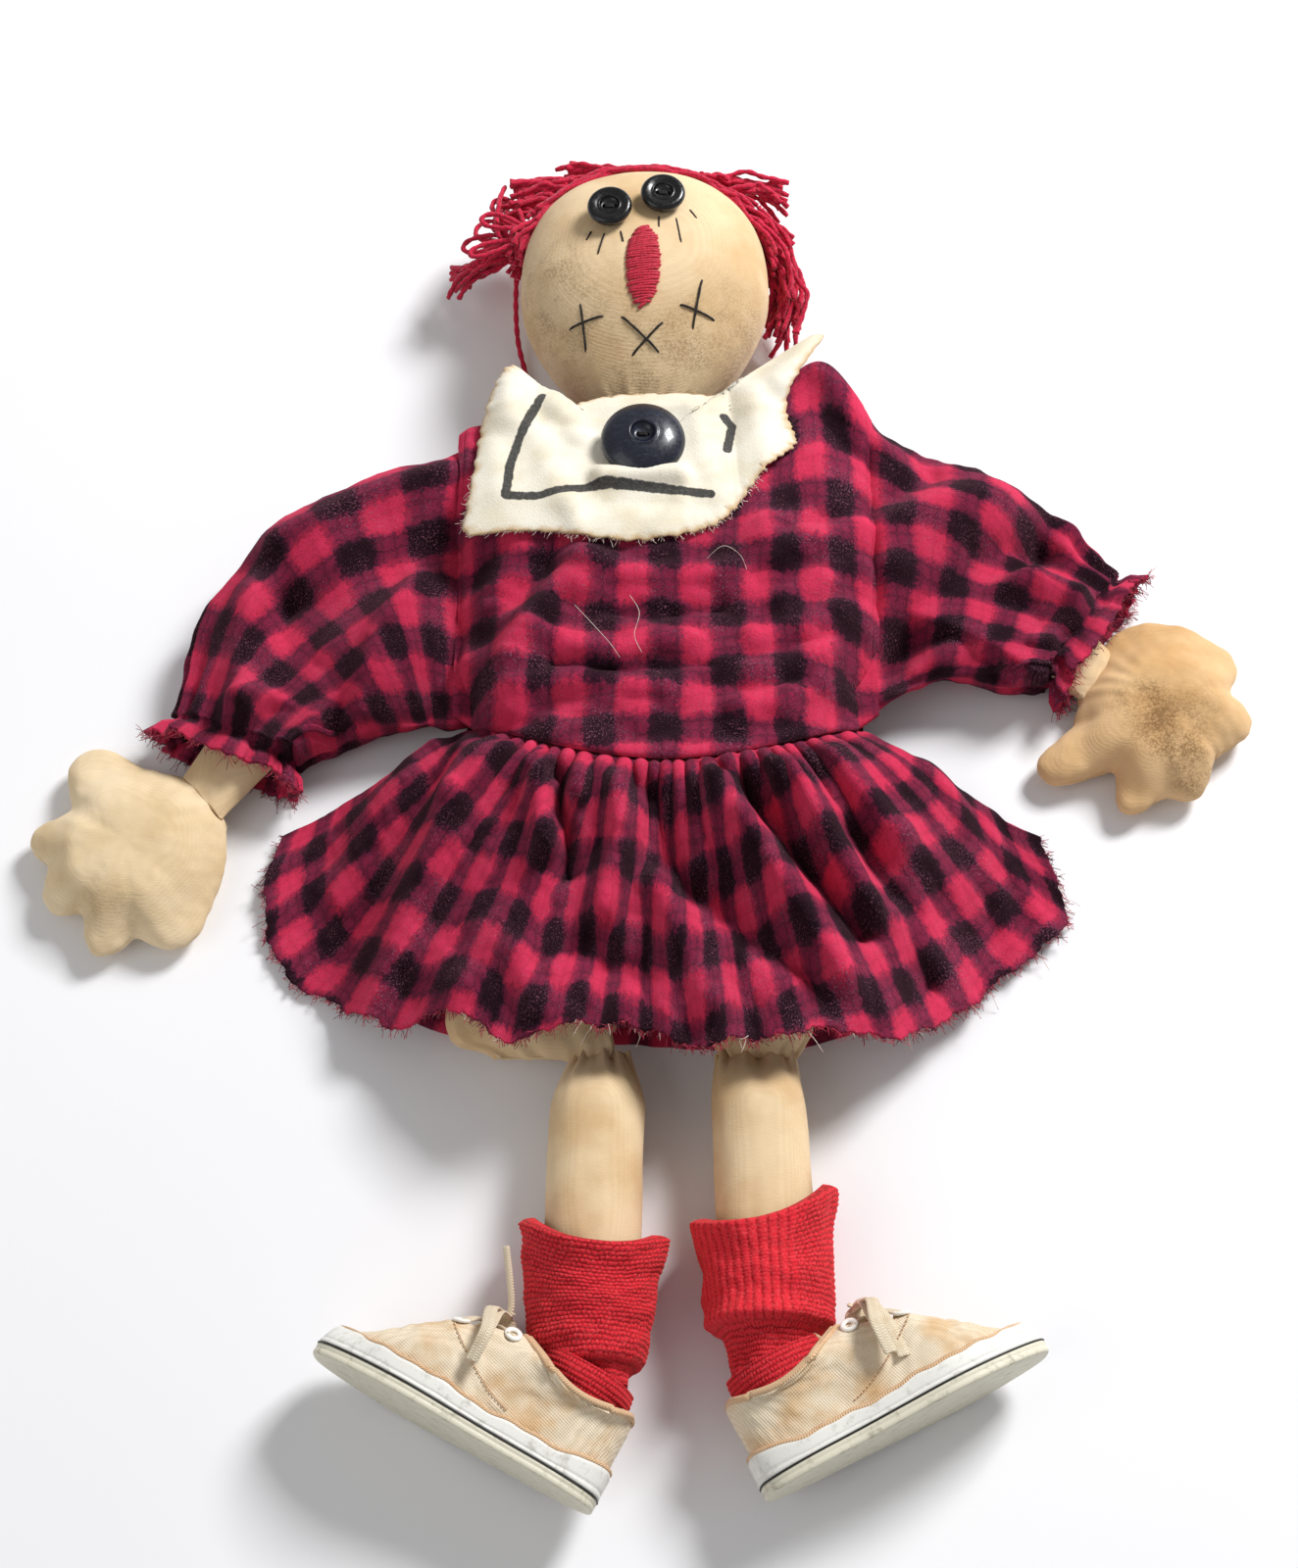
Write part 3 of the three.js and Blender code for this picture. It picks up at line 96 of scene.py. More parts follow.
def loop_share_at(shares, turns):
    """The same round a closed loop of shares, read at an angle in turns."""
    shares = np.asarray(shares, float)
    count = len(shares)
    place = (turns - np.floor(turns)) * count
    i = np.floor(place).astype(int)
    f = place - i
    a, b, c, d = (shares[(i + step) % count] for step in (-1, 0, 1, 2))
    return b + f * ((c - a) / 2 + f * (a - 2.5 * b + 2 * c - d / 2 + f * ((3 * (b - c) + d - a) / 2)))


def curve_through(corners, steps=40):
    """A smooth curve through places, as steps places of its own."""
    corners = np.array(corners, float)
    t = np.linspace(0, 1, steps)
    return np.stack([share_at(corners[:, k], t) for k in range(3)], -1)


def ripples(points, length, seed, octaves=3, stretch=(1, 1, 1)):
    """Soft random swell over points: sums of sine waves of random direction and phase, about length long and
    half as long and high at each octave; it stays near -1 to 1. Stretch scales the points first."""
    rng = np.random.default_rng(seed)
    places = points * np.array(stretch)
    total = 0
    waves = 7
    for octave in range(octaves):
        ways = rng.normal(size=(waves, 3))
        ways /= np.linalg.norm(ways, axis=1)[:, None]
        lengths = length / 2**octave * rng.uniform(0.75, 1.35, waves)
        phases = rng.uniform(0, TURN, waves)
        total = total + np.sin(places @ (ways / lengths[:, None] * TURN).T + phases).sum(-1) / 2**octave
    return total / (1.6 * np.sqrt(waves))


def ridges_at(x, y, ridges):
    """Folds seen in plan: for each ridge (x, y to x, y, width, height), its height times a rounded bump of
    the distance from its line, so that a ridge also tapers past its ends."""
    total = np.zeros(np.shape(x))
    for x0, y0, x1, y1, width, height in ridges:
        run = (x1 - x0) ** 2 + (y1 - y0) ** 2
        t = np.clip(((x - x0) * (x1 - x0) + (y - y0) * (y1 - y0)) / run, 0, 1)
        away = np.hypot(x - mix(x0, x1, t), y - mix(y0, y1, t))
        total = total + height * bump_at(away, width)
    return total


# Meshes from grids of points. A part is points, faces of four and of three corners, and the corners' cloth
# places.


def grid_faces(rows, count, looped, looped_rows=False):
    """Faces of four between neighbouring rows and columns of a grid, and the grid places of their corners."""
    r = np.arange(rows if looped_rows else rows - 1)
    c = np.arange(count if looped else count - 1)
    r, c = (a.ravel() for a in np.meshgrid(r, c, indexing="ij"))
    corners = [(r, c), (r, c + 1), (r + 1, c + 1), (r + 1, c)]
    faces = np.stack([(a % rows) * count + b % count for a, b in corners], -1)
    places = np.stack([a * (count + 1) + b for a, b in corners], -1)
    return faces, places


def closed_part(grid, places=None):
    """A closed form: rings of points, with a fan of faces over the first and the last ring."""
    rows, count = grid.shape[:2]
    quads, corners = grid_faces(rows, count, True)
    points = grid.reshape(-1, 3)
    ends = [grid[0].mean(0), grid[-1].mean(0)]
    c = np.arange(count)
    low = stacked(np.full(count, len(points)), (c + 1) % count, c)
    high = stacked(np.full(count, len(points) + 1), (rows - 1) * count + c,
                   (rows - 1) * count + (c + 1) % count)
    tris = np.concatenate([low, high])
    if places is None:
        places = np.zeros((rows, count + 1, 2))
    flat = places.reshape(-1, 2)
    low_places = np.stack([flat[c], flat[c + 1], flat[c]], 1)
    last = (rows - 1) * (count + 1)
    high_places = np.stack([flat[last + c], flat[last + c], flat[last + c + 1]], 1)
    return (np.concatenate([points, ends]), quads, tris, flat[corners],
            np.concatenate([low_places, high_places]))


def wall_part(outer, inner, places=None):
    """A tube wall: rings pass along the outside and come back along the inside."""
    grid = np.concatenate([outer, inner[::-1]])
    rows, count = grid.shape[:2]
    quads, corners = grid_faces(rows, count, True, True)
    if places is None:
        places = np.zeros((rows // 2, count + 1, 2))
    flat = np.concatenate([places, places[::-1], places[:1]]).reshape(-1, 2)
    return grid.reshape(-1, 3), quads, np.zeros((0, 3), int), flat[corners], np.zeros((0, 3, 2))


def sheet_part(top, bottom, places=None):
    """A sheet between two grids of the same size, closed along its four edges."""
    rows, count = top.shape[:2]
    under = rows * count
    if places is None:
        places = np.zeros((rows, count, 2))
    flat = np.concatenate([places.reshape(-1, 2)] * 2)
    faces, _ = grid_faces(rows, count, False)
    r = np.arange(rows - 1)
    c = np.arange(count - 1)
    last = count - 1
    end = (rows - 1) * count
    edges = [
        stacked(r * count, (r + 1) * count, under + (r + 1) * count, under + r * count),
        stacked(r * count + last, under + r * count + last, under + (r + 1) * count + last,
                (r + 1) * count + last),
        stacked(c, under + c, under + c + 1, c + 1),
        stacked(end + c, end + c + 1, under + end + c + 1, under + end + c),
    ]
    quads = np.concatenate([faces, under + faces[:, ::-1], *edges])
    points = np.concatenate([top.reshape(-1, 3), bottom.reshape(-1, 3)])
    return points, quads, np.zeros((0, 3), int), flat[quads], np.zeros((0, 3, 2))


def strand_part(paths, radius, sides=6, plies=0, twist=0.0, depth=0.2):
    """Threads carried along many paths at once: rings of the radius round each path, square to it. With
    plies, the ring swells and sinks that many times round it and turns by twist for each millimetre, like
    yarn."""
    paths = np.asarray(paths, float)
    count, length = paths.shape[:2]
    radius = np.broadcast_to(np.asarray(radius, float), (count, length))
    along = np.gradient(paths, axis=1)
    along /= np.linalg.norm(along, axis=2)[:, :, None] + 1e-9
    side = np.cross(along, np.array([0.04, 0.03, 1.0]))
    side /= np.linalg.norm(side, axis=2)[:, :, None] + 1e-9
    lift = np.cross(side, along)
    steps = np.linalg.norm(np.diff(paths, axis=1), axis=2)
    run = np.concatenate([np.zeros((count, 1)), np.cumsum(steps, 1)], 1)
    angle = TURN * np.arange(sides) / sides
    swell = np.ones((count, length, sides))
    if plies:
        turned = plies * (angle[None, None] - twist * run[:, :, None]) / 2
        swell = 1 - depth + 1.6 * depth * np.abs(np.cos(turned))
    out = radius[:, :, None] * swell
    points = (paths[:, :, None] + side[:, :, None] * (out * np.cos(angle))[..., None]
              + lift[:, :, None] * (out * np.sin(angle))[..., None])
    faces, corners = grid_faces(length, sides, True)
    offsets = (np.arange(count) * length * sides)[:, None, None]
    quads = (faces[None] + offsets).reshape(-1, 4)
    ring = np.arange(sides)
    base = (np.arange(count) * length * sides)[:, None]
    middles = count * length * sides + np.arange(count)[:, None]
    low = stacked(np.broadcast_to(middles, (count, sides)), base + (ring + 1) % sides, base + ring)
    final = base + (length - 1) * sides
    high = stacked(np.broadcast_to(middles + count, (count, sides)), final + ring, final + (ring + 1) % sides)
    tris = np.concatenate([low.reshape(-1, 3), high.reshape(-1, 3)])
    every = np.concatenate([points.reshape(-1, 3), paths[:, 0], paths[:, -1]])
    around = np.arange(sides + 1) / sides * TURN * radius.mean()
    places = stacked(run[:, :, None], around[None, None])
    flat = places.reshape(count, -1, 2)
    quad_places = flat[:, corners].reshape(-1, 4, 2)
    return every, quads, tris, quad_places, np.zeros((len(tris), 3, 2))


def joined(parts):
    """Several parts as one, each with its faces' numbers moved on."""
    points, quads, tris, quad_places, tri_places = [], [], [], [], []
    start = 0
    for part in parts:
        points.append(part[0])
        quads.append(part[1] + start)
        tris.append(part[2] + start)
        quad_places.append(part[3])
        tri_places.append(part[4])
        start += len(part[0])
    return tuple(np.concatenate(a) for a in (points, quads, tris, quad_places, tri_places))


def outward(part):
    """The part with its faces turned over if the volume that they close comes out below nothing."""
    points, quads, tris, quad_places, tri_places = part
    halves = np.concatenate([quads[:, :3], quads[:, [0, 2, 3]], tris])
    a, b, c = (points[halves[:, k]] for k in range(3))
    if (a * np.cross(b, c)).sum() < 0:
        return points, quads[:, ::-1], tris[:, ::-1], quad_places[:, ::-1], tri_places[:, ::-1]
    return part


def grid_normals(grid, looped):
    """The direction square to a grid of points, from the differences of its neighbours."""
    if looped:
        across = np.roll(grid, -1, 1) - np.roll(grid, 1, 1)
    else:
        across = np.gradient(grid, axis=1)
    normals = np.cross(across, np.gradient(grid, axis=0))
    return normals / (np.linalg.norm(normals, axis=2)[:, :, None] + 1e-9)


def swollen(grid, amount, looped=True):
    """A ringed form moved square to its surface by an amount at each point, outwards where it is above
    nothing."""
    normals = grid_normals(grid, looped)
    middle = grid.mean(1, keepdims=True)
    sign = np.sign(((grid - middle) * normals).sum())
    return grid + normals * (sign * amount)[..., None]


def make_piece(name, part, finish, body=None, nodes=(), shares=None, blend=None):
    """One object from a part: its mesh in metres, its cloth places as a UV map in metres, and what it rides
    on."""
    points, quads, tris, quad_places, tri_places = outward(part)
    mesh = bpy.data.meshes.new(name)
    mesh.from_pydata((points * MM).tolist(), [], quads.tolist() + tris.tolist())
    places = mesh.uv_layers.new(name="cloth")
    corner_places = np.concatenate([quad_places.reshape(-1, 2), tri_places.reshape(-1, 2)])
    places.data.foreach_set("uv", (corner_places * MM).astype(np.float32).ravel())
    mesh.polygons.foreach_set("use_smooth", np.ones(len(mesh.polygons), bool))
    for label, values in (shares or {}).items():
        attribute = mesh.attributes.new(label, "FLOAT", "POINT")
        attribute.data.foreach_set("value", np.asarray(values, np.float32).ravel())
    mesh.materials.append(finish)
    mesh.update()
    piece = bpy.data.objects.new(name, mesh)
    bpy.context.scene.collection.objects.link(piece)
    if blend:
        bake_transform(piece)
    else:
        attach(piece, body)
    if nodes:
        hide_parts(*nodes)
    return piece


# Finishes, from nodes


def shade(code):
    """A colour written as six hex digits, as the shader's own numbers."""
    values = [int(code[i:i + 2], 16) / 255 for i in (0, 2, 4)]
    return tuple(v / 12.92 if v <= 0.04045 else ((v + 0.055) / 1.055) ** 2.4 for v in values) + (1.0,)


def start_finish(name, **constants):
    material = bpy.data.materials.new(name)
    material.use_nodes = True
    tree = material.node_tree
    shader = tree.nodes["Principled BSDF"]
    for label, value in constants.items():
        shader.inputs[label.replace("_", " ")].default_value = value
    return material, tree, shader


def node(tree, kind, inputs=None, **settings):
    """A node with its settings, and its inputs as numbers or as other nodes' outputs."""
    made = tree.nodes.new("ShaderNode" + kind)
    for label, value in settings.items():
        setattr(made, label, value)
    for label, value in (inputs or {}).items():
        if isinstance(value, bpy.types.NodeSocket):
            tree.links.new(value, made.inputs[label])
        else:
            made.inputs[label].default_value = value
    return made


def object_place(tree):
    return node(tree, "TexCoord").outputs["Object"]


def cloth_place(tree):
    return node(tree, "UVMap", uv_map="cloth").outputs["UV"]


def speckle(tree, place, scale, detail=3.0, rough=0.55, warp=0.0):
    inputs = {"Vector": place, "Scale": scale, "Detail": detail, "Roughness": rough, "Distortion": warp}
    return node(tree, "TexNoise", inputs).outputs["Fac"]


def sums(tree, operation, a, b=0.0, clamp=False):
    return node(tree, "Math", {0: a, 1: b}, operation=operation, use_clamp=clamp).outputs[0]


def times(tree, a, b, clamp=False):
    return sums(tree, "MULTIPLY", a, b, clamp=clamp)


def plus(tree, a, b, clamp=False):
    return sums(tree, "ADD", a, b, clamp=clamp)


def span(tree, value, low, high, to_low=0.0, to_high=1.0):
    inputs = {"Value": value, "From Min": low, "From Max": high, "To Min": to_low, "To Max": to_high}
    return node(tree, "MapRange", inputs, clamp=True, interpolation_type="SMOOTHSTEP").outputs["Result"]


def blended(tree, share, a, b, kind="MIX"):
    return node(tree, "Mix", {0: share, 6: a, 7: b}, data_type="RGBA", blend_type=kind).outputs[2]


def stretched(tree, place, scale, turn=(0, 0, 0)):
    inputs = {"Vector": place, "Scale": scale, "Rotation": turn}
    return node(tree, "Mapping", inputs).outputs["Vector"]


def split(tree, place):
    return node(tree, "SeparateXYZ", {0: place}).outputs


def lit(tree, shader, colour, height=None, distance=0.0003, strength=0.6, roughness=None):
    """Wires a colour, a bump height in shares of distance, and a roughness into the shader."""
    tree.links.new(colour, shader.inputs["Base Color"])
    if height is not None:
        relief = node(tree, "Bump", {"Strength": strength, "Distance": distance, "Height": height})
        tree.links.new(relief.outputs["Normal"], shader.inputs["Normal"])
    if roughness is not None:
        tree.links.new(roughness, shader.inputs["Roughness"])


def weave_height(tree, place, pitch):
    """A plain weave: the product of two sine waves of the pitch, across each other."""
    parts = split(tree, place)
    waves = []
    for k in (0, 1, 2):
        waves.append(sums(tree, "SINE", times(tree, parts[k], TURN / pitch)))
    flat = times(tree, waves[0], waves[1])
    return plus(tree, flat, times(tree, waves[2], 0.5))


def muslin_finish(name, spots=(), base="e8cfa8", deep="d3b184"):
    """Tea-stained muslin: a fine weave with a little brown painted shade along it, cloudy tan, and brown
    freckled stains round the given spots (x, y, z and radius in millimetres, and strength)."""
    material, tree, shader = start_finish(name, Roughness=0.92, Specular_IOR_Level=0.15, Sheen_Weight=0.12)
    place = object_place(tree)
    cloud = speckle(tree, place, 28, 4)
    colour = blended(tree, span(tree, cloud, 0.35, 0.7), shade(base), shade(deep))
    freckle = speckle(tree, place, 900, 2, 0.7)
    blotch = speckle(tree, place, 70, 4, 0.65)
    for x, y, z, radius, strength in spots:
        away = node(tree, "VectorMath", {0: place, 1: (x * MM, y * MM, z * MM)},
                    operation="DISTANCE").outputs["Value"]
        near = span(tree, away, radius * MM, radius * 0.25 * MM)
        worn = times(tree, near, span(tree, blotch, 0.38, 0.62, 0.35, 1.0))
        dots = times(tree, worn, span(tree, freckle, 0.4, 0.62, 0.35, 1.0))
        colour = blended(tree, times(tree, dots, strength, clamp=True), colour, shade("80603c"))
    weave = weave_height(tree, place, 0.0009)
    slub = speckle(tree, stretched(tree, place, (1, 6, 1)), 400, 2)
    height = plus(tree, times(tree, weave, 0.25), slub)
    # Painted shade: the weave's pattern darkened a little toward brown.
    colour = blended(tree, span(tree, weave, -1, 1, 0.0, 0.12), colour, shade("8f6b3e"))
    lit(tree, shader, colour, height, 0.00035, 0.5)
    return material


def plaid_finish():
    """Brushed flannel: dark bands of half the repeat both ways over crimson, near black where they cross,
    fine dark lines between, a soft pale nap that is partly painted sheen, and fibres that blur every edge."""
    material, tree, shader = start_finish("plaid flannel", Roughness=0.95, Specular_IOR_Level=0.05,
                                          Sheen_Weight=0.1,
                                          Sheen_Roughness=0.6)
    shader.inputs["Sheen Tint"].default_value = shade("e8a0b4")
    place = cloth_place(tree)
    fuzz = node(tree, "TexNoise", {"Vector": place, "Scale": 700.0, "Detail": 3.0}).outputs["Color"]
    drift = node(tree, "TexNoise", {"Vector": place, "Scale": 60.0, "Detail": 2.0}).outputs["Color"]
    moved = place
    for cloud, reach in ((fuzz, 0.0055), (drift, 0.006)):
        shift = node(tree, "VectorMath", {0: cloud, 1: (0.5, 0.5, 0.5)}, operation="SUBTRACT").outputs[0]
        step = node(tree, "VectorMath", {0: shift, "Scale": reach}, operation="SCALE").outputs[0]
        moved = node(tree, "VectorMath", {0: moved, 1: step}, operation="ADD").outputs[0]
    parts = split(tree, moved)
    repeat = 0.027
    bands, lines = [], []
    for k in (0, 1):
        wave = sums(tree, "SINE", times(tree, parts[k], TURN / repeat))
        bands.append(span(tree, wave, -0.62, 0.7))
        fine = sums(tree, "COSINE", times(tree, parts[k], 5 * TURN / repeat))
        lines.append(span(tree, fine, 0.55, 1.0))
    cover = times(tree, plus(tree, bands[0], bands[1]), 0.5)
    marks = times(tree, sums(tree, "MAXIMUM", lines[0], lines[1]), 0.12)
    nap = speckle(tree, place, 1300, 3, 0.7)
    cover = plus(tree, cover, marks)
    cover = plus(tree, cover, times(tree, sums(tree, "SUBTRACT", nap, 0.5), 0.8), clamp=True)
    ramp = node(tree, "ValToRGB", {"Fac": cover})
    stops = ramp.color_ramp.elements
    stops[0].position = 0.0
    stops[0].color = shade("d8355a")
    stops[1].position = 1.0
    stops[1].color = shade("12070e")
    for position, code in ((0.2, "c22c4c"), (0.5, "7c2240"), (0.78, "2c1120")):
        stop = stops.new(position)
        stop.color = shade(code)
    # Pale nap in soft patches: partly the fibres' own colour, partly painted sheen where the nap would catch
    # light.
    worn = speckle(tree, place, 45, 4, 0.6)
    nap_and_sheen_share = times(tree, span(tree, nap, 0.5, 0.72), span(tree, worn, 0.4, 0.66, 0.08, 0.6))
    colour = blended(tree, nap_and_sheen_share, ramp.outputs["Color"], shade("c9809c"))
    fibres = speckle(tree, stretched(tree, place, (1, 3, 1)), 1500, 2, 0.6)
    lit(tree, shader, colour, plus(tree, nap, fibres), 0.0008, 0.7)
    return material


def felt_finish():
    """Cream felt: a cloudy cream with a fine nap, scorched tan towards its raw edge, and a charcoal line
    brushed on it; both are read from shares kept on the mesh."""
    material, tree, shader = start_finish("cream felt", Roughness=0.94, Specular_IOR_Level=0.1,
                                          Sheen_Weight=0.15)
    place = object_place(tree)
    cloud = speckle(tree, place, 45, 4)
    colour = blended(tree, span(tree, cloud, 0.35, 0.7), shade("efe9da"), shade("e0d6be"))
    edge = node(tree, "Attribute", attribute_name="edge_share").outputs["Fac"]
    ragged = plus(tree, edge, times(tree, sums(tree, "SUBTRACT", speckle(tree, place, 160), 0.5), 0.7))
    colour = blended(tree, span(tree, ragged, 0.55, 1.05, 0.0, 0.75), colour, shade("c39a5c"))
    line = node(tree, "Attribute", attribute_name="line_share").outputs["Fac"]
    brushed = plus(tree, line, times(tree, sums(tree, "SUBTRACT", speckle(tree, place, 420), 0.5), 0.35))
    streaks = speckle(tree, stretched(tree, place, (1, 1, 1), (0, 0, 0.4)), 900, 3, 0.7)
    ink = blended(tree, span(tree, streaks, 0.42, 0.7), shade("1c1d20"), shade("46474a"))
    colour = blended(tree, span(tree, brushed, 0.42, 0.58, 0.0, 0.94), colour, ink)
    nap = speckle(tree, place, 1100, 3, 0.7)
    lit(tree, shader, colour, nap, 0.0005, 0.55)
    return material


def thread_finish(name, light, dark, scale=900.0, rough=0.7, sheen=0.1):
    """Spun thread: fibres that run round it give it a light and a dark strand and a fine bump."""
    material, tree, shader = start_finish(name, Roughness=rough, Specular_IOR_Level=0.25, Sheen_Weight=sheen)
    place = object_place(tree)
    fibres = speckle(tree, place, scale, 3, 0.65)
    patch = speckle(tree, place, 60, 2)
    share = plus(tree, span(tree, fibres, 0.38, 0.66), sums(tree, "SUBTRACT", patch, 0.5), clamp=True)
    colour = blended(tree, share, shade(light), shade(dark))
    lit(tree, shader, colour, fibres, 0.0003, 0.6)
    return material


def knit_finish():
    """Red wool knit: painted shade makes the stitch tops light and their hollows dark; loose fibres."""
    material, tree, shader = start_finish("red knit", Roughness=0.95, Specular_IOR_Level=0.1,
                                          Sheen_Weight=0.2)
    shader.inputs["Sheen Tint"].default_value = shade("ff9a8c")
    place = object_place(tree)
    fibres = speckle(tree, place, 1100, 3, 0.7)
    # Painted shade: the stitch relief kept on the mesh darkens the hollows between the stitches.
    deep = node(tree, "Attribute", attribute_name="stitch_relief_shade").outputs["Fac"]
    colour = blended(tree, span(tree, deep, 0.1, 0.75), shade("96161e"), shade("dc2b38"))
    colour = blended(tree, span(tree, fibres, 0.45, 0.72, 0.0, 0.5), colour, shade("ea6064"))
    lit(tree, shader, colour, fibres, 0.0005, 0.7)
    return material


def gloss_finish(name, base, worn, rough=0.16):
    """Pressed button: a dark gloss with faint scuffs (partly painted sheen on the coat button) and a little
    dust.
    """
    material, tree, shader = start_finish(name, Specular_IOR_Level=0.45, Coat_Weight=0.25)
    place = object_place(tree)
    scuffs = speckle(tree, stretched(tree, place, (1, 4, 1), (0, 0, 0.5)), 260, 4, 0.7)
    dust = speckle(tree, place, 700, 2)
    colour = blended(tree, span(tree, scuffs, 0.5, 0.8, 0.0, 0.6), shade(base), shade(worn))
    lit(tree, shader, colour, scuffs, 0.0001, 0.25, span(tree, dust, 0.3, 0.8, rough, rough + 0.22))
    return material


def canvas_finish():
    """Cream canvas: a plain weave of thick threads with soiled patches and painted shade in its hollows."""
    material, tree, shader = start_finish("cream canvas", Roughness=0.9, Specular_IOR_Level=0.15,
                                          Sheen_Weight=0.1)
    place = object_place(tree)
    weave = weave_height(tree, place, 0.0013)
    cloud = speckle(tree, place, 55, 4)
    colour = blended(tree, span(tree, cloud, 0.42, 0.75), shade("f0e1c8"), shade("dcb78a"))
    # Painted shade: the hollows of the weave darkened toward brown.
    colour = blended(tree, span(tree, weave, -1.2, 1.0, 0.3, 0.0), colour, shade("9c8558"))
    lit(tree, shader, colour, plus(tree, weave, speckle(tree, place, 900, 2)), 0.0002, 0.55)
    return material


def rubber_finish(name, base, soiled, streak=0.6):
    """Old rubber: a soft sheen, grey scuffs along the sole and soiled specks."""
    material, tree, shader = start_finish(name, Specular_IOR_Level=0.4)
    place = object_place(tree)
    scuffs = speckle(tree, stretched(tree, place, (2, 2, 7)), 90, 5, 0.7)
    specks = speckle(tree, place, 600, 3, 0.7)
    colour = blended(tree, span(tree, scuffs, 0.5, 0.72, 0.0, streak), shade(base), shade(soiled))
    colour = blended(tree, span(tree, specks, 0.6, 0.75, 0.0, 0.5), colour, shade(soiled))
    lit(tree, shader, colour, specks, 0.0001, 0.35, span(tree, scuffs, 0.3, 0.7, 0.38, 0.62))
    return material


def lace_finish(name="flat lace", base="e8e0c8", deep="b9a982"):
    """Woven lace: a herringbone of fine threads along its own length, from its cloth places."""
    material, tree, shader = start_finish(name, Roughness=0.88, Specular_IOR_Level=0.2, Sheen_Weight=0.1)
    place = cloth_place(tree)
    parts = split(tree, place)
    across = sums(tree, "ABSOLUTE", sums(tree, "SINE", times(tree, parts[1], TURN / 0.005)))
    slant = plus(tree, parts[0], times(tree, across, 0.0012))
    thread = sums(tree, "SINE", times(tree, slant, TURN / 0.0011))
    cloud = speckle(tree, object_place(tree), 130, 3)
    colour = blended(tree, span(tree, thread, -1, 1, 0.0, 0.45), shade(base), shade(deep))
    colour = blended(tree, span(tree, cloud, 0.5, 0.75, 0.0, 0.4), colour, shade(deep))
    lit(tree, shader, colour, thread, 0.00025, 0.6)
    return material


MUSLIN = muslin_finish("muslin")
PLAID = plaid_finish()
FELT = felt_finish()
BLACK_THREAD = thread_finish("black thread", "2c2825", "0d0b0b", 1500.0)
YARN = thread_finish("red yarn", "d81e46", "8a0f2a", 1300.0, 0.85, 0.2)
FLOSS = thread_finish("red floss", "cf2a44", "96142c", 1700.0, 0.5, 0.2)
KNIT = knit_finish()
EYE_GLOSS = gloss_finish("eye button gloss", "050506", "1d1e22", 0.2)
# The coat button's paler blue-grey scuffs are partly painted sheen.
COAT_GLOSS = gloss_finish("coat button gloss", "141826", "39425a", 0.26)
CANVAS = canvas_finish()
WHITE_RUBBER = rubber_finish("white rubber", "e9e8e2", "a9a69c")
GREEN_RUBBER = rubber_finish("green rubber", "dbd6c2", "9b9681", 0.7)
ENAMEL = rubber_finish("white enamel", "f1efe9", "b9b4a8", 0.3)
LACE = lace_finish("flat lace", "ecdfc6", "c4ab84")
BINDING = lace_finish("edge binding", "eac8a2", "c08a58")
ELASTIC = lace_finish("white elastic", "e9e7e1", "b8b5ac")
INSOLE = muslin_finish("insole board", (), "d8ccae", "b49f78")
DARK_LINE = rubber_finish("black piping", "1d1c1b", "55524d", 0.5)


# Stuffed limbs


def limb(at, sides=56, steps=44, corner=2.2, floor=None, square_start=None, square_end=None):
    """A stuffed or bent form: sections with rounded corners (a circle whose sines and cosines are raised to 2
    over the corner power) carried along a level line. at(t) gives the line's x, y and z and the section's
    half width and half height; a floor presses the underside flat, and ends are squared to a seam."""
    t = (1 - np.cos(np.pi * np.arange(steps + 1) / steps)) / 2
    x, y, z, wide, high = (np.broadcast_to(v, t.shape) for v in at(t))
    x0, y0 = (np.broadcast_to(v, t.shape) for v in at(np.maximum(t - 0.001, 0))[:2])
    x1, y1 = (np.broadcast_to(v, t.shape) for v in at(np.minimum(t + 0.001, 1))[:2])
    run = np.hypot(x1 - x0, y1 - y0)
    across = stacked((y1 - y0) / run, (x0 - x1) / run)
    for square, away in ((square_start, t), (square_end, 1 - t)):
        if square is not None:
            hold = (1 - smooth(away / 0.35))[:, None]
            across = across * (1 - hold) + np.array(square, float) * hold
    angle = TURN * np.arange(sides) / sides
    out = wide[:, None] * signed_power(np.cos(angle), 2 / corner)
    up = high[:, None] * signed_power(np.sin(angle), 2 / corner)
    points = stacked(x[:, None] + across[:, :1] * out, y[:, None] + across[:, 1:] * out, z[:, None] + up)
    if floor is not None:
        points[:, :, 2] = np.maximum(points[:, :, 2], floor)
    return points


def opened(distance, run):
    """How far a form has opened from the thin edge of a sewn crease, after a run from it."""
    return np.sin(np.pi / 2 * np.clip(distance / run, 0, 1))


def pleats(grid, ends, depth=1.0, count=9, seed=1):
    """Small gathers that run from a form's closed ends along it: a wave round the form, fading away from the
    end. ends gives (which end, share of the length that it reaches)."""
    rows, sides = grid.shape[:2]
    t = (np.arange(rows) / (rows - 1))[:, None]
    angle = TURN * np.arange(sides)[None] / sides
    rng = np.random.default_rng(seed)
    wave = np.sin(count * angle + rng.uniform(0, TURN)) + 0.6 * np.sin((count * 2 - 3) * angle
                                                                       + rng.uniform(0, TURN))
    total = np.zeros((rows, sides))
    for end, reach in ends:
        away = t if end == 0 else 1 - t
        total = total + wave * np.exp(-((away / reach) ** 1.5)) * smooth(away / 0.04)
    return total * depth


def kept_up(grid, low=0.0):
    """The same points, none of them below the floor."""
    grid = grid.copy()
    grid[:, :, 2] = np.maximum(grid[:, :, 2], low)
    return grid


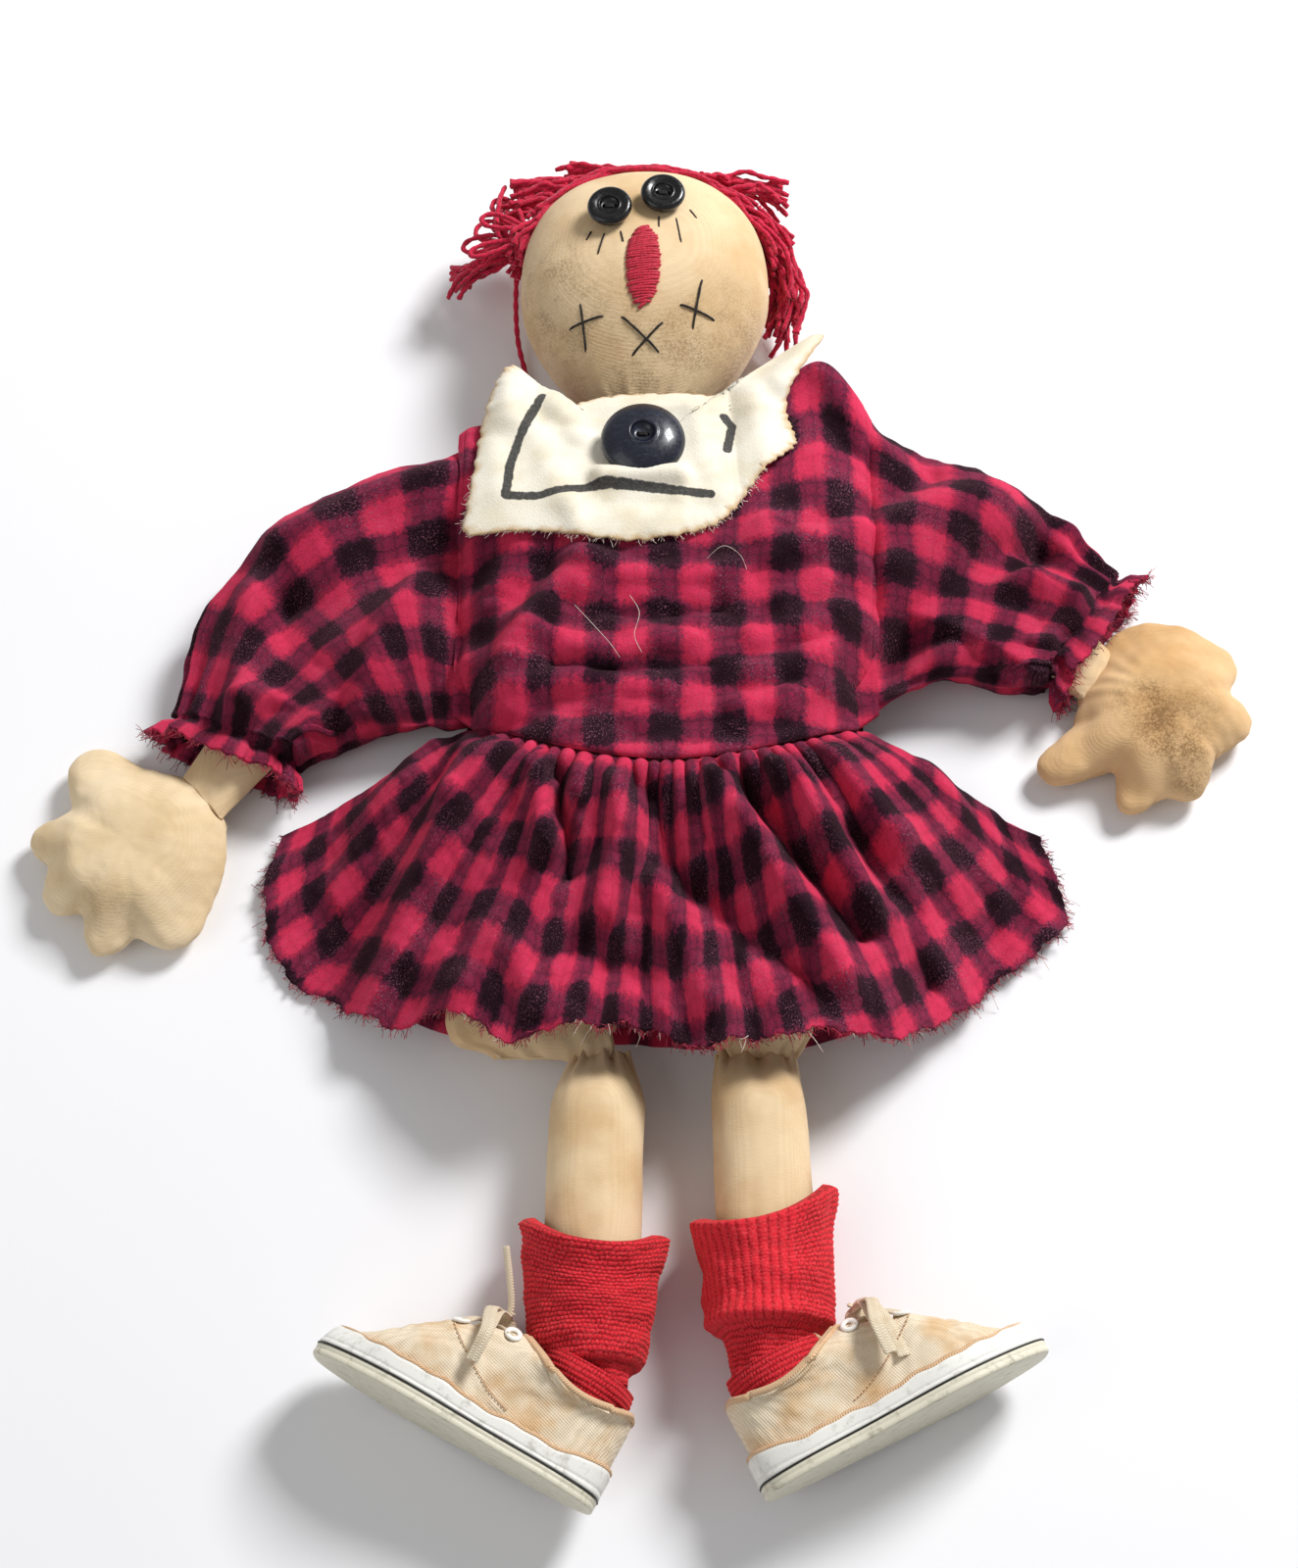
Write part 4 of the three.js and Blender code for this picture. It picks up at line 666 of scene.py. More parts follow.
TORSO_LOW, TORSO_LENGTH, TORSO_CENTRE = -30.0, 198.0, 30.2
TORSO_TOP = TORSO_LOW + TORSO_LENGTH
TORSO_HALF_WIDTH, TORSO_HALF_HEIGHT, BOTTOM_SEAM_RUN = 66.0, 27.5, 26.0
NECK_LENGTH, NECK_HALF_WIDTH, NECK_HEIGHT = 10.0, 21.0, 25.0
NECK_LOW = TORSO_TOP + 0.8
HEAD_LOW = NECK_LOW + NECK_LENGTH + GAP
TORSO_WIDTH_SHARES = [0.86, 0.93, 0.98, 1, 1, 0.97, 0.86, 0.34]
TORSO_HEIGHT_SHARES = [0.62, 0.93, 1, 1, 0.97, 0.8, 0.45]


def torso_at(t):
    high = TORSO_HALF_HEIGHT * share_at(TORSO_HEIGHT_SHARES, t)
    return (0, mix(TORSO_LOW, TORSO_TOP, t), TORSO_CENTRE,
            TORSO_HALF_WIDTH * share_at(TORSO_WIDTH_SHARES, t),
            mix(SEAM_HALF, high, opened(t * TORSO_LENGTH, BOTTOM_SEAM_RUN)))


torso_grid = limb(torso_at, 72, 56, 2.3)
torso_grid = swollen(torso_grid, pleats(torso_grid, [(0, 0.12), (1, 0.15)], 0.5, 13, 2) - 0.4
                     + 0.4 * ripples(torso_grid, 60, 3))
make_piece("torso_body", closed_part(torso_grid), MUSLIN, "torso", ["torso"])


def neck_at(t):
    height = mix(2 * SEAM_HALF, NECK_HEIGHT, t)
    return 0, mix(NECK_LOW, NECK_LOW + NECK_LENGTH, t), TORSO_CENTRE, NECK_HALF_WIDTH, height / 2


make_piece("neck_body", closed_part(limb(neck_at, 48, 10)), MUSLIN, "neck", ["neck"])

# Head: egg-shaped in plan, widest low at the cheeks

HEAD_X, HEAD_LENGTH, HEAD_WIDTH, HEAD_HEIGHT, WIDEST = -2.0, 124.5, 113.0, 77.0, 0.484
HEAD_CORNER = 2.3


def head_share(t):
    """1 less a power of the distance below the widest place, and a rounded end above it."""
    below = 1 - 0.58 * (np.maximum(WIDEST - t, 0) / WIDEST) ** 1.8
    above = np.maximum(1 - (np.maximum(t - WIDEST, 0) / (1 - WIDEST)) ** 2.5, 0) ** 0.48
    return np.where(t < WIDEST, below, above)


def head_at(t):
    share = head_share(np.minimum(t, 0.9985))
    centre = HEAD_HEIGHT / 2 - 0.5 - 4 * np.maximum(1 - t / WIDEST, 0) ** 2
    return HEAD_X, HEAD_LOW + HEAD_LENGTH * t, centre, HEAD_WIDTH / 2 * share, HEAD_HEIGHT / 2 * share


def face_height(x, y):
    """The height of the face over a place in plan."""
    cx, _, cz, wide, high = head_at(np.clip((y - HEAD_LOW) / HEAD_LENGTH, 0, 1))
    side = np.minimum(np.abs(x - cx) / wide, 1) ** HEAD_CORNER
    return cz + high * (1 - side) ** (1 / HEAD_CORNER)


def face_normal(x, y):
    """The direction square to the face, from the heights a step to each side of the place."""
    step = 1.6
    dx = face_height(x + step, y) - face_height(x - step, y)
    dy = face_height(x, y + step) - face_height(x, y - step)
    normal = np.array([-dx, -dy, 2 * step])
    return normal / np.linalg.norm(normal)


HEAD_SIDES = 128
head_grid = limb(head_at, HEAD_SIDES, 96, HEAD_CORNER, 0)
head_angle = TURN * np.arange(HEAD_SIDES)[None] / HEAD_SIDES
side_seam = bump_at(np.sin(head_angle), 0.03) * -0.7
head_grid = swollen(head_grid, pleats(head_grid, [(0, 0.1)], 0.7, 15, 4) + side_seam
                    + 0.25 * ripples(head_grid, 45, 5))
HEAD_MUSLIN = muslin_finish("head muslin", [
    (-40, 222, 62, 44, 0.6), (6, 196, 62, 36, 0.55), (42, 205, 60, 38, 0.5), (-20, 190, 50, 34, 0.4),
    (-50, 250, 55, 30, 0.3),
])
make_piece("head_body", closed_part(kept_up(head_grid)), HEAD_MUSLIN, "head", ["head"])

# Face stitches


def on_face(place):
    """A place of the face, given across from the middle and up from the chin's seam."""
    return np.array([place[0], HEAD_LOW + place[1]], float)


def face_path(start, end, lift=0.5, steps=14, sink=0.9):
    """A stitch from one place of the face to another: it lies on the face and dips in at both ends."""
    t = np.linspace(0, 1, steps)
    x = mix(start[0], end[0], t)
    y = mix(start[1], end[1], t)
    dip = sink * (bump_at(t, 0.07) + bump_at(1 - t, 0.07))
    return stacked(x, y, face_height(x, y) + lift - dip)


def stitches(name, pairs, radius, finish, node_name=None, lift=0.5):
    paths = [face_path(on_face(a), on_face(b), lift) for a, b in pairs]
    nodes = [node_name] if node_name else []
    return make_piece(name, strand_part(paths, radius, 8, 2, 1.4), finish, "head", nodes)


CROSS_THREAD, LASH_THREAD, SEWING_THREAD = 0.52, 0.38, 0.36
for label, places in (
    ("mouth_cross", [[-12.1, 29], [4.3, 15.2], [6, 26.6], [-7.3, 14]]),
    ("cheek_cross_right", [[-30.4, 36.6], [-27.8, 17.4], [-35.4, 27.6], [-20.2, 29.8]]),
    ("cheek_cross_left", [[23.4, 46.2], [19.3, 25.2], [13.8, 34.2], [28.8, 30.4]]),
):
    stitches(label + "_stitches", [places[:2], places[2:]], CROSS_THREAD, BLACK_THREAD, label)

LASHES = [
    [[-27.8, 66.4], [-25.6, 71]], [[-22.7, 57.7], [-19.7, 69.4]], [[-11.4, 63.4], [-12.7, 69.8]],
    [[4.4, 78.2], [4.4, 71.4]], [[11.9, 78.4], [14.4, 62.8]], [[18.1, 83.6], [21.5, 78.2]],
]
stitches("lash_stitches", LASHES, LASH_THREAD, BLACK_THREAD, lift=0.25)

# Nose: satin stitches side by side over an upright oval

NOSE_MIDDLE, NOSE_HALF_WIDTH, NOSE_HALF_LENGTH, NOSE_STITCHES = (-2.6, 52.0), 7.2, 19.3, 34


def nose_threads():
    """Each stitch crosses the oval at its own height: its half length is the oval's there, and it arches over
    a pad and slants a little."""
    rng = np.random.default_rng(11)
    count = NOSE_STITCHES
    share = np.linspace(-0.97, 0.97, count)
    half = NOSE_HALF_WIDTH * np.sqrt(1 - np.abs(share) ** 2.4) + rng.uniform(-0.3, 0.5, count)
    t = np.linspace(-1, 1, 15)
    x = NOSE_MIDDLE[0] + half[:, None] * t + rng.uniform(-0.2, 0.2, count)[:, None]
    y = HEAD_LOW + NOSE_MIDDLE[1] + NOSE_HALF_LENGTH * share[:, None]
    y = y + rng.uniform(0.2, 1.5, count)[:, None] * t
    arch = 1.3 * np.sqrt(np.maximum(1 - np.abs(t) ** 2.5, 0)) * (1 - 0.45 * np.abs(share[:, None]) ** 3)
    z = face_height(x, y) + 0.25 + arch
    return stacked(x, y, z), rng.uniform(0.62, 0.78, count)[:, None]


nose_paths, nose_radius = nose_threads()
make_piece("nose_satin", strand_part(nose_paths, nose_radius, 7, 2, 1.1), FLOSS, "head", ["nose_stitching"])

# Buttons


def turned(profile, sides=72):
    """A profile of radius and height turned round the upright line through the middle."""
    profile = np.array(profile, float)
    angle = TURN * np.arange(sides) / sides
    ring = stacked(np.cos(angle), np.sin(angle))
    return stacked(profile[:, :1] * ring[:, 0], profile[:, :1] * ring[:, 1],
                   np.broadcast_to(profile[:, 1:], (len(profile), sides)))


def eased_profile(corners, steps=6):
    """The profile through given corners as a smooth curve, with steps places between two of them."""
    corners = np.array(corners, float)
    t = np.linspace(0, 1, (len(corners) - 1) * steps + 1)
    return np.stack([np.maximum(share_at(corners[:, k], t), 0.001 if k == 0 else -9) for k in (0, 1)], -1)


def tilted(points, place, normal):
    """Points turned so that their up is the normal, and moved to a place."""
    up = np.array(normal, float)
    along = np.cross([0.0, 1.0, 0.0], up)
    along /= np.linalg.norm(along)
    across = np.cross(up, along)
    return points @ np.stack([along, across, up]) + np.array(place)


def hole_rings(points, spread, radius, depth):
    """Two thread holes pressed into a button's face: a place is lowered by depth inside a hole's radius."""
    drop = np.zeros(points.shape[:-1])
    for side in (-1, 1):
        away = np.hypot(points[..., 0] - side * spread / 2, points[..., 1])
        drop += depth * (1 - smooth((away - radius * 0.75) / (radius * 0.4)))
    return drop


# Radius and height, from the button's back round its rim to its middle
EYE_PROFILE = eased_profile([
    [0.05, -1.2], [5.0, -1.2], [7.6, -0.4], [9.2, 1.2], [9.9, 3.0], [9.85, 4.0], [9.1, 5.0], [7.9, 5.4],
    [6.6, 5.2], [5.3, 4.8], [4.95, 5.05], [4.5, 5.05], [4.1, 4.3], [3.4, 3.6], [2.2, 3.3], [1.1, 3.2],
    [0.05, 3.2],
])
EYES = {"right": (-17.0, 80.0), "left": (6.0, 87.5)}
for side, place in EYES.items():
    x, y = on_face(place)
    normal = face_normal(x, y) * 0.6 + np.array([0, -0.12, 0.5])
    normal /= np.linalg.norm(normal)
    seat = np.array([x, y, face_height(x, y)]) + face_normal(x, y) * 2.2
    grid = turned(EYE_PROFILE)
    grid[:, :, 2] -= hole_rings(grid, 4.2, 1.0, 1.6) * (grid[:, :, 2] > 2)
    make_piece(f"eye_{side}", closed_part(tilted(grid, seat, normal)), EYE_GLOSS, "head",
               [f"eye_button_{side}"])
    t = np.linspace(-1, 1, 15)
    wraps = []
    for shift in (-0.45, 0.1, 0.55):
        wraps.append(stacked(2.2 * t, 0 * t + shift, 3.5 - 1.9 * np.abs(t) ** 6 + 0.1 * shift))
    thread = strand_part(tilted(np.array(wraps), seat, normal), SEWING_THREAD, 7, 2, 1.6)
    make_piece(f"eye_sewing_{side}", thread, BLACK_THREAD, "head", [f"eye_thread_{side}"])

# Dress. The bodice's cloth rises from its side edges to the chest.

BODICE_HALF, BODICE_SHIFT, BODICE_TOP, WAIST, SHOULDER, FLANNEL = 86.0, 7.0, 62.0, -7.0, 166.0, 2.4
NECKLINE_HALF, NECKLINE, NECKLINE_DROP, LOWEST_CHEST = 44.0, 168.3, 22.0, 33.0
DRESS_FOLD_DEPTH, SKIRT_FOLD_DEPTH = 1.3, 1.25


def waist_y(side):
    return WAIST + 32 * np.minimum(np.abs(side), 1.06) ** 2


def shoulder_y(side):
    return SHOULDER - 7 * np.abs(side) ** 2


def bodice_height(side, t, edge_high=37.0, power=3.0):
    """From the side edge's height to the chest's, by a dome over the width."""
    edge = mix(6.0, edge_high, smooth(t / 0.2))
    dome = (1 - np.minimum(np.abs(side), 1) ** power) ** (1 / power)
    crown = mix(1, 0.86, smooth((t - 0.7) / 0.3))
    return edge + (BODICE_TOP * crown - edge) * dome


def chest_height(x, y):
    """The cloth's height under the collar."""
    t = np.clip((y - WAIST) / (SHOULDER - WAIST), 0, 1)
    side = np.clip(0.84 * (x - BODICE_SHIFT) / BODICE_HALF, -1, 1)
    return bodice_height(side, t) + FLANNEL + 0.4 - np.maximum(y - SHOULDER, 0) * 0.25


# Folds of the dress, each a width, a height and the places in plan that its line passes through. Bodice and
# sleeves share them, so that a fold runs on across an armhole.
DRESS_FOLDS = [
    (11, 7, [(-70, 146), (-123, 128), (-159, 108)]),
    (9, 7, [(-170, 84), (-176, 51), (-170, 30)]),
    (12, -9, [(-84, 106), (-121, 88), (-146, 73)]),
    (11, -10, [(-74, 84), (-85, 48), (-100, 24)]),
    (6, 6, [(-98, 90), (-113, 58), (-124, 32)]),
    (6, -6, [(-156, 81), (-148, 51), (-138, 30)]),
    (5, 5, [(-178, 34), (-159, 36), (-142, 30)]),
    (9, 8, [(-26, 82), (-49, 58), (-59, 36), (-62, 22)]),
    (8, -6, [(-43, 86), (-66, 56), (-76, 34)]),
    (5, 3.5, [(-29, 84), (3, 78), (34, 81)]),
    (4.5, 3.5, [(-49, 50), (-17, 43), (17, 48)]),
    (4, 3, [(-54, 27), (-25, 29), (6, 24)]),
    (5, -3.5, [(-36, 66), (-2, 60), (30, 64)]),
    (4, -3, [(-40, 38), (-10, 34), (24, 38)]),
    (15, 9, [(58, 94), (106, 112), (152, 126)]),
    (9, -14, [(171, 114), (150, 99), (129, 81), (106, 60), (88, 40)]),
    (13, -8, [(151, 72), (130, 62), (115, 50)]),
    (6, -5, [(124, 140), (100, 120), (83, 107), (59, 99)]),
    (7, 7, [(135, 86), (163, 95), (185, 88)]),
    (6, 6, [(155, 62), (172, 68), (186, 78)]),
    (9, 6, [(68, 172), (88, 154), (104, 146)]),
    (6, 4, [(56, 68), (78, 80), (104, 90)]),
    (6, 4, [(45, 48), (64, 54), (80, 62)]),
    (5, 4, [(42, 32), (60, 36), (76, 46)]),
    (5, 3.5, [(36, 16), (54, 20), (70, 30)]),
]


def folds_at(x, y, folds):
    """For each fold, its height times a rounded bump of the distance from its line in plan."""
    total = np.zeros(np.shape(x))
    for width, height, places in folds:
        nearest = np.full(np.shape(x), 999.0)
        for (x0, y0), (x1, y1) in zip(places[:-1], places[1:]):
            run = (x1 - x0) ** 2 + (y1 - y0) ** 2
            t = np.clip(((x - x0) * (x1 - x0) + (y - y0) * (y1 - y0)) / run, 0, 1)
            nearest = np.minimum(nearest, np.hypot(x - mix(x0, x1, t), y - mix(y0, y1, t)))
        total = total + height * bump_at(nearest, width)
    return total


def shoulder_lift(x, y):
    """How far the cloth is pushed up toward the head at the doll's left shoulder."""
    return 27 * bump_at(x - 74, 21) * smooth((y - 100) / 70)


rows, count = 96, 230
bodice_rows = 84
side = (1.045 * np.sin(np.pi / 2 * np.linspace(-1, 1, count)))[None]
across = np.abs(BODICE_HALF * side)
neckline = NECKLINE - NECKLINE_DROP * np.sqrt(np.maximum(1 - (across / NECKLINE_HALF) ** 2, 0))
top_y = np.where(across < NECKLINE_HALF, np.minimum(shoulder_y(side), neckline), shoulder_y(side))
t = np.linspace(0, 1, bodice_rows)[:, None]
bodice_y = mix(waist_y(side), top_y, t)
bodice_x = np.broadcast_to(BODICE_SHIFT + BODICE_HALF * side, bodice_y.shape)
cad_t = (bodice_y - waist_y(side)) / (shoulder_y(side) - waist_y(side))
bodice_z = bodice_height(side, cad_t, 46.5, 2.4) - 3.0 * smooth((np.abs(side) - 1.0) / 0.045)
under_collar = smooth((np.hypot((bodice_x + 4) / 80, (bodice_y - 146) / 50) - 0.8) / 0.25)
folds = folds_at(bodice_x, bodice_y, DRESS_FOLDS)
folds = folds + 1.5 * ripples(stacked(bodice_x, bodice_y, 0 * bodice_x), 30, 21, 3, (1, 1.4, 0))
bodice_z = bodice_z + DRESS_FOLD_DEPTH * folds * under_collar * smooth(t / 0.05)
bodice_z = np.maximum(bodice_z, LOWEST_CHEST)
# Beyond the neck the cloth turns over the shoulder and drops to the back
turn_over = np.pi / 2 * smooth((across - NECKLINE_HALF + 4) / 7) * np.linspace(0, 1,
                                                                               rows - bodice_rows
                                                                               + 1)[1:, None]
over_y = bodice_y[-1:] + 5 * np.sin(turn_over)
over_z = 2 + (bodice_z[-1:] - 2) * np.cos(turn_over)
bodice_x = np.concatenate([bodice_x, np.broadcast_to(bodice_x[-1:], over_y.shape)])
bodice_y = np.concatenate([bodice_y, over_y])
bodice_z = np.concatenate([bodice_z, over_z])
dropped = np.concatenate([0 * bodice_z[:bodice_rows], bodice_z[bodice_rows - 1] - over_z])
flat_places = stacked(bodice_x + 8 * side * np.abs(side), bodice_y + dropped)
lifted_y = bodice_y + shoulder_lift(bodice_x, bodice_y)
bodice_in = stacked(bodice_x, lifted_y, bodice_z)
normals = grid_normals(bodice_in, False)
normals = normals * np.sign(normals[bodice_rows // 2, count // 2, 2])
waist_seam = 1.2 * bump_at(np.arange(rows)[:, None] / bodice_rows - 0.015, 0.018)
bodice_out = bodice_in + normals * (FLANNEL * 0.85 + waist_seam)[..., None]
bodice_out[0, :, 1] = bodice_in[0, :, 1]
front = make_piece("bodice_front_panel", sheet_part(bodice_out, bodice_in, flat_places), PLAID, "torso",
                   ["bodice_front"])

back_side = np.linspace(-1, 1, 80)[None]
back_y = mix(waist_y(back_side), shoulder_y(back_side), np.linspace(0, 1, 24)[:, None])
back_x = np.broadcast_to(BODICE_SHIFT + BODICE_HALF * back_side, back_y.shape)
back_y = back_y + shoulder_lift(back_x, back_y)
back_z = 0.5 + 0.5 * ripples(stacked(back_x, back_y, 0 * back_x), 30, 8)
back_low = stacked(back_x, back_y, np.maximum(back_z, 0))
back = make_piece("bodice_back_panel", sheet_part(back_low + [0, 0, 1.7], back_low, back_low[..., :2]), PLAID,
                  "torso", ["bodice_back"])

# Skirt: panels gathered at the waist seam that fan out to the hem

SKIRT_MIDDLE, SKIRT_REACH, SKIRT_BACK_REACH = (9.0, -26.0), 168.0, 145.0
CREST, CREST_HALF, HEM_LENGTH, PANEL_LENGTH = 53.0, 112.0, 620.0, 125.0
REACH_SHARES = [0.98, 1.01, 0.93, 0.8, 0.66, 0.58, 0.57, 0.6, 0.67, 0.75, 0.83, 1.0, 0.93]
SKIRT_FOLDS = [
    (5, 7, [(-69, 21), (-84, -19)]),
    (8, 13, [(-51, 17), (-79, -19), (-104, -73), (-114, -106)]),
    (9, -7, [(-86, -7), (-110, -42), (-128, -78)]),
    (5, 8, [(-35, 13), (-46, -9), (-41, -44)]),
    (4.5, -8, [(-38, 3), (-36, -24), (-32, -54)]),
    (5, 7, [(-19, 3), (-29, -22)]),
    (5.5, 9, [(-14, -12), (-11, -42), (-18, -71)]),
    (8, -8, [(-1, -17), (13, -59), (41, -78)]),
    (7, 12, [(20, 3), (31, -29), (53, -59), (76, -96)]),
    (7, 9, [(4, -61), (13, -82), (23, -110)]),
    (6, -9, [(31, -9), (57, -42), (85, -75)]),
    (6, 10, [(43, 3), (71, -34), (90, -66)]),
    (6, 9, [(72, 6), (85, -14), (101, -34)]),
    (7, -8, [(82, -34), (101, -59), (113, -87)]),
    (7, 8, [(105, -32), (122, -46)]),
    (7, 8, [(101, -66), (120, -85)]),
    (6, 8, [(118, 6), (137, -22), (151, -75)]),
    (5, 6, [(142, -9), (156, -39), (166, -62)]),
    (5, -7, [(140, -42), (149, -78)]),
    (7, 8, [(-92, 13), (-116, -17), (-130, -46)]),
    (6, 5, [(-136, -34), (-149, -49)]),
    (8, -5, [(-27, -87), (-9, -96)]),
    (7, 6, [(-53, -87), (-44, -110)]),
    (9, 6, [(-95, -78), (-75, -96)]),
    (6, -5, [(48, -87), (67, -96)]),
]


def skirt_plan(side, t, reach):
    """Lines from the waist seam to the hem, which reach shares of a distance from the skirt's middle."""
    x0 = BODICE_SHIFT + BODICE_HALF * side
    y0 = waist_y(side) - 0.6
    turn = np.radians(176 + 94 * (side + 1))
    hem = reach * share_at(REACH_SHARES, (side + 1) / 2)
    return mix(x0, SKIRT_MIDDLE[0] + hem * np.cos(turn), t), mix(y0, SKIRT_MIDDLE[1] + hem * np.sin(turn), t)


rows, count = 120, 408
side = np.linspace(-1, 1, count)[None]
t = np.linspace(0, 1, rows)[:, None]
hem_wave = 1 + 0.03 * np.sin(side * 13 + 0.6) + 0.012 * np.sin(side * 31) + 0.007 * np.sin(side * 67 + 1)
hem_wave = hem_wave + 0.004 * np.sin(side * 171) + 0.003 * np.sin(side * 407)
hem_wave = hem_wave - 0.11 * bump_at(side + 0.475, 0.09)
skirt_x, skirt_y = skirt_plan(side, t * hem_wave, SKIRT_REACH)
crest = CREST * np.exp(-(np.abs((skirt_x - BODICE_SHIFT) / CREST_HALF) ** 4))
waist_z = bodice_height(side, 0 * side, 37.0, 2.4)
skirt_z = mix(waist_z, np.maximum(crest, 3.4), smooth(t * 1.2))
spread = 0.35 + 0.65 * crest / CREST
begin = smooth((t - 0.01) / 0.12)
gathers = 1.9 * np.cos(side * 88 + 2.4 * np.sin(side * 11)) * np.exp(-((t / 0.22) ** 1.6)) * smooth(t / 0.03)
flutes = 2.2 * np.cos(side * 41 + 1.7 * np.sin(side * 7)) * smooth((t - 0.3) / 0.7)
puff = 3.0 * bump_at(t - 0.2, 0.16)
plan_folds = folds_at(skirt_x, skirt_y, SKIRT_FOLDS) * begin
skirt_z = skirt_z + (SKIRT_FOLD_DEPTH * plan_folds + 1.3 * gathers + flutes + puff) * spread
skirt_z = skirt_z + 1.3 * ripples(stacked(skirt_x, skirt_y, 0 * skirt_x), 24, 9)
hem_low = 1.4 + 2.0 * (1 + np.cos(side * 23 + 2)) * smooth((t - 0.75) / 0.25)
skirt_z = hem_low + np.logaddexp(0, (skirt_z - hem_low) / 2.5) * 2.5 - 2.5 * np.log(2) * 0.6
skirt_z = np.maximum(skirt_z, 1.2)
skirt_in = stacked(skirt_x, skirt_y, skirt_z)
skirt_normals = grid_normals(skirt_in, False)
skirt_normals = skirt_normals * np.sign(skirt_normals[rows // 2, count // 2, 2])
skirt_out = skirt_in + skirt_normals * (1.9 * np.clip(1.05 - t**6 * 0.45, 0.4, 1))[..., None]
down = 20 + t * PANEL_LENGTH * (0.75 + 0.25 * np.abs(side))
skirt_places = stacked(side * HEM_LENGTH / 2, down)
SKIRT_BEND = ("torso", "hips", (0, -8, 30), (0, -92, 30))
skirt = make_piece("skirt_front_panel", sheet_part(skirt_out, skirt_in, skirt_places), PLAID, None,
                   ["skirt_front"], blend=SKIRT_BEND)

back_side = np.linspace(-1, 1, 120)[None]
back_t = np.linspace(0, 1, 24)[:, None]
back_x, back_y = skirt_plan(back_side, back_t, SKIRT_BACK_REACH)
back_low = stacked(back_x, back_y, 0.6 + 0.6 * np.cos(back_side * 60) * smooth(back_t * 2))
back_low[..., 2] = np.maximum(back_low[..., 2], 0)
back_places = stacked(back_side * 220, 20 + back_t * 110)
skirt_back = make_piece("skirt_back_panel", sheet_part(back_low + [0, 0, 1.3], back_low, back_places), PLAID,
                        None,
                        ["skirt_back"], blend=SKIRT_BEND)

# Loose threads of the raw hem


def hem_threads(edge, ways, count, seed, longest=7.0):
    """Short threads from places along an edge: each leaves outwards, sags and curls a little."""
    rng = np.random.default_rng(seed)
    pick = rng.integers(0, len(edge), count)
    start = edge[pick] + rng.uniform(-0.6, 0.6, (count, 3))
    way = ways[pick] + rng.normal(0, 0.55, (count, 3))
    way /= np.linalg.norm(way, axis=1)[:, None]
    length = longest * rng.uniform(0.25, 1, count) ** 1.8
    t = np.linspace(0, 1, 6)[None, :, None]
    curl = rng.normal(0, 0.25, (count, 1, 3)) * t**2
    paths = start[:, None] + (way[:, None] * t + curl) * length[:, None, None]
    paths[..., 2] = np.maximum(paths[..., 2] - 0.15 * (t[..., 0] ** 2) * length[:, None], 0.25)
    return paths


RAW_THREAD_RADIUS, PALE_THREAD_RADIUS = 0.15, 0.14
RAW_THREAD = thread_finish("raw red thread", "c23350", "4a1226", 300.0)
PALE_THREAD = thread_finish("raw pale thread", "efe2d6", "c9a79a", 300.0)
edge = (skirt_in[-1] + skirt_out[-1]) / 2
ways = skirt_in[-1] - skirt_in[-3]
ways /= np.linalg.norm(ways, axis=1)[:, None]
fringe = make_piece("skirt_hem_threads", strand_part(hem_threads(edge, ways, 1500, 41, 4.0),
                                                     RAW_THREAD_RADIUS, 3), RAW_THREAD,
                    None, blend=SKIRT_BEND)
pale = make_piece("skirt_pale_threads", strand_part(hem_threads(edge, ways, 60, 43, 8.5), PALE_THREAD_RADIUS,
                                                    3), PALE_THREAD,
                  None, blend=SKIRT_BEND)

# A few pale stray hairs on the bodice
STRAY_HAIRS = [
    [(-31, 62, 68), (-24, 52, 71), (-16, 43, 69), (-12, 38, 66)],
    [(-8, 66, 69), (-4, 56, 72), (-6, 46, 71), (-3, 40, 67)],
    [(24, 84, 68), (31, 88, 72), (38, 85, 70), (41, 80, 66)],
]
stray_paths = [curve_through(places, 24) for places in STRAY_HAIRS]
make_piece("stray_hairs", strand_part(stray_paths, 0.11, 4), PALE_THREAD, "torso")

# Sleeves: wide at the armhole, drawn in at the cuff, with a raw frill beyond it

SLEEVES = {
    "right": dict(elbow=(-152, 84), cuff=(-176, 26), frill=12, root_width=134, cuff_width=46, root_y=96,
                  shares=[1, 0.92, 0.86, 0.76, 0.6, 0.44]),
    "left": dict(elbow=(152, 104), cuff=(188, 80), frill=11, root_width=138, cuff_width=56, root_y=104,
                 shares=[1, 0.86, 0.74, 0.68, 0.58, 0.46]),
}
SLEEVE_ROWS, SLEEVE_SIDES, CUFF_HEIGHT, SLEEVE_WALL = 90, 180, 27.0, 1.6


def sleeve_line(side, sleeve, t):
    """A bent line from the armhole's middle past the elbow to the cuff (a curve of three points)."""
    root = (BODICE_SHIFT + side * (BODICE_HALF - 4.0), sleeve["root_y"])
    a, b, c = (1 - t) ** 2, 2 * t * (1 - t), t**2
    return [a * root[k] + b * sleeve["elbow"][k] + c * sleeve["cuff"][k] for k in (0, 1)]


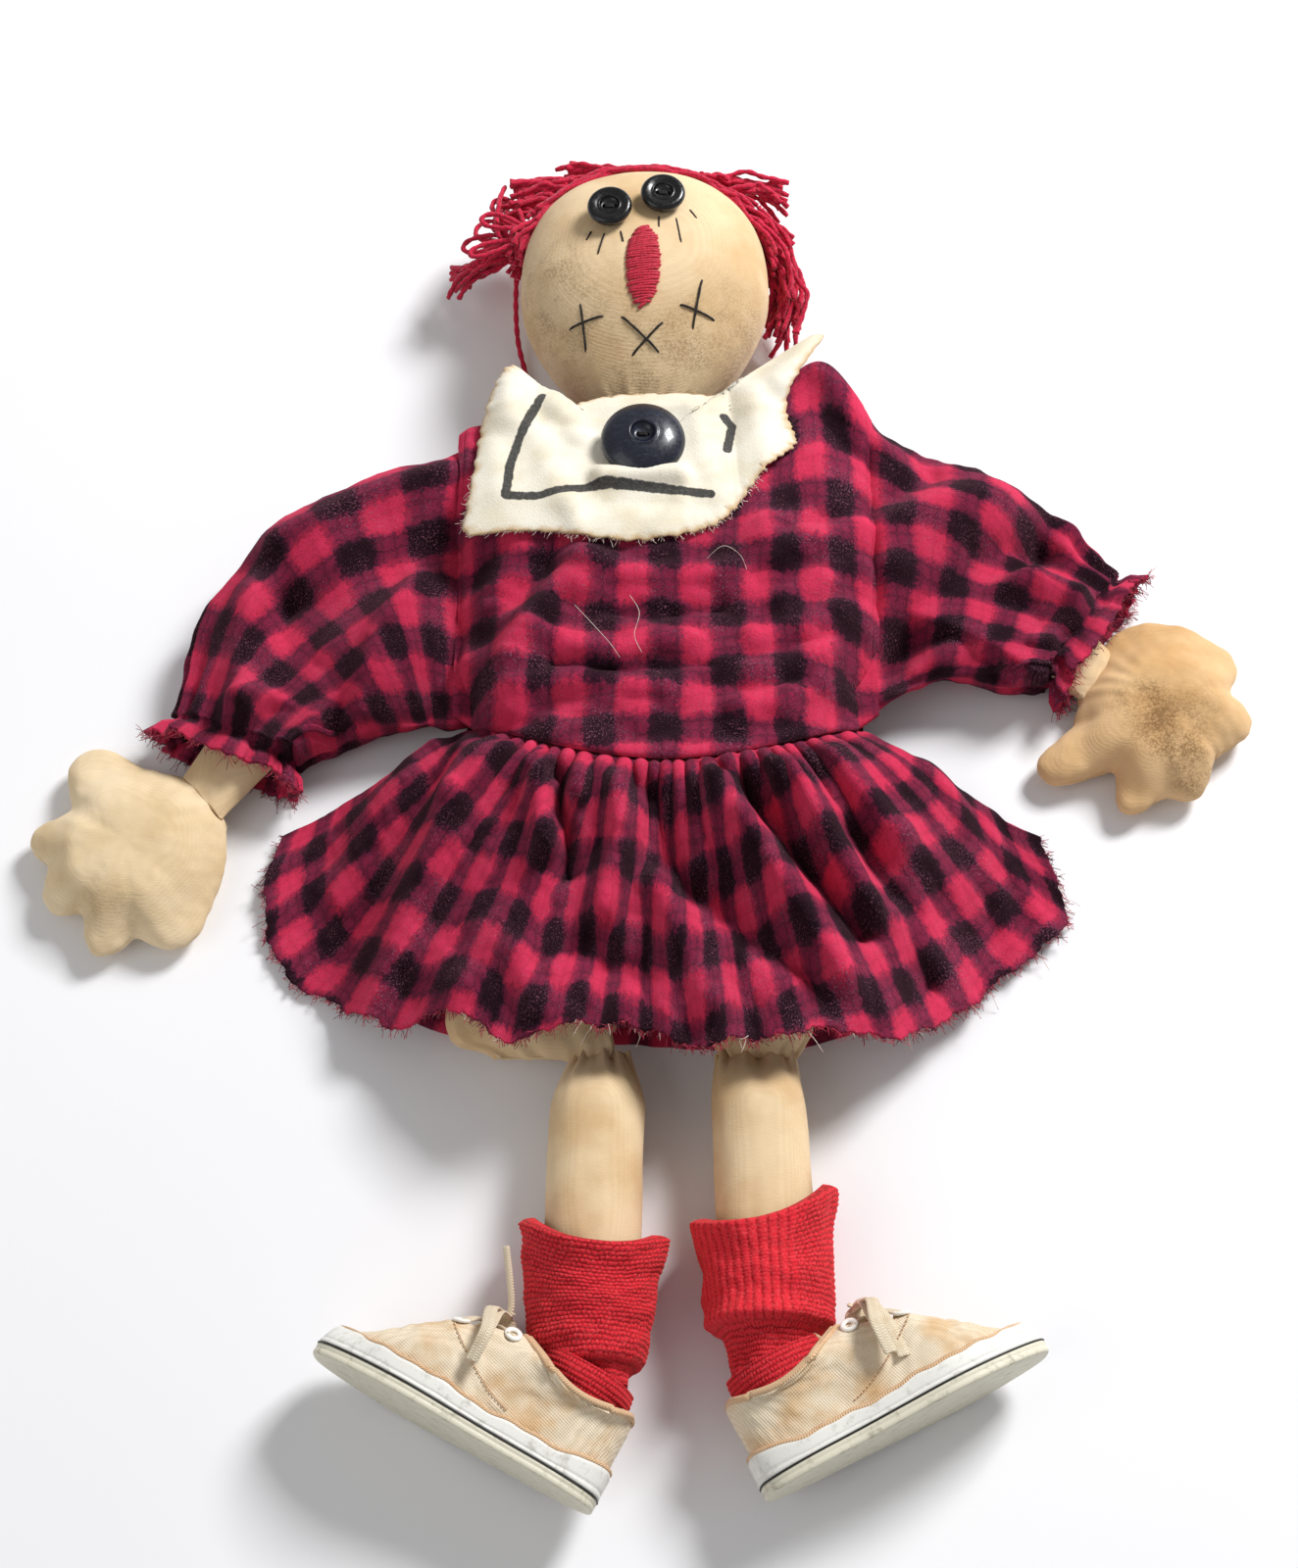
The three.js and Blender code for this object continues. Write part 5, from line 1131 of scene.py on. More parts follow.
def sleeve_rings(side, sleeve, wall, root_high):
    """The sleeve's rings out to the cuff, and then rings that flare into the frill."""
    def at(t):
        wide = sleeve["root_width"] * share_at(sleeve["shares"], t)
        high = mix(root_high, CUFF_HEIGHT, smooth((t - 0.3) / 0.7))
        return (*sleeve_line(side, sleeve, t), high / 2, wide / 2 - wall, high / 2 - wall)

    rings = limb(at, SLEEVE_SIDES, SLEEVE_ROWS, 2.5, wall, (0, -side))
    last = rings[-1]
    inner = sleeve_line(side, sleeve, np.array(0.98))
    way = np.array(sleeve["cuff"]) - np.array(inner, float)
    way /= np.linalg.norm(way)
    middle = np.array([*sleeve["cuff"], CUFF_HEIGHT / 2])
    angle = TURN * np.arange(SLEEVE_SIDES) / SLEEVE_SIDES
    frill = []
    for share in np.linspace(0.08, 1, 14):
        wave = 1.9 * share * np.sin(angle * 13 + 3 * np.sin(angle * 3)) + 0.9 * share * np.sin(angle * 29)
        drawn = 1 - 0.12 * np.sin(np.pi * np.clip(share * 1.8, 0, 1))
        flare = drawn + share * 8 / sleeve["cuff_width"] + wave / 22
        ring = middle + (last - middle) * flare[:, None]
        out = sleeve["frill"] * share * (1 + (0.1 * np.sin(angle * 5) + 0.05 * np.sin(angle * 47)) * share)
        ring[:, :2] += way * out[:, None]
        frill.append(ring)
    rings = np.concatenate([rings, np.array(frill)])
    return kept_up(rings, wall)


# Each hand's outline, as a direction in degrees from its middle and the reach there
HANDS = {
    "right": dict(centre=(-217, -26), wrist=42, wrist_reach=42.2, reaches=[
        (-180, 41), (-173, 35.5), (-165, 36.5), (-152, 41), (-143, 41.5), (-134, 38.5), (-126, 32.5),
        (-118, 38),
        (-110, 45), (-103, 47), (-95, 44.5), (-88, 38.5), (-82, 36), (-75, 41), (-67, 47), (-58, 48.5),
        (-48, 46.5),
        (-38, 42.5), (-28, 40.5), (-10, 39.5), (12, 39.5), (28, 41), (42, 44.5), (50, 44), (62, 40.5),
        (77, 39),
        (90, 41), (100, 47), (108, 53), (117, 55.5), (125, 53.5), (132, 46), (138, 38), (144, 33.5),
        (150, 35),
        (158, 40.5), (167, 44), (175, 43.5)]),
    "left": dict(centre=(221, 37), wrist=143, wrist_reach=35.5, reaches=[
        (-175, 39), (-171, 43), (-167, 51), (-161, 59.5), (-155, 61), (-149, 58), (-144, 50), (-139, 38),
        (-134, 32),
        (-128, 36), (-121, 43.5), (-114, 47), (-107, 45), (-100, 39.5), (-92, 36), (-84, 37), (-75, 38.5),
        (-66, 37.5),
        (-58, 34), (-50, 29), (-42, 26.5), (-30, 29), (-18, 34.5), (-8, 38), (2, 39), (12, 37), (20, 33.5),
        (26, 34.5),
        (31, 40), (37, 44.5), (45, 47), (55, 48), (70, 48.5), (89, 49), (102, 48), (115, 45), (130, 40),
        (143, 37.5),
        (153, 37.5), (168, 37)]),
}
ARMHOLE_HEIGHT, SHOULDER_SEAM, SHOULDER_SEAM_TOP = 50.0, 108.0, 129.0
ARM_HALF_WIDTH, ARM_HALF_HEIGHT, WRIST_OVERLAP, WRIST_HALF = 21.0, 12.0, 5.0, 4.0
ARM_WIDTH_SHARES = [0.9, 1, 1, 0.95, 0.85, 0.76, 0.62]
ARM_HEIGHT_SHARES = [1, 1, 1, 0.9, 0.68, 0.58, 0.6]


def arm_seam_at(side, y):
    """A place on the torso's side seam, just outside it."""
    return side * (float(torso_at(np.array((y - TORSO_LOW) / TORSO_LENGTH))[3]) + 0.8), y


def arm_at(name, t):
    """The arm: a bent line from its side seam past the elbow to the wrist, with its heights and half
    sizes."""
    side, hand = SIDES[name], HANDS[name]
    turn, out = np.radians(hand["wrist"]), hand["wrist_reach"] - WRIST_OVERLAP
    wrist = [hand["centre"][0] + np.cos(turn) * out, hand["centre"][1] + np.sin(turn) * out]
    root = arm_seam_at(side, SHOULDER_SEAM)
    elbow = [float(v) for v in sleeve_line(side, SLEEVES[name], np.array(0.62))]
    a, b, c = (1 - t) ** 2, 2 * t * (1 - t), t**2
    z = mix(mix(TORSO_CENTRE, 22.0, smooth(4 * t)), 12.5, smooth((t - 0.35) / 0.65))
    high = ARM_HALF_HEIGHT * share_at(ARM_HEIGHT_SHARES, t)
    seam = mix(SEAM_HALF, WRIST_HALF, t)
    return (a * root[0] + b * elbow[0] + c * wrist[0], a * root[1] + b * elbow[1] + c * wrist[1], z,
            ARM_HALF_WIDTH * share_at(ARM_WIDTH_SHARES, t),
            mix(seam, high, np.minimum(opened(t, 0.29), opened(1 - t, 0.2))))


for name, side in SIDES.items():
    sleeve = SLEEVES[name]
    plain = sleeve_rings(side, sleeve, 0.0, ARMHOLE_HEIGHT)
    rows, count = plain.shape[:2]
    t = np.minimum((1 - np.cos(np.pi * np.arange(rows) / SLEEVE_ROWS)) / 2, 1)[:, None]
    t[SLEEVE_ROWS:] = 1
    past = np.arange(rows)[:, None] > SLEEVE_ROWS
    angle = TURN * np.arange(count)[None] / count
    gathers = 2.1 * np.sin(angle * 13 + 2 * np.sin(angle * 2)) * smooth((t - 0.5) / 0.45)
    swell = 1.9 * ripples(plain, 40, 17, 3) * smooth(t / 0.06)
    outer = swollen(plain, np.where(past, 0.5 * gathers, gathers + swell))
    upper = smooth(1.6 * np.sin(angle) + 0.35)
    lift = DRESS_FOLD_DEPTH * folds_at(outer[..., 0], outer[..., 1],
                                       DRESS_FOLDS) * upper * smooth((1.06 - t) / 0.12)
    outer[..., 2] = outer[..., 2] + np.where(past, 0, np.maximum(lift, -0.55 * outer[..., 2]))
    arm_t = np.linspace(0, 1, 12)
    arm_x, arm_y, arm_z, _, arm_high = arm_at(name, arm_t)
    arm_line = list(zip(arm_x, arm_y))
    near_arm = smooth(2.2 * folds_at(outer[..., 0], outer[..., 1], [(25, 1, arm_line)]))
    arm_top = np.interp(outer[..., 0] * side, arm_x * side, arm_z + arm_high) + 5.0
    clear = np.where(past | (upper < 0.5), outer[..., 2], np.maximum(outer[..., 2], arm_top * near_arm))
    outer[..., 2] = mix(outer[..., 2], clear, smooth((t - 0.04) / 0.1))
    column = -6 if side > 0 else 5
    edge_z = np.interp(outer[..., 1], bodice_y[:bodice_rows, column],
                       bodice_in[:bodice_rows, column, 2]) - 1.4
    joined_share = (1 - smooth(t / 0.11)) * smooth((np.sin(angle) - 0.12) / 0.4)
    outer[..., 2] = mix(outer[..., 2], edge_z, joined_share)
    outer[..., 1] = outer[..., 1] + shoulder_lift(outer[..., 0], outer[..., 1])
    outer = kept_up(outer, 0.0)
    inner = kept_up(swollen(outer, np.full(outer.shape[:2], -SLEEVE_WALL)), 1.2)
    run = np.linalg.norm(np.diff(plain[:, :, :2].mean(1), axis=0), axis=1)
    along = np.concatenate([[0], np.cumsum(run)])[:, None]
    root_x = BODICE_SHIFT + side * (BODICE_HALF + 3)
    steps = np.linalg.norm(np.diff(plain[0], axis=0, append=plain[0, :1]), axis=1)
    around = np.concatenate([[0], np.cumsum(steps)])
    top = count // 4
    around = (plain[0, top, 1] + side * (around - around[top]))[None]
    places = stacked(root_x + side * (0.4 + along), around)
    bend = ("torso", f"arm_{name}", (root_x - side * 8, 104, 25), (root_x + side * 44, 104, 25))
    piece = make_piece(f"sleeve_cloth_{name}", wall_part(outer, inner, places), PLAID, None,
                       [f"sleeve_{name}"],
                       blend=bend)
    end = (outer[-1] + inner[-1]) / 2
    away = outer[-1] - outer[-4]
    away /= np.linalg.norm(away, axis=1)[:, None] + 1e-9
    loose = make_piece(f"cuff_threads_{name}", strand_part(hem_threads(end, away, 420, 51 + side, 5.0),
                                                           RAW_THREAD_RADIUS, 3),
                       RAW_THREAD, f"arm_{name}")

# Arms, hands and elastics

HAND_HEIGHT, PILLOW_POWER = 26.0, 0.62


def hand_reach(hand, angle):
    """The outline's reach in a direction: its table run through in degrees and rounded off."""
    degrees, reach = np.array(hand["reaches"], float).T
    turned_by = np.arange(-4, 5) * 0.9
    near = np.interp(np.degrees(angle)[..., None] + turned_by, degrees, reach, period=360)
    return (near * np.cos(turned_by / 8) ** 2).sum(-1) / (np.cos(turned_by / 8) ** 2).sum()


def hand_rings(hand, sides=320, layers=44):
    """A stuffed pillow over the hand's outline: rings that spread by a power of the cosine of their climb;
    beyond the palm it thins to the fingers."""
    angle = TURN * np.arange(sides) / sides
    climb = -np.pi / 2 + np.pi * (np.arange(layers + 1) + 0.5) / (layers + 1)
    spread = np.cos(climb) ** PILLOW_POWER
    out = hand_reach(hand, angle)[None] * spread[:, None]
    thin = mix(1, 0.7, smooth((out - 22) / 20))
    z = mix(-0.5, HAND_HEIGHT, (1 + np.sin(climb)) / 2)[:, None] * thin
    x = hand["centre"][0] + np.cos(angle) * out
    y = hand["centre"][1] + np.sin(angle) * out
    return stacked(x, y, z), climb, angle


HAND_MUSLIN = {
    "right": muslin_finish("right hand muslin", [(-222, -52, 18, 22, 0.3)], "efd9b5", "dbc094"),
    "left": muslin_finish("left hand muslin", [(212, 36, 24, 20, 0.95), (222, 23, 24, 20, 1.0),
                                               (231, 9, 20, 17, 0.9),
                                           (226, 30, 24, 30, 0.5)], "e2bd8e", "c99f6c"),
}
ELASTIC_ROOT = 44.0
for name, side in SIDES.items():
    hand = HANDS[name]
    sleeve = SLEEVES[name]
    wrist_turn = np.radians(hand["wrist"])
    root, far = arm_seam_at(side, SHOULDER_SEAM), arm_seam_at(side, SHOULDER_SEAM_TOP)
    length = np.hypot(far[0] - root[0], far[1] - root[1])
    seam_way = (-side * (far[0] - root[0]) / length, -side * (far[1] - root[1]) / length)
    wrist_way = (-np.sin(wrist_turn), np.cos(wrist_turn))
    arm_grid = limb(lambda t: arm_at(name, t), 48, 60, 2.2, None, seam_way, wrist_way)
    arm_grid = swollen(arm_grid, pleats(arm_grid, [(1, 0.14)], 0.5, 7, 5) - 0.2
                       + 0.3 * ripples(arm_grid, 30, 6))
    arm = make_piece(f"arm_stuffed_{name}", closed_part(arm_grid), MUSLIN, f"arm_{name}", [f"arm_{name}"])

    rings, climb, angle = hand_rings(hand)
    share = np.cos(climb)[:, None] ** PILLOW_POWER
    seam = -0.9 * bump_at(climb[:, None], 0.06)
    toward = np.abs((angle - wrist_turn + np.pi) % TURN - np.pi)[None]
    puckers = 0.3 * np.sin(angle * 23)[None] * np.exp(-((toward / 0.55) ** 2)) * smooth((share - 0.35) / 0.4)
    between = 0.4 * np.cos(angle * 31)[None] * bump_at(climb[:, None], 0.3)
    rings = swollen(rings, seam + puckers + 0.35 * between + 0.7 * ripples(rings, 26, 61 + side))
    palm = make_piece(f"hand_stuffed_{name}", closed_part(kept_up(rings)), HAND_MUSLIN[name], f"hand_{name}",
                      [f"hand_{name}"])
    band, under = (sleeve_rings(side, sleeve, inset, ELASTIC_ROOT)[80:88:2] for inset in (4.6, 5.6))
    make_piece(f"elastic_band_{name}", wall_part(band, under), ELASTIC, f"arm_{name}",
               [f"cuff_elastic_{name}"])

# Legs

THIGHS = {
    "right": dict(hip=-32, knee=-30, half=33, lean=-17, shares=[0.3, 0.85, 1, 1, 1, 1.04, 0.94], tuck=0.6),
    "left": dict(hip=36, knee=43, half=29, lean=2, shares=[0.34, 0.85, 1, 1, 0.95, 0.78, 0.68], tuck=0.95),
}
SHINS = {"right": (-20, -23), "left": (43, 47)}
SHIN_Z, THIGH_TOP, KNEE, SHIN_LOW = 21.4, -36.6, -121.0, -247.0
THIGH_HALF_HEIGHT, SHIN_HALF, KNEE_TUCK, KNEE_GAP = 20.5, 18.5, 2.5, 0.8
SHIN_WIDTH_SHARES = [0.9, 0.98, 1, 1, 0.98, 0.9, 0.68]
SHIN_HEIGHT_SHARES = [1, 1, 1, 1, 0.95, 0.8, 0.3]


STRIP_TOP, STRIP_LOW, STRIP_HALF_WIDTH, STRIP_HALF_THICK = -30.8, -35.8, 54.0, 0.4


def strip_at(t):
    """The flat seam strip under the torso, in which both legs are caught."""
    return 0, mix(STRIP_TOP, STRIP_LOW, t), TORSO_CENTRE, STRIP_HALF_WIDTH, STRIP_HALF_THICK


make_piece("leg_seam", closed_part(limb(strip_at, 60, 8)), MUSLIN, "hips", ["leg_seam_strip"])


def thigh_at(thigh, t):
    """The thigh: from the flat hip seam it opens, leans outwards and closes again at the knee."""
    y = mix(THIGH_TOP, KNEE, t)
    z = mix(mix(TORSO_CENTRE, 24.0, smooth(2 * t)), SHIN_Z, smooth(3 * t - 2))
    high = np.minimum(opened(THIGH_TOP - y, 24), opened(y - KNEE, 36))
    lean = thigh["lean"] * smooth(1.5 * t) * mix(1, 0.5, smooth((t - 0.86) / 0.14))
    rounded = mix(0.72, 1, opened(y - KNEE + 0.4, 13))
    return (mix(thigh["hip"], thigh["knee"], t) + lean, y, z,
            thigh["half"] * share_at(thigh["shares"], t) * rounded, mix(1.6, THIGH_HALF_HEIGHT, high))


def shin_at(name, t):
    """The shin: its top is tucked under the thigh's end, and it runs straight to the ankle."""
    knee, ankle = SHINS[name]
    top = KNEE + KNEE_TUCK
    high = SHIN_HALF * share_at(SHIN_HEIGHT_SHARES, t)
    tuck = THIGHS[name]["tuck"]
    wide = SHIN_HALF * share_at(SHIN_WIDTH_SHARES, t) * mix(tuck, 1.04, opened(t, 0.2))
    return (mix(knee, ankle, t), mix(top, SHIN_LOW, t), SHIN_Z, wide,
            mix(1.2, high, opened(t * (top - SHIN_LOW), 26)))


for name, side in SIDES.items():
    grid = limb(lambda t: thigh_at(THIGHS[name], t), 88, 60, 2.2, None, (-1, 0), (-1, 0))
    grid = swollen(grid, pleats(grid, [(0, 0.12), (1, 0.22)], 0.9, 11, 71 + side) - 0.4
                   + 0.8 * ripples(grid, 30, 73 + side))
    thigh = make_piece(f"thigh_{name}_stuffed", closed_part(kept_up(grid)), MUSLIN, f"thigh_{name}",
                       [f"thigh_{name}"])
    grid = limb(lambda t: shin_at(name, t), 64, 80, 2.2, None, (-1, 0), (-1, 0))
    grid = swollen(grid, pleats(grid, [(0, 0.14)], 2.0, 9, 77 + side) - 0.2
                   + 0.5 * ripples(grid, 30, 79 + side, 3, (1, 0.5, 1)))
    shin = make_piece(f"shin_{name}_stuffed", closed_part(kept_up(grid)), MUSLIN, f"shin_{name}",
                      [f"shin_{name}"])

# Collar: a raw-edged felt cape over the chest, its tips turned up beside the chin

COLLAR_MIDDLE, FELT_THICK, LINE_REACH = np.array([-4.0, 142.0]), 1.9, 4.0
# The outline in plan, walked round from the doll's left
COLLAR_OUTLINE = [
    (63, 146), (62, 154), (60, 163), (61, 175), (68, 190), (78, 209), (72, 209), (60, 201), (49, 191),
    (39, 182), (30, 175), (14, 175), (-8, 175), (-25, 172), (-36, 166), (-40, 162), (-44, 171), (-52, 183),
    (-60, 190), (-66, 183), (-70, 171), (-73, 154), (-75, 138), (-77, 118), (-78, 101), (-62, 100), (-43, 99),
    (-24, 96), (-5, 94), (14, 97), (28, 102), (36, 110), (43, 120), (50, 130), (57, 138),
]


def outline_at(turns):
    """A smooth closed curve through the outline's places."""
    places = np.array(COLLAR_OUTLINE, float)
    return np.stack([loop_share_at(places[:, k], turns) for k in (0, 1)], -1)


rows, count = 44, 480
turns = np.arange(count) / count
rim = outline_at(turns)
rng = np.random.default_rng(91)
ragged = 0.35 * np.sin(turns * TURN * 61) + 0.3 * np.sin(turns * TURN * 97
                                                         + 1) + rng.uniform(-0.25, 0.25, count)
away = rim - COLLAR_MIDDLE
away /= np.linalg.norm(away, axis=1)[:, None]
rim = rim + away * ragged[:, None]
share = (np.linspace(0.02, 1, rows) ** 0.8)[:, None, None]
plan = COLLAR_MIDDLE + (rim[None] - COLLAR_MIDDLE) * share
px, py = plan[..., 0], plan[..., 1]
COLLAR_RIDGES = [
    (-62, 188, -60, 160, 8, 7.0), (76, 206, 58, 180, 8, 8.0), (-42, 170, -30, 150, 6, 3.5),
    (46, 174, 52, 126, 7, 4.0), (35, 176, 38, 108, 3.5, -1.6), (-70, 165, -64, 120, 6, 1.5),
    (-20, 125.5, 12, 126.5, 4.5, 6.2), (-20, 113, 24, 111, 5, -1.2), (20, 164, 26, 128, 5, 1.6),
    (-2, 164, 14, 170, 7, 1.6), (-48, 150, -36, 112, 7, 2.2), (-36, 156, -20, 150, 4, -1.4),
    (62, 160, 58, 140, 5, 2.0), (4, 98, 14, 112, 4, 1.6), (-30, 100, -34, 112, 4, 1.6),
]
collar_z = chest_height(px, py) + 1.2 + np.maximum(ridges_at(px, py, COLLAR_RIDGES), -1.2)
collar_z = collar_z + 0.25 * ripples(stacked(px, py, 0 * px), 24, 93)
collar_low = stacked(px, py, collar_z)
normals = grid_normals(collar_low, True)
normals = normals * np.sign(normals[..., 2:])
thin = (FELT_THICK * (1 - 0.55 * np.linspace(0, 1, rows) ** 12))[:, None, None]
collar_high = collar_low + normals * thin
collar_part = closed_part(np.concatenate([collar_low, collar_high[::-1]]))
BORDER = [[(-47, 172), (-56, 149), (-59.6, 134), (-61, 117), (-46.7, 115.9), (-30, 118.9), (-17.5, 120.8),
           (-0.8, 119.4), (26.3, 116.4)], [(32.7, 161.4), (36, 156.3), (33.7, 142.2)]]


def line_share(x, y):
    """How far inside the brushed line a place is: 1 on it, a half at its edge, nothing further out."""
    nearest = np.full(np.shape(x), 99.0)
    for line in BORDER:
        for (x0, y0), (x1, y1) in zip(line[:-1], line[1:]):
            run = (x1 - x0) ** 2 + (y1 - y0) ** 2
            t = np.clip(((x - x0) * (x1 - x0) + (y - y0) * (y1 - y0)) / run, 0, 1)
            nearest = np.minimum(nearest, np.hypot(x - mix(x0, x1, t), y - mix(y0, y1, t)))
    return np.clip(1 - nearest / LINE_REACH, 0, 1)


edge_share = np.broadcast_to(share[..., 0] ** 9, px.shape)
both = np.concatenate([edge_share, edge_share[::-1]]).ravel()
points = collar_part[0]
upper = np.concatenate([np.zeros(px.size), np.ones(px.size), [0, 1]])
collar = make_piece("collar_felt", collar_part, FELT, "torso", ["collar"], shares={
    "edge_share": np.concatenate([both, [0, 0]]), "line_share": line_share(points[:, 0], points[:, 1])
    * upper})
edge = (collar_low[-1] + collar_high[-1]) / 2
lower = edge[:, 1] < 130
ways = np.concatenate([away, np.zeros((count, 1))], 1)
felt_hairs = make_piece("collar_edge_fibres", strand_part(hem_threads(edge[lower], ways[lower], 260, 95, 3.0),
                                                          0.13, 3),
                        PALE_THREAD, "torso")

DOME_PROFILE = eased_profile([
    [0.05, 0], [12, 0], [16.4, 0.1], [18.1, 1.2], [18.0, 2.8], [17.0, 4.6], [15.0, 6.3], [12.2, 7.8],
    [9.4, 8.7], [7.0, 9.1], [6.2, 9.5], [5.4, 9.35], [4.7, 8.1], [3.5, 6.9], [1.8, 6.5], [0.05, 6.5],
])
button_x, button_y = -2.6, 142.6
button_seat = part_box("collar_button")[0][2] / MM
grid = turned(DOME_PROFILE, 96)
grid[:, :, 2] -= hole_rings(grid, 3.4, 0.95, 1.2) * (grid[:, :, 2] > 5)
grid = tilted(grid, (button_x, button_y, button_seat), (0, 0, 1))
make_piece("coat_button", closed_part(grid), COAT_GLOSS, "torso", ["collar_button"])
t = np.linspace(-1, 1, 15)
arch = button_seat + 7.2 - 1.6 * np.abs(t) ** 6
wraps = [stacked(button_x + 1.9 * t, button_y + shift + 0 * t, arch) for shift in (-0.4, 0.4)]
make_piece("coat_button_thread", strand_part(wraps, 0.4, 7, 2, 1.6), BLACK_THREAD, "torso", ())

# Hair: yarn strands


def yarn_paths(starts, ends, bows, steps=40, wave=0.8, seed=0):
    """Strands from starts to ends: straight runs with a bow added at the middle (a sine of the share of the
    way) and a small random wave."""
    rng = np.random.default_rng(seed)
    starts, ends, bows = (np.asarray(a, float) for a in (starts, ends, bows))
    t = np.linspace(0, 1, steps)[None, :, None]
    paths = starts[:, None] * (1 - t) + ends[:, None] * t + bows[:, None] * np.sin(np.pi * t)
    phase = rng.uniform(0, TURN, (len(starts), 1, 3))
    turns = rng.uniform(1.2, 2.8, (len(starts), 1, 3))
    return paths + wave * np.sin(TURN * turns * t + phase) * np.sin(np.pi * np.clip(t * 1.2, 0, 1))


def crown_line(t, z, out):
    """The line along the head's top seam at a height z, from the doll's right temple to its left: the head's
    own outline there, moved out."""
    angle = np.radians(mix(155, 28, t))
    shrink = (1 - np.minimum(np.abs(z - 38.5) / 38.5, 0.97) ** 2.3) ** (1 / 2.3)
    x = HEAD_X + (HEAD_WIDTH / 2 * shrink + out) * signed_power(np.cos(angle), 0.92)
    top = HEAD_LENGTH * (1 - WIDEST) * shrink + out
    return x, HEAD_LOW + HEAD_LENGTH * WIDEST + top * signed_power(np.sin(angle), 0.92)


def crown_strands(count, seed):
    """Strands along the crown line: each keeps its own place over the fringe's thickness and height, starts
    and ends at its own share, and wanders a little; some ends stand off the head."""
    rng = np.random.default_rng(seed)
    t0 = rng.uniform(-0.1, 0.12, count)
    t1 = rng.uniform(0.8, 1.14, count)
    turn = rng.uniform(0, TURN, count)
    tall = rng.uniform(-17, 15, count)
    layer = rng.uniform(0.6, 4.2, count)
    s = np.linspace(0, 1, 90)[None]
    t = t0[:, None] + (t1 - t0)[:, None] * s
    lift = 8 * rng.uniform(0, 1, count)[:, None] ** 2 * (smooth((s - 0.82) / 0.18)
                                                         + smooth((0.12 - s) / 0.12))
    taper = np.sin(np.pi * np.clip(t, 0.06, 0.94)) ** 0.5
    z = 38.5 + tall[:, None] * (0.5 + 0.5 * taper) + 1.2 * np.sin(t * 25 + turn[:, None] * 5)
    out = layer[:, None] * (0.6 + 0.4 * taper) + lift + 0.5 * np.sin(t * 37 + turn[:, None] * 3)
    x, y = crown_line(np.clip(t, -0.16, 1.18), z, out)
    return stacked(x, y, z)


YARN_RADIUS = 1.15


def yarn_piece(name, paths, nodes=(), radius=YARN_RADIUS):
    """Strands of yarn of two plies, as one piece on the head."""
    return make_piece(name, strand_part(paths, radius, 8, 2, 0.55, 0.24), YARN, "head", nodes)


yarn_piece("hair_fringe", crown_strands(96, 101), ["hair_crown"])
TIE = np.array([-60.0, 268.0, 38.0])


def tuft(start, start_reach, end, end_reach, bow, bow_reach, count, seed, wave=0.9):
    """A tuft: strands from round a start to round an end, each with its own bow."""
    rng = np.random.default_rng(seed)
    starts, ends, bows = (np.array(middle) + rng.uniform(-1, 1, (count, 3)) * reach for middle, reach in (
        (start, start_reach), (end, end_reach), (bow, bow_reach)))
    return yarn_paths(starts, ends, bows, 44, wave, seed)


bunch = [
    tuft(TIE, (2, 2, 5), (-88, 258, 20), (6, 6, 8), (-6, -3, 3), (2, 3, 3), 9, 104),
    tuft(TIE, (2, 3, 5), (-91, 268, 20), (4, 5, 8), (-2, -5, 2), (2, 3, 3), 7, 105),
    tuft(TIE, (2, 2, 5), (-66, 301, 32), (4, 4, 6), (-6, -2, 3), (2, 3, 3), 6, 106),
]


def yarn_loop(start, far, half_width, height, steps=44):
    """A loop of yarn: out from its start, round its far place and back, as a long closed oval in plan."""
    t = np.linspace(0, 1, steps)
    start, far = np.array(start, float), np.array(far, float)
    way = far - start
    across = np.array([-way[1], way[0], 0]) / np.linalg.norm(way[:2])
    along = (1 - np.cos(TURN * t)) / 2
    side = np.sin(TURN * t) * half_width * (0.35 + 0.65 * along)
    rise = np.array([0, 0, height]) * np.sin(np.pi * t)[:, None]
    return start + way * along[:, None] + across * side[:, None] + rise


loops = [
    yarn_loop(TIE + (0, 4, 2), (-86, 272, 30), 6, 4), yarn_loop(TIE + (0, 6, 0), (-80, 284, 30), 8, 3),
    yarn_loop(TIE + (2, 8, 4), (-71, 297, 34), 7, 3), yarn_loop(TIE + (0, 0, 6), (-82, 262, 40), 4, 2),
    yarn_loop(TIE + (2, 6, 8), (-77, 280, 42), 5, 3), yarn_loop(TIE + (0, 4, -6), (-80, 276, 20), 6, 2),
]
bunch.append(np.array(loops))
yarn_piece("hair_tied_bunch", np.concatenate(bunch), ["hair_bunch_right"])
TIE_RADIUS, TIE_HALF_LENGTH, TIE_HALF_HEIGHT = 1.3, 5.6, 8.0
turn = TURN * np.linspace(0, 1, 60)
coil = [
    stacked(TIE[0] + 1 + shift + 0 * turn, TIE[1] + TIE_HALF_LENGTH * np.cos(turn),
            TIE[2] + TIE_HALF_HEIGHT * np.sin(turn))
    for shift in (-1.6, 0.6, 2.6)
]
yarn_piece("hair_tie_yarn", coil, ["hair_tie_right"], TIE_RADIUS)

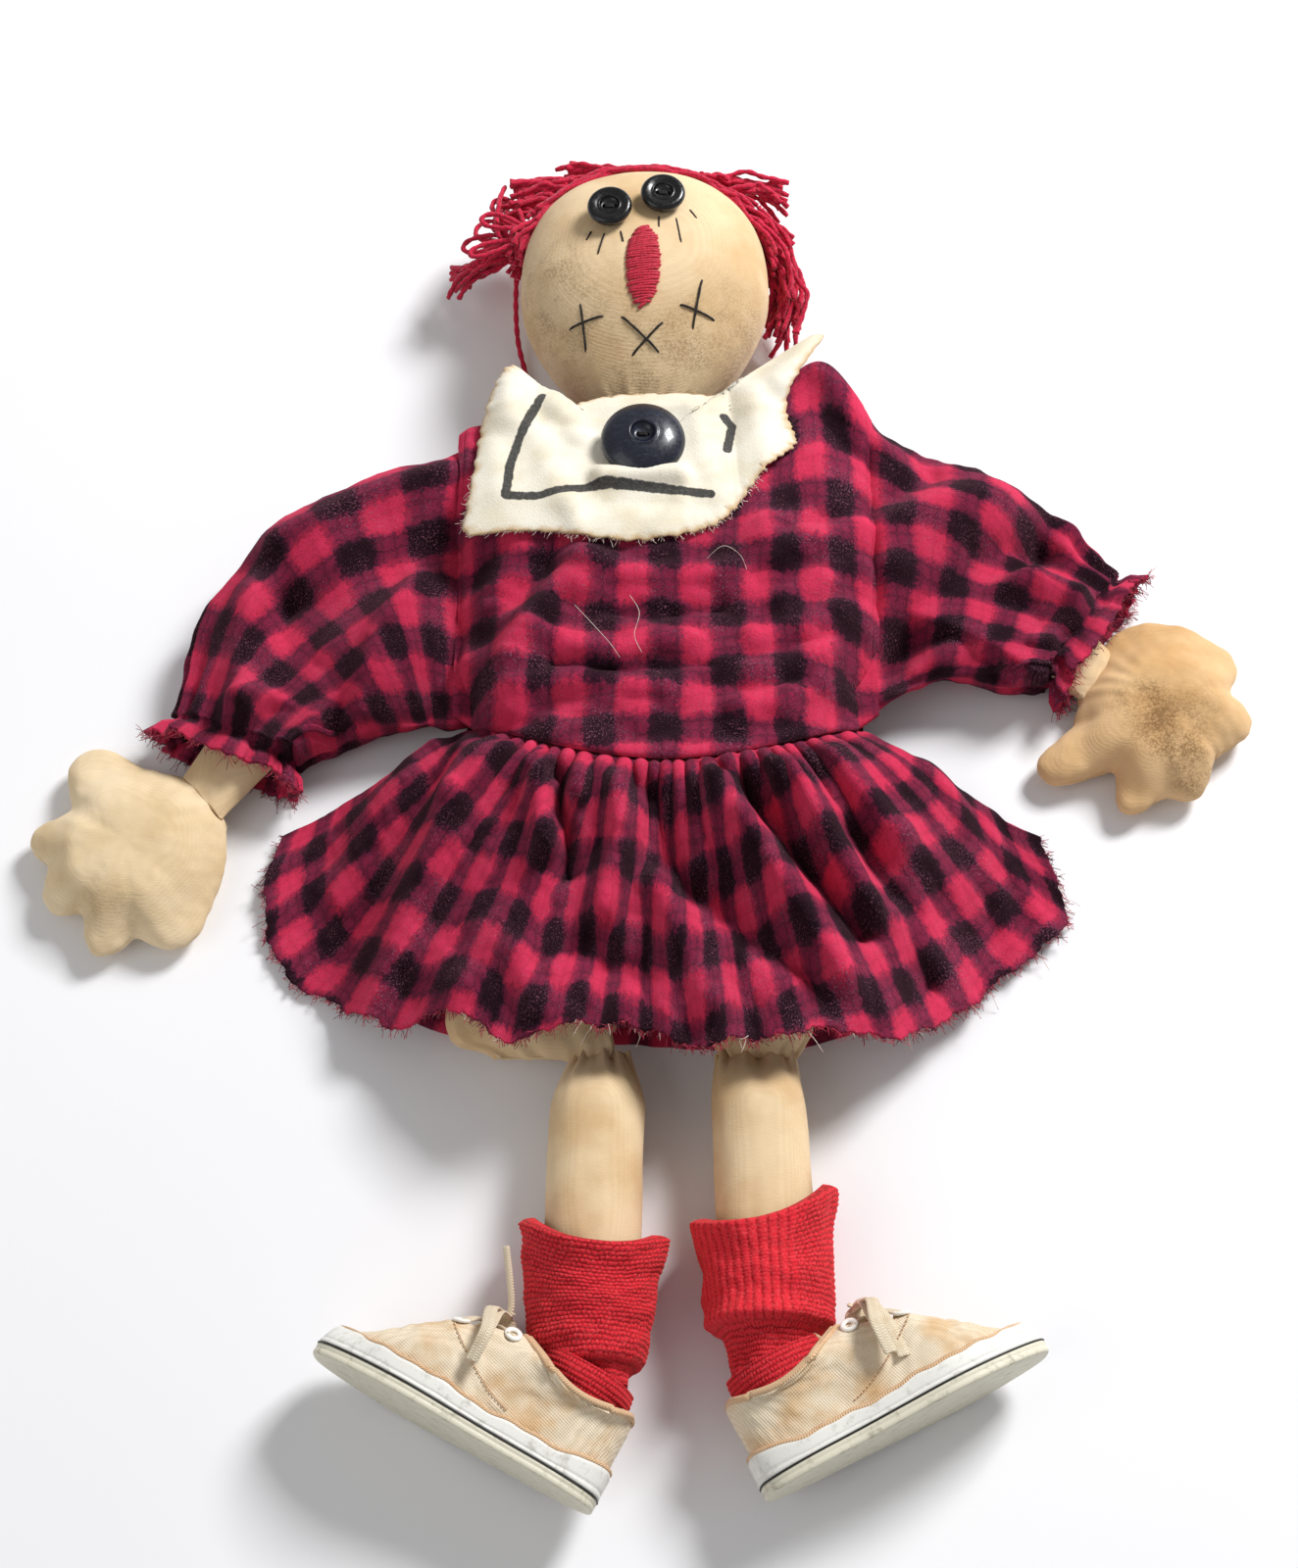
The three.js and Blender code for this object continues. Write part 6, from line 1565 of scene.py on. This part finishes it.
hanging = [
    tuft((50, 276, 38), (4, 10, 12), (61, 235, 18), (8, 9, 12), (8, 1, 0), (4, 4, 3), 36, 107, 0.8),
    tuft((47, 282, 42), (5, 6, 8), (63, 250, 26), (4, 12, 12), (6, 3, 2), (3, 3, 3), 10, 108),
]
spikes = [
    tuft((22, 299, 42), (8, 3, 6), (63, 306, 34), (3, 3, 5), (0, 3, 1), (3, 2, 2), 9, 109),
    tuft((34, 297, 42), (7, 4, 6), (62, 294, 32), (4, 4, 6), (2, 3, 1), (2, 2, 2), 7, 110),
    tuft((44, 285, 42), (5, 4, 5), (64, 278, 30), (4, 6, 6), (2, 2, 1), (2, 2, 2), 8, 111),
    tuft((-22, 299, 42), (8, 3, 6), (-61, 299, 36), (4, 5, 6), (-2, 4, 1), (2, 2, 2), 12, 112),
    tuft((-12, 302, 44), (8, 2, 6), (-40, 312, 38), (5, 2.5, 5), (0, 2, 1), (2, 2, 2), 9, 113),
    tuft((-40, 288, 40), (5, 4, 6), (-66, 290, 32), (4, 5, 6), (-1, 3, 1), (2, 2, 2), 9, 114),
    tuft((-26, 298, 40), (8, 3, 7), (-60, 305, 36), (5, 4, 6), (-1, 2, 1), (2, 2, 2), 12, 116),
    tuft((-30, 297, 36), (6, 3, 7), (-62, 294, 36), (3, 4, 6), (-1, 3, 1), (2, 2, 2), 10, 117),
    tuft((10, 302, 44), (12, 2, 5), (36, 304, 42), (5, 2.5, 5), (0, 2, 1), (2, 2, 2), 8, 115),
]
yarn_piece("hair_loose_ends", np.concatenate(spikes))
yarn_piece("hair_hanging_bunch", np.concatenate(hanging), ["hair_bunch_left"])
LONG_STRAND = [(-60, 268, 32), (-61.5, 262, 24), (-62, 250, 14), (-61, 238, 7), (-58, 226, 3),
               (-54, 212, 2.4)]
yarn_piece("hair_long_strand", [curve_through(LONG_STRAND, 60)])

# Socks: knitted tubes with turned-down cuffs that run on into the shoes

SOCKS = {"right": (-190, -246, -254.8), "left": (-180, -232, -251)}


def knit_relief(along, around, pitch, ribs):
    """Rows of stitches: rounded bumps along and round the tube, shifted by half a stitch from row to row."""
    row = along / pitch
    shift = 0.5 * (np.floor(row) % 2)
    return np.abs(np.sin(np.pi * row)) ** 0.8 * np.abs(np.sin(np.pi * (around * ribs + shift))) ** 0.8


for name, side in SIDES.items():
    cuff_top, cuff_low, low = SOCKS[name]
    sides, rows = 260, 190
    angle = TURN * np.arange(sides)[None] / sides
    around = np.arange(sides)[None] / sides
    y = np.linspace(cuff_top, low + 2, rows)[:, None]
    spots = stacked(y, 20 * np.cos(angle), 20 * np.sin(angle))
    t_shin = (y - KNEE + KNEE_GAP) / (SHIN_LOW - KNEE + KNEE_GAP)
    x, _, _, wide, _ = shin_at(name, np.clip(t_shin, 0, 1))
    cuff = 1 - smooth((cuff_low + 3 - y) / 5)
    roll = bump_at(y - cuff_top, 5) + bump_at(y - cuff_low - 3, 5)
    second = 1.3 * bump_at(y - (cuff_low + (10 if side < 0 else 2)), 4) * cuff
    ribbed = smooth(np.cos(angle - np.pi * 0.8) * 2) if side > 0 else 0.0
    worn = 0.35 * ripples(spots, 5, 117)
    pearl = knit_relief(y + worn, around + worn / 160, 2.1, 76)
    rib = np.abs(np.sin(around * np.pi * 44 + worn * 0.3)) ** 0.7
    fine = knit_relief(y + worn, around, 2.0, 84)
    relief = mix(pearl, mix(rib, pearl, 0.3), ribbed) * cuff + fine * (1 - cuff)
    body = wide + 1.1 + mix(2.0, 4.3, cuff) + roll + second
    flare = 2.4 * smooth((y - cuff_top + 18) / 18) + 1.2 * cuff
    out = body + flare + 0.75 * (relief - 0.5) * mix(0.8, 1.0, cuff) + 1.3 * ripples(spots, 22, 111 + side)
    lean = 3.5 if side < 0 else 7
    tilt = side * lean * np.cos(angle) - 12 * np.maximum(np.sin(angle), 0) ** 1.4
    tilt = tilt * smooth((y - cuff_low - 6) / (cuff_top - cuff_low - 6))
    below = smooth((cuff_low + 2 - y) / 8) * (1 if side < 0 else 0.6)
    out = out - 1.2 * below
    outer = stacked(x + out * np.cos(angle), y + tilt, SHIN_Z + out * np.sin(angle))
    inner_out = np.broadcast_to(wide + 0.9, out.shape) + flare * 0.8
    inner = stacked(x + inner_out * np.cos(angle), y + tilt, SHIN_Z + inner_out * np.sin(angle))
    lip = np.sqrt(1 - (1 - np.clip((cuff_top - y) / 3.2, 0, 1)) ** 2)
    outer = inner + (outer - inner) * np.maximum(lip, 0.12)[..., None]
    # The stitch relief goes on the mesh for the knit's painted shade.
    relief_shade_share = np.concatenate([relief, 0 * relief[::-1]])
    bend = (f"shin_{name}", f"foot_{name}", (x[-1, 0], cuff_low + 2, SHIN_Z), (x[-1, 0], low, SHIN_Z))
    piece = make_piece(f"sock_knit_{name}", wall_part(kept_up(outer), kept_up(inner, 0.4)), KNIT, None,
                       [f"sock_{name}"], shares={"stitch_relief_shade": relief_shade_share}, blend=bend)

# Shoes, worked out in their own frame: along the sole from the heel, up from the sole, across to the inner
# side

SHOE_LENGTH, SHOE_HALF, FLOOR_SIDE = 121.0, 25.0, 24.5
SOLE, FOXING, FOXING_WALL, CANVAS_WALL, INSOLE_THICK = 4.6, 9.0, 2.6, 1.9, 3.0
STITCH_STEP, STITCH_LENGTH, STITCH_ROW = 1.55, 1.05, 3.0
LACE_WIDTH, BOW_WIDTH, THIN_END, BOW_REACH = 5.0, 5.4, 2.6, 31.0
SOLE_SHARES = [0.8, 0.8, 0.76, 0.86, 1, 0.98, 0.86]
HEEL_INSET, COLLAR_RUN, THROAT_RUN = 4.0, 46.0, 34.0
OPENING_END = HEEL_INSET + COLLAR_RUN + THROAT_RUN
SHOES = {"right": ((-21.5, -299.6), 151.1), "left": ((43.5, -295.0), 26.8)}


def shoe_place(name, points):
    """Points of a shoe's frame, as (along, up, across), in the doll's frame."""
    heel, degrees = SHOES[name]
    inner = SIDES[name]
    turn = np.radians(degrees)
    along = np.array([np.cos(turn), np.sin(turn), 0])
    up = np.array([-inner * np.sin(turn), inner * np.cos(turn), 0])
    across = np.array([0, 0, inner])
    points = np.array(points, float)
    low = SOLE + GAP
    drop = 1 - 0.34 * smooth((points[..., 0] - 76) / 40)
    points[..., 1] = np.where(points[..., 1] > low, low + (points[..., 1] - low) * drop, points[..., 1])
    return points @ np.stack([along, up, across]) + np.array([heel[0], heel[1], FLOOR_SIDE])


def sole_outline(angle, inset):
    """The sole's outline, walked round from the heel, as a place along it and across it."""
    s = inset + (SHOE_LENGTH - 2 * inset) * (1 - np.cos(angle)) / 2
    half = SHOE_HALF * share_at(SOLE_SHARES, s / SHOE_LENGTH)
    return s, signed_power(np.sin(angle), 0.62) * (half - inset)


def topline_height(s):
    """The opening's height: it dips at the ankle and falls along the throat."""
    along = np.clip((s - HEEL_INSET) / COLLAR_RUN, 0, 1)
    throat = np.clip((s - HEEL_INSET - COLLAR_RUN) / THROAT_RUN, 0, 1)
    return mix(37, 43, smooth(along)) - 7 * np.sin(np.pi * along) - 12 * throat


def topline_half(s):
    """Half the opening's width: wide at the ankle, narrow at the throat."""
    return mix(43, 17, smooth((s - COLLAR_RUN * 0.75) / (COLLAR_RUN * 0.4))) / 2


def upper_point(angle, climb):
    """The upper's surface: from the foxing it climbs steeply and then turns in to the topline."""
    s0, w0 = sole_outline(angle, FOXING_WALL + GAP)
    s1 = HEEL_INSET + (OPENING_END - HEEL_INSET) * (1 - np.cos(angle)) / 2
    w1 = signed_power(np.sin(angle), 0.5) * topline_half(s1)
    inward = (1 - np.cos(climb)) ** mix(1.15, 0.72, toe_share(s0))
    low = SOLE + GAP + INSOLE_THICK + GAP
    return stacked(mix(s0, s1, inward), mix(low, topline_height(s1), np.sin(climb)), mix(w0, w1, inward))


def upper_normal(angle, climb):
    """The direction square to the upper, from the differences of its neighbours, turned outwards."""
    a = upper_point(angle + 0.02, climb) - upper_point(angle - 0.02, climb)
    b = upper_point(angle, climb + 0.02) - upper_point(angle, climb - 0.02)
    normal = np.cross(a, b)
    normal = normal / (np.linalg.norm(normal, axis=-1, keepdims=True) + 1e-9)
    point = upper_point(angle, climb)
    out = point - np.array([OPENING_END / 2, 2.0, 0])
    return normal * np.sign((normal * out).sum(-1, keepdims=True))


def strip_part(points, lift, width, thick):
    """A flat lace: a rounded flat section carried along a path; lift is the direction of its thin side."""
    points, lift = np.asarray(points, float), np.asarray(lift, float)
    along = np.gradient(points, axis=0)
    along /= np.linalg.norm(along, axis=1)[:, None]
    side = np.cross(along, lift)
    side /= np.linalg.norm(side, axis=1)[:, None]
    up = np.cross(side, along)
    angle = TURN * np.arange(12) / 12
    out = width / 2 * signed_power(np.cos(angle), 0.5)
    high = thick / 2 * signed_power(np.sin(angle), 0.9)
    grid = points[:, None] + side[:, None] * out[None, :, None] + up[:, None] * high[None, :, None]
    run = np.concatenate([[0], np.cumsum(np.linalg.norm(np.diff(points, axis=0), axis=1))])
    across = np.concatenate([out, out[:1]])
    places = stacked(run[:, None], across[None])
    return closed_part(grid, places)


def toe_share(s):
    """How far on the toe a place is: nothing before the cap, 1 at the tip."""
    return smooth((s / SHOE_LENGTH - 0.8) / 0.15)


def seam_height(s):
    """The seam between the vamp and the quarters: it climbs ever faster from the foxing to the throat."""
    return mix(12.0, 34.0, np.clip((s - 42) / 40, 0, 1) ** 1.5)


def foxing_top(s):
    """The height of the foxing's upper edge: higher at the toe and heel, low at the waist, a little wavy."""
    heel = smooth((18 - s) / 12)
    wave = 0.5 * np.sin(s * 0.21) + 0.3 * np.sin(s * 0.47 + 1)
    return SOLE + GAP + FOXING + 5 * toe_share(s) + 1.5 * heel - 2.6 * np.sin(np.pi
                                                                              * np.clip(s / 96, 0, 1)) + wave


for name, inner in SIDES.items():
    body = f"foot_{name}"

    def on_floor(points):
        """The side that lies on the floor is pressed flat there."""
        points = points.copy()
        points[..., 2] = inner * np.maximum(inner * points[..., 2], -FLOOR_SIDE)
        return points

    def put(piece, part, finish, nodes=(), name=name, body=body):
        placed = (shoe_place(name, part[0]), *part[1:])
        return make_piece(f"{piece}_{name}", placed, finish, body, nodes)

    angles = TURN * (np.arange(160) + 0.5) / 160

    def sole_ring(inset, height, angles=angles):
        s, w = sole_outline(angles, inset)
        return stacked(s, height(s) if callable(height) else height, w)

    treads = [(1.6, 0.0), (0.4, 0.1), (0.0, 0.7), (0.0, 2.2), (0.35, 2.6), (0.0, 3.0), (0.0, SOLE - 0.3),
              (0.5, SOLE)]
    sole = np.stack([sole_ring(inset, height) for inset, height in treads])
    put("outsole", closed_part(on_floor(sole)), GREEN_RUBBER, [f"shoe_outsole_{name}"])

    levels = np.array([0, 0.04, 0.1, 0.2, 0.24, 0.28, 0.4, 0.6, 0.8, 0.9, 0.96, 1.0])
    outer_rings, inner_rings = [], []
    for level in levels:
        round_in = 0.7 * bump_at(level - 1, 0.05) + 0.5 * bump_at(level, 0.03)
        line = 0.35 * bump_at(level - 0.24, 0.03)
        ring = sole_ring(0.0, lambda s, level=level: mix(SOLE + GAP, foxing_top(s), level))
        s = ring[:, 0]
        toe = toe_share(s)
        ribs = 0.25 * toe * np.sin(np.abs(ring[:, 2]) * 2.6) * (0.3 < level < 0.9)
        inset = round_in + line - 0.3 * bump_at(level - 0.14, 0.06) + 3.6 * toe * level**1.6
        s_in, w_in = sole_outline(angles, inset)
        ring[:, 0] = s_in + ribs
        ring[:, 2] = w_in
        outer_rings.append(ring)
        s_wall, w_wall = sole_outline(angles, np.maximum(FOXING_WALL, inset + 1.0))
        inner_rings.append(stacked(s_wall, ring[:, 1], w_wall))
    put("foxing", wall_part(on_floor(np.array(outer_rings)), on_floor(np.array(inner_rings))), WHITE_RUBBER,
        [f"shoe_foxing_{name}"])
    lines = []
    for level, inset, radius in ((0.0, 0.0, 0.42), (1.0, 1.0, 0.95)):
        line_s, _ = sole_outline(angles, 0.0)
        line_s, line_w = sole_outline(angles, inset + 3.6 * level * toe_share(line_s))
        line_h = mix(SOLE + GAP / 2, foxing_top(line_s) + 0.3, level)
        line = on_floor(stacked(line_s, line_h, line_w))
        lines.append(strand_part([np.concatenate([line, line[:1]])], radius, 6))
    put("dark_line", lines[0], DARK_LINE)
    put("foxing_welt", lines[1], BINDING)
    board = np.stack([sole_ring(FOXING_WALL + GAP, h) for h in (SOLE + GAP, SOLE + GAP + INSOLE_THICK)])
    put("insole", closed_part(board), INSOLE, [f"shoe_insole_{name}"])

    # The canvas upper, with a step at the vamp's seam and creases where the toes bend
    turn = (TURN * (np.arange(200) + 0.5) / 200)[None]
    climb = (np.pi / 2 * np.linspace(0, 1, 48))[:, None]
    outer = upper_point(turn, climb)
    normals = upper_normal(turn, climb)
    seam_s = outer[..., 0]
    seam_h = outer[..., 1]
    vamp_line = seam_h - seam_height(seam_s)
    step_up = 0.6 * smooth(vamp_line / 0.8 + 0.5) * smooth((86 - seam_s) / 3)
    crumple = 0.8 * ripples(outer, 24, 121 + inner) * np.sin(climb) ** 0.5
    flex = -0.9 * bump_at(seam_s - 88 - 1.5 * np.abs(outer[..., 2]) / 10,
                          1.6) - 0.8 * bump_at(seam_s - 95, 1.5)
    outer = outer + normals * (step_up + crumple + flex * smooth((seam_h - 18) / 8))[..., None]
    inner_grid = outer - normals * CANVAS_WALL
    put("canvas_upper", wall_part(outer, inner_grid), CANVAS, [f"shoe_upper_{name}"])

    rim_angle = np.linspace(0, TURN, 220)
    rim_path = upper_point(rim_angle, np.full(220, np.pi / 2 * 0.985))
    out = upper_normal(rim_angle, np.full(220, np.pi / 2 * 0.9))
    keep = rim_path[:, 0] < COLLAR_RUN + 6
    bindings = []
    for drop, radius in ((0.0, 1.35), (1.0, 1.0)):
        climb_here = np.pi / 2 * (0.985 - 0.045 * drop)
        path = upper_point(rim_angle, np.full(220, climb_here)) + out * (0.5 + 0.2 * drop)
        rolled = np.roll(path, -(len(path) // 2), axis=0)
        rolled_keep = np.roll(keep, -(len(path) // 2))
        bindings.append(strand_part([rolled[rolled_keep]], radius, 8))
    put("topline_binding", joined(bindings), BINDING)

    # Topstitching above the vamp's seam: a row of short stitches, found on the upper by their height
    stitch_paths = []
    climbs = np.linspace(0.02, 0.98, 300) * np.pi / 2
    for sign in (1, -1):
        for s_here in np.arange(44, 82, STITCH_STEP):
            ends = []
            for s_end in (s_here, s_here + STITCH_LENGTH):
                turns = np.arccos(np.clip(1 - 2 * (s_end - 3) / (SHOE_LENGTH - 6), -1, 1))
                for _ in range(4):
                    line = upper_point(np.full(300, sign * turns), climbs)
                    k = int(np.argmin(np.abs(line[:, 1] - seam_height(s_end) - STITCH_ROW)))
                    turns = np.clip(turns + (s_end - line[k, 0]) / 55, 0.05, 3.0)
                ends.append((line[k], upper_normal(np.array([sign * turns]), climbs[k:k + 1])[0]))
            t = np.linspace(0, 1, 6)[:, None]
            stitch_paths.append(mix(ends[0][0], ends[1][0], t) + ends[0][1] * (1.25 - 0.7 * (2 * t - 1) ** 4))
    put("topstitching", strand_part(stitch_paths, 0.24, 5), BINDING)

    # Foot in its sock: the part inside the shoe
    foot_low = SOLE + GAP + INSOLE_THICK + GAP

    def sole_part(t):
        return (mix(9, 109, t), foot_low + GAP + 9, 0,
                9 * share_at([0.4, 1, 1, 0.95, 0.7, 0.3], t),
                17 * share_at([0.35, 0.7, 0.72, 0.9, 0.85, 0.35], t))

    def instep_part(t):
        return (28 + 1.8 * (1 - t), mix(foot_low + 9, 33.5, t), 0,
                13.5 * share_at([1, 0.9, 0.2], t), 13.5 * mix(0.95, 0.8, t))

    foot = joined([closed_part(limb(sole_part, 36, 30)), closed_part(limb(instep_part, 36, 16))])
    put("foot_stuffed", foot, MUSLIN, [f"foot_{name}"])
    t = np.linspace(0, 1, 80)[:, None]
    around = np.arange(240)[None] / 240
    ring = around * TURN
    half = mix(11.0, 18.0, smooth(t * 1.1))
    sock_x = 26.5 + 0 * t + half * 1.1 * np.cos(ring)
    sock_h = mix(foot_low + 8, 45.0, t) + 0 * ring
    sock_w = half * 0.98 * np.sin(ring)
    tube = stacked(sock_x, sock_h, sock_w)
    knit = knit_relief(sock_h, around, 2.0, 84)
    tube = swollen(tube, 0.8 * ripples(tube, 15, 131 + inner, 2, (0.5, 1, 0.5)) + 0.6 * (knit - 0.5))
    lining = swollen(tube, np.full(tube.shape[:2], -1.6))
    # The stitch relief goes on the mesh for the knit's painted shade.
    knit_shade_rows = np.concatenate([knit, knit[::-1]])
    placed = wall_part(shoe_place(name, tube), shoe_place(name, lining))
    make_piece(f"sock_ankle_{name}", placed, KNIT, body, (), shares={"stitch_relief_shade": knit_shade_rows})

    # Tongue
    tongue_line = curve_through([
        [OPENING_END + 2, topline_height(OPENING_END) - 5.2, 0], [68, topline_height(68.0) - 4.6, 0],
        [53, topline_height(53.0) - 4.0, 0], [47, topline_height(50.0) - 2.0, 0],
        [44, topline_height(50.0) + 2.6, 0],
    ], 36)
    put("padded_tongue", strip_part(tongue_line, np.tile([0.2, 1.0, 0], (36, 1)), 15.8, 2.6), CANVAS,
        [f"shoe_tongue_{name}"])

    # Eyelets and lace
    seats = {}
    for end, s, seat_climb in (("front", 64.5, 1.16), ("rear", 49.0, 1.22)):
        angle = np.arccos(1 - 2 * (s - HEEL_INSET) / (OPENING_END - HEEL_INSET))
        for edge_name, sign in (("inner", inner), ("outer", -inner)):
            at = upper_point(np.array(sign * angle), np.array(seat_climb))
            normal = upper_normal(np.array(sign * angle), np.array(seat_climb))
            normal = normal * np.sign(normal[1])
            profile = np.array([[2.5 + 1.05 * np.cos(a),
                                 0.75 * np.sin(a)] for a in np.linspace(0, TURN, 17)[:-1]])
            ring = turned(profile, 40)
            quads, _ = grid_faces(*ring.shape[:2], True, True)
            flat = tilted(ring.reshape(-1, 3), at + normal * 1.2, normal)
            part = (flat, quads, np.zeros((0, 3), int), np.zeros((len(quads), 4, 2)), np.zeros((0, 3, 2)))
            put(f"eyelet_ring_{end}_{edge_name}", part, ENAMEL, [f"eyelet_{end}_{edge_name}_{name}"])
            seats[f"{end}_{edge_name}"] = at + normal * 2.2
    strips = []
    for k, (a_name, b_name) in enumerate((("front_inner", "front_outer"), ("front_inner", "rear_outer"),
                                          ("front_outer", "rear_inner"))):
        a, b = seats[a_name], seats[b_name]
        middle = (a + b) / 2
        high = float(topline_height(middle[0])) + 3.2 + 0.9 * k
        line = curve_through([a - (0, 1.6, 0), [mix(a[0], middle[0], 0.5), max(a[1], high) + 0.3,
                                                mix(a[2], 0, 0.5)],
                              [middle[0], high, 0],
                              [mix(b[0], middle[0], 0.5), max(b[1], high) + 0.3, mix(b[2], 0, 0.5)],
                              b - (0, 1.6, 0)])
        strips.append(strip_part(line, np.tile([0.0, 1.0, 0], (len(line), 1)), LACE_WIDTH, 1.2))
    knot = np.array([63.0, float(topline_height(63.0)) + 6.6, 0.0])
    knot_turn = np.linspace(0, TURN * 0.95, 30)
    wrap = stacked(knot[0] + 2.8 * np.cos(knot_turn), knot[1] - 1 + 2.6 * np.sin(knot_turn),
                   knot[2] + 2.0 * np.sin(knot_turn / 2))
    strips.append(strip_part(wrap, np.tile([0.1, 0.2, 1.0], (30, 1)), 5.2, 1.5))
    put("tied_lace", joined(strips), LACE, [f"lace_{name}"])
    top = knot[1] + 3.4
    bows_in_shares = [
        [[0, 0, -0.12], [0.1, 0.04, 0.3], [0.06, 0.3, 0.62], [0, 0.82, 0.84]],
        [[0, 0.82, 0.84], [0.02, 0.42, 0.88], [0.16, 0.08, 0.5], [0.02, 0, -0.05]],
        [[0, 0, 0.12], [0.1, -0.06, -0.3], [0.12, 0.2, -0.7]],
        [[0, 0, 0.1], [0.08, -0.2, 0.16], [0.42, -0.68, 0.4]] if inner < 0 else
        [[0, 0, 0.1], [0.16, 0.06, 0.3], [0.2, 0.45, 0.56], [0.16, 0.9, 0.66]],
    ]
    strips = []
    for k, shares in enumerate(bows_in_shares):
        width = THIN_END if inner < 0 and k == 3 else BOW_WIDTH
        corners = [[knot[0] + ahead * BOW_REACH, top - drop * BOW_REACH, inner * sideways * BOW_REACH]
                   for ahead, drop, sideways in shares]
        line = curve_through(corners, 36)
        strips.append(strip_part(line, np.tile([0.3, 0.35, 0.9 * inner], (36, 1)), width, 1.3))
    put("lace_bow", joined(strips), LACE, [f"bow_{name}"])

# Floor, light and camera


FLOOR_HALF, WORLD_STRENGTH = 6.0, 0.33
CAMERA_PLACE, CAMERA_TARGET, LENS, SENSOR_HEIGHT = (0, -0.476, 1.0), (0, 0, 0.025), 59.31, 36


def add_stage():
    mesh = bpy.data.meshes.new("floor")
    half = FLOOR_HALF
    mesh.from_pydata([(-half, -half, 0), (half, -half, 0), (half, half, 0), (-half, half, 0)], [],
                     [(0, 1, 2, 3)])
    floor = bpy.data.objects.new("floor", mesh)
    material, tree, shader = start_finish("floor paint", Roughness=0.9, Specular_IOR_Level=0.1)
    colour = blended(tree, speckle(tree, object_place(tree), 3), shade("f4f4f6"), shade("efeff2"))
    lit(tree, shader, colour)
    mesh.materials.append(material)
    bpy.context.scene.collection.objects.link(floor)


def add_light(name, place, size, power):
    lamp = bpy.data.lights.new(name, "AREA")
    lamp.size = size
    lamp.energy = power
    holder = bpy.data.objects.new(name, lamp)
    holder.location = place
    holder.rotation_euler = (-Vector(place)).to_track_quat("-Z", "Y").to_euler()
    bpy.context.scene.collection.objects.link(holder)


def add_world():
    world = bpy.data.worlds.new("room")
    bpy.context.scene.world = world
    world.use_nodes = True
    tree = world.node_tree
    ground = tree.nodes["Background"]
    path = node(tree, "LightPath")
    seen = sums(tree, "MAXIMUM", path.outputs["Is Camera Ray"], path.outputs["Is Transmission Ray"])
    tree.links.new(span(tree, seen, 0, 1, WORLD_STRENGTH, 1.0), ground.inputs["Strength"])
    ground.inputs["Color"].default_value = (1, 1, 1, 1)


def add_camera():
    camera = bpy.data.cameras.new("camera")
    camera.sensor_fit = "VERTICAL"
    camera.sensor_height = SENSOR_HEIGHT
    camera.lens = LENS
    holder = bpy.data.objects.new("camera", camera)
    holder.location = CAMERA_PLACE
    holder.rotation_euler = (Vector(CAMERA_TARGET) - Vector(CAMERA_PLACE)).to_track_quat("-Z", "Y").to_euler()
    bpy.context.scene.collection.objects.link(holder)
    bpy.context.scene.camera = holder


add_camera()
add_stage()
add_light("key", (1.25, 1.25, 1.6), 0.7, 66)
add_light("fill", (-1.6, -0.9, 1.6), 1.6, 10)
add_world()
bpy.context.scene.view_settings.view_transform = "Standard"
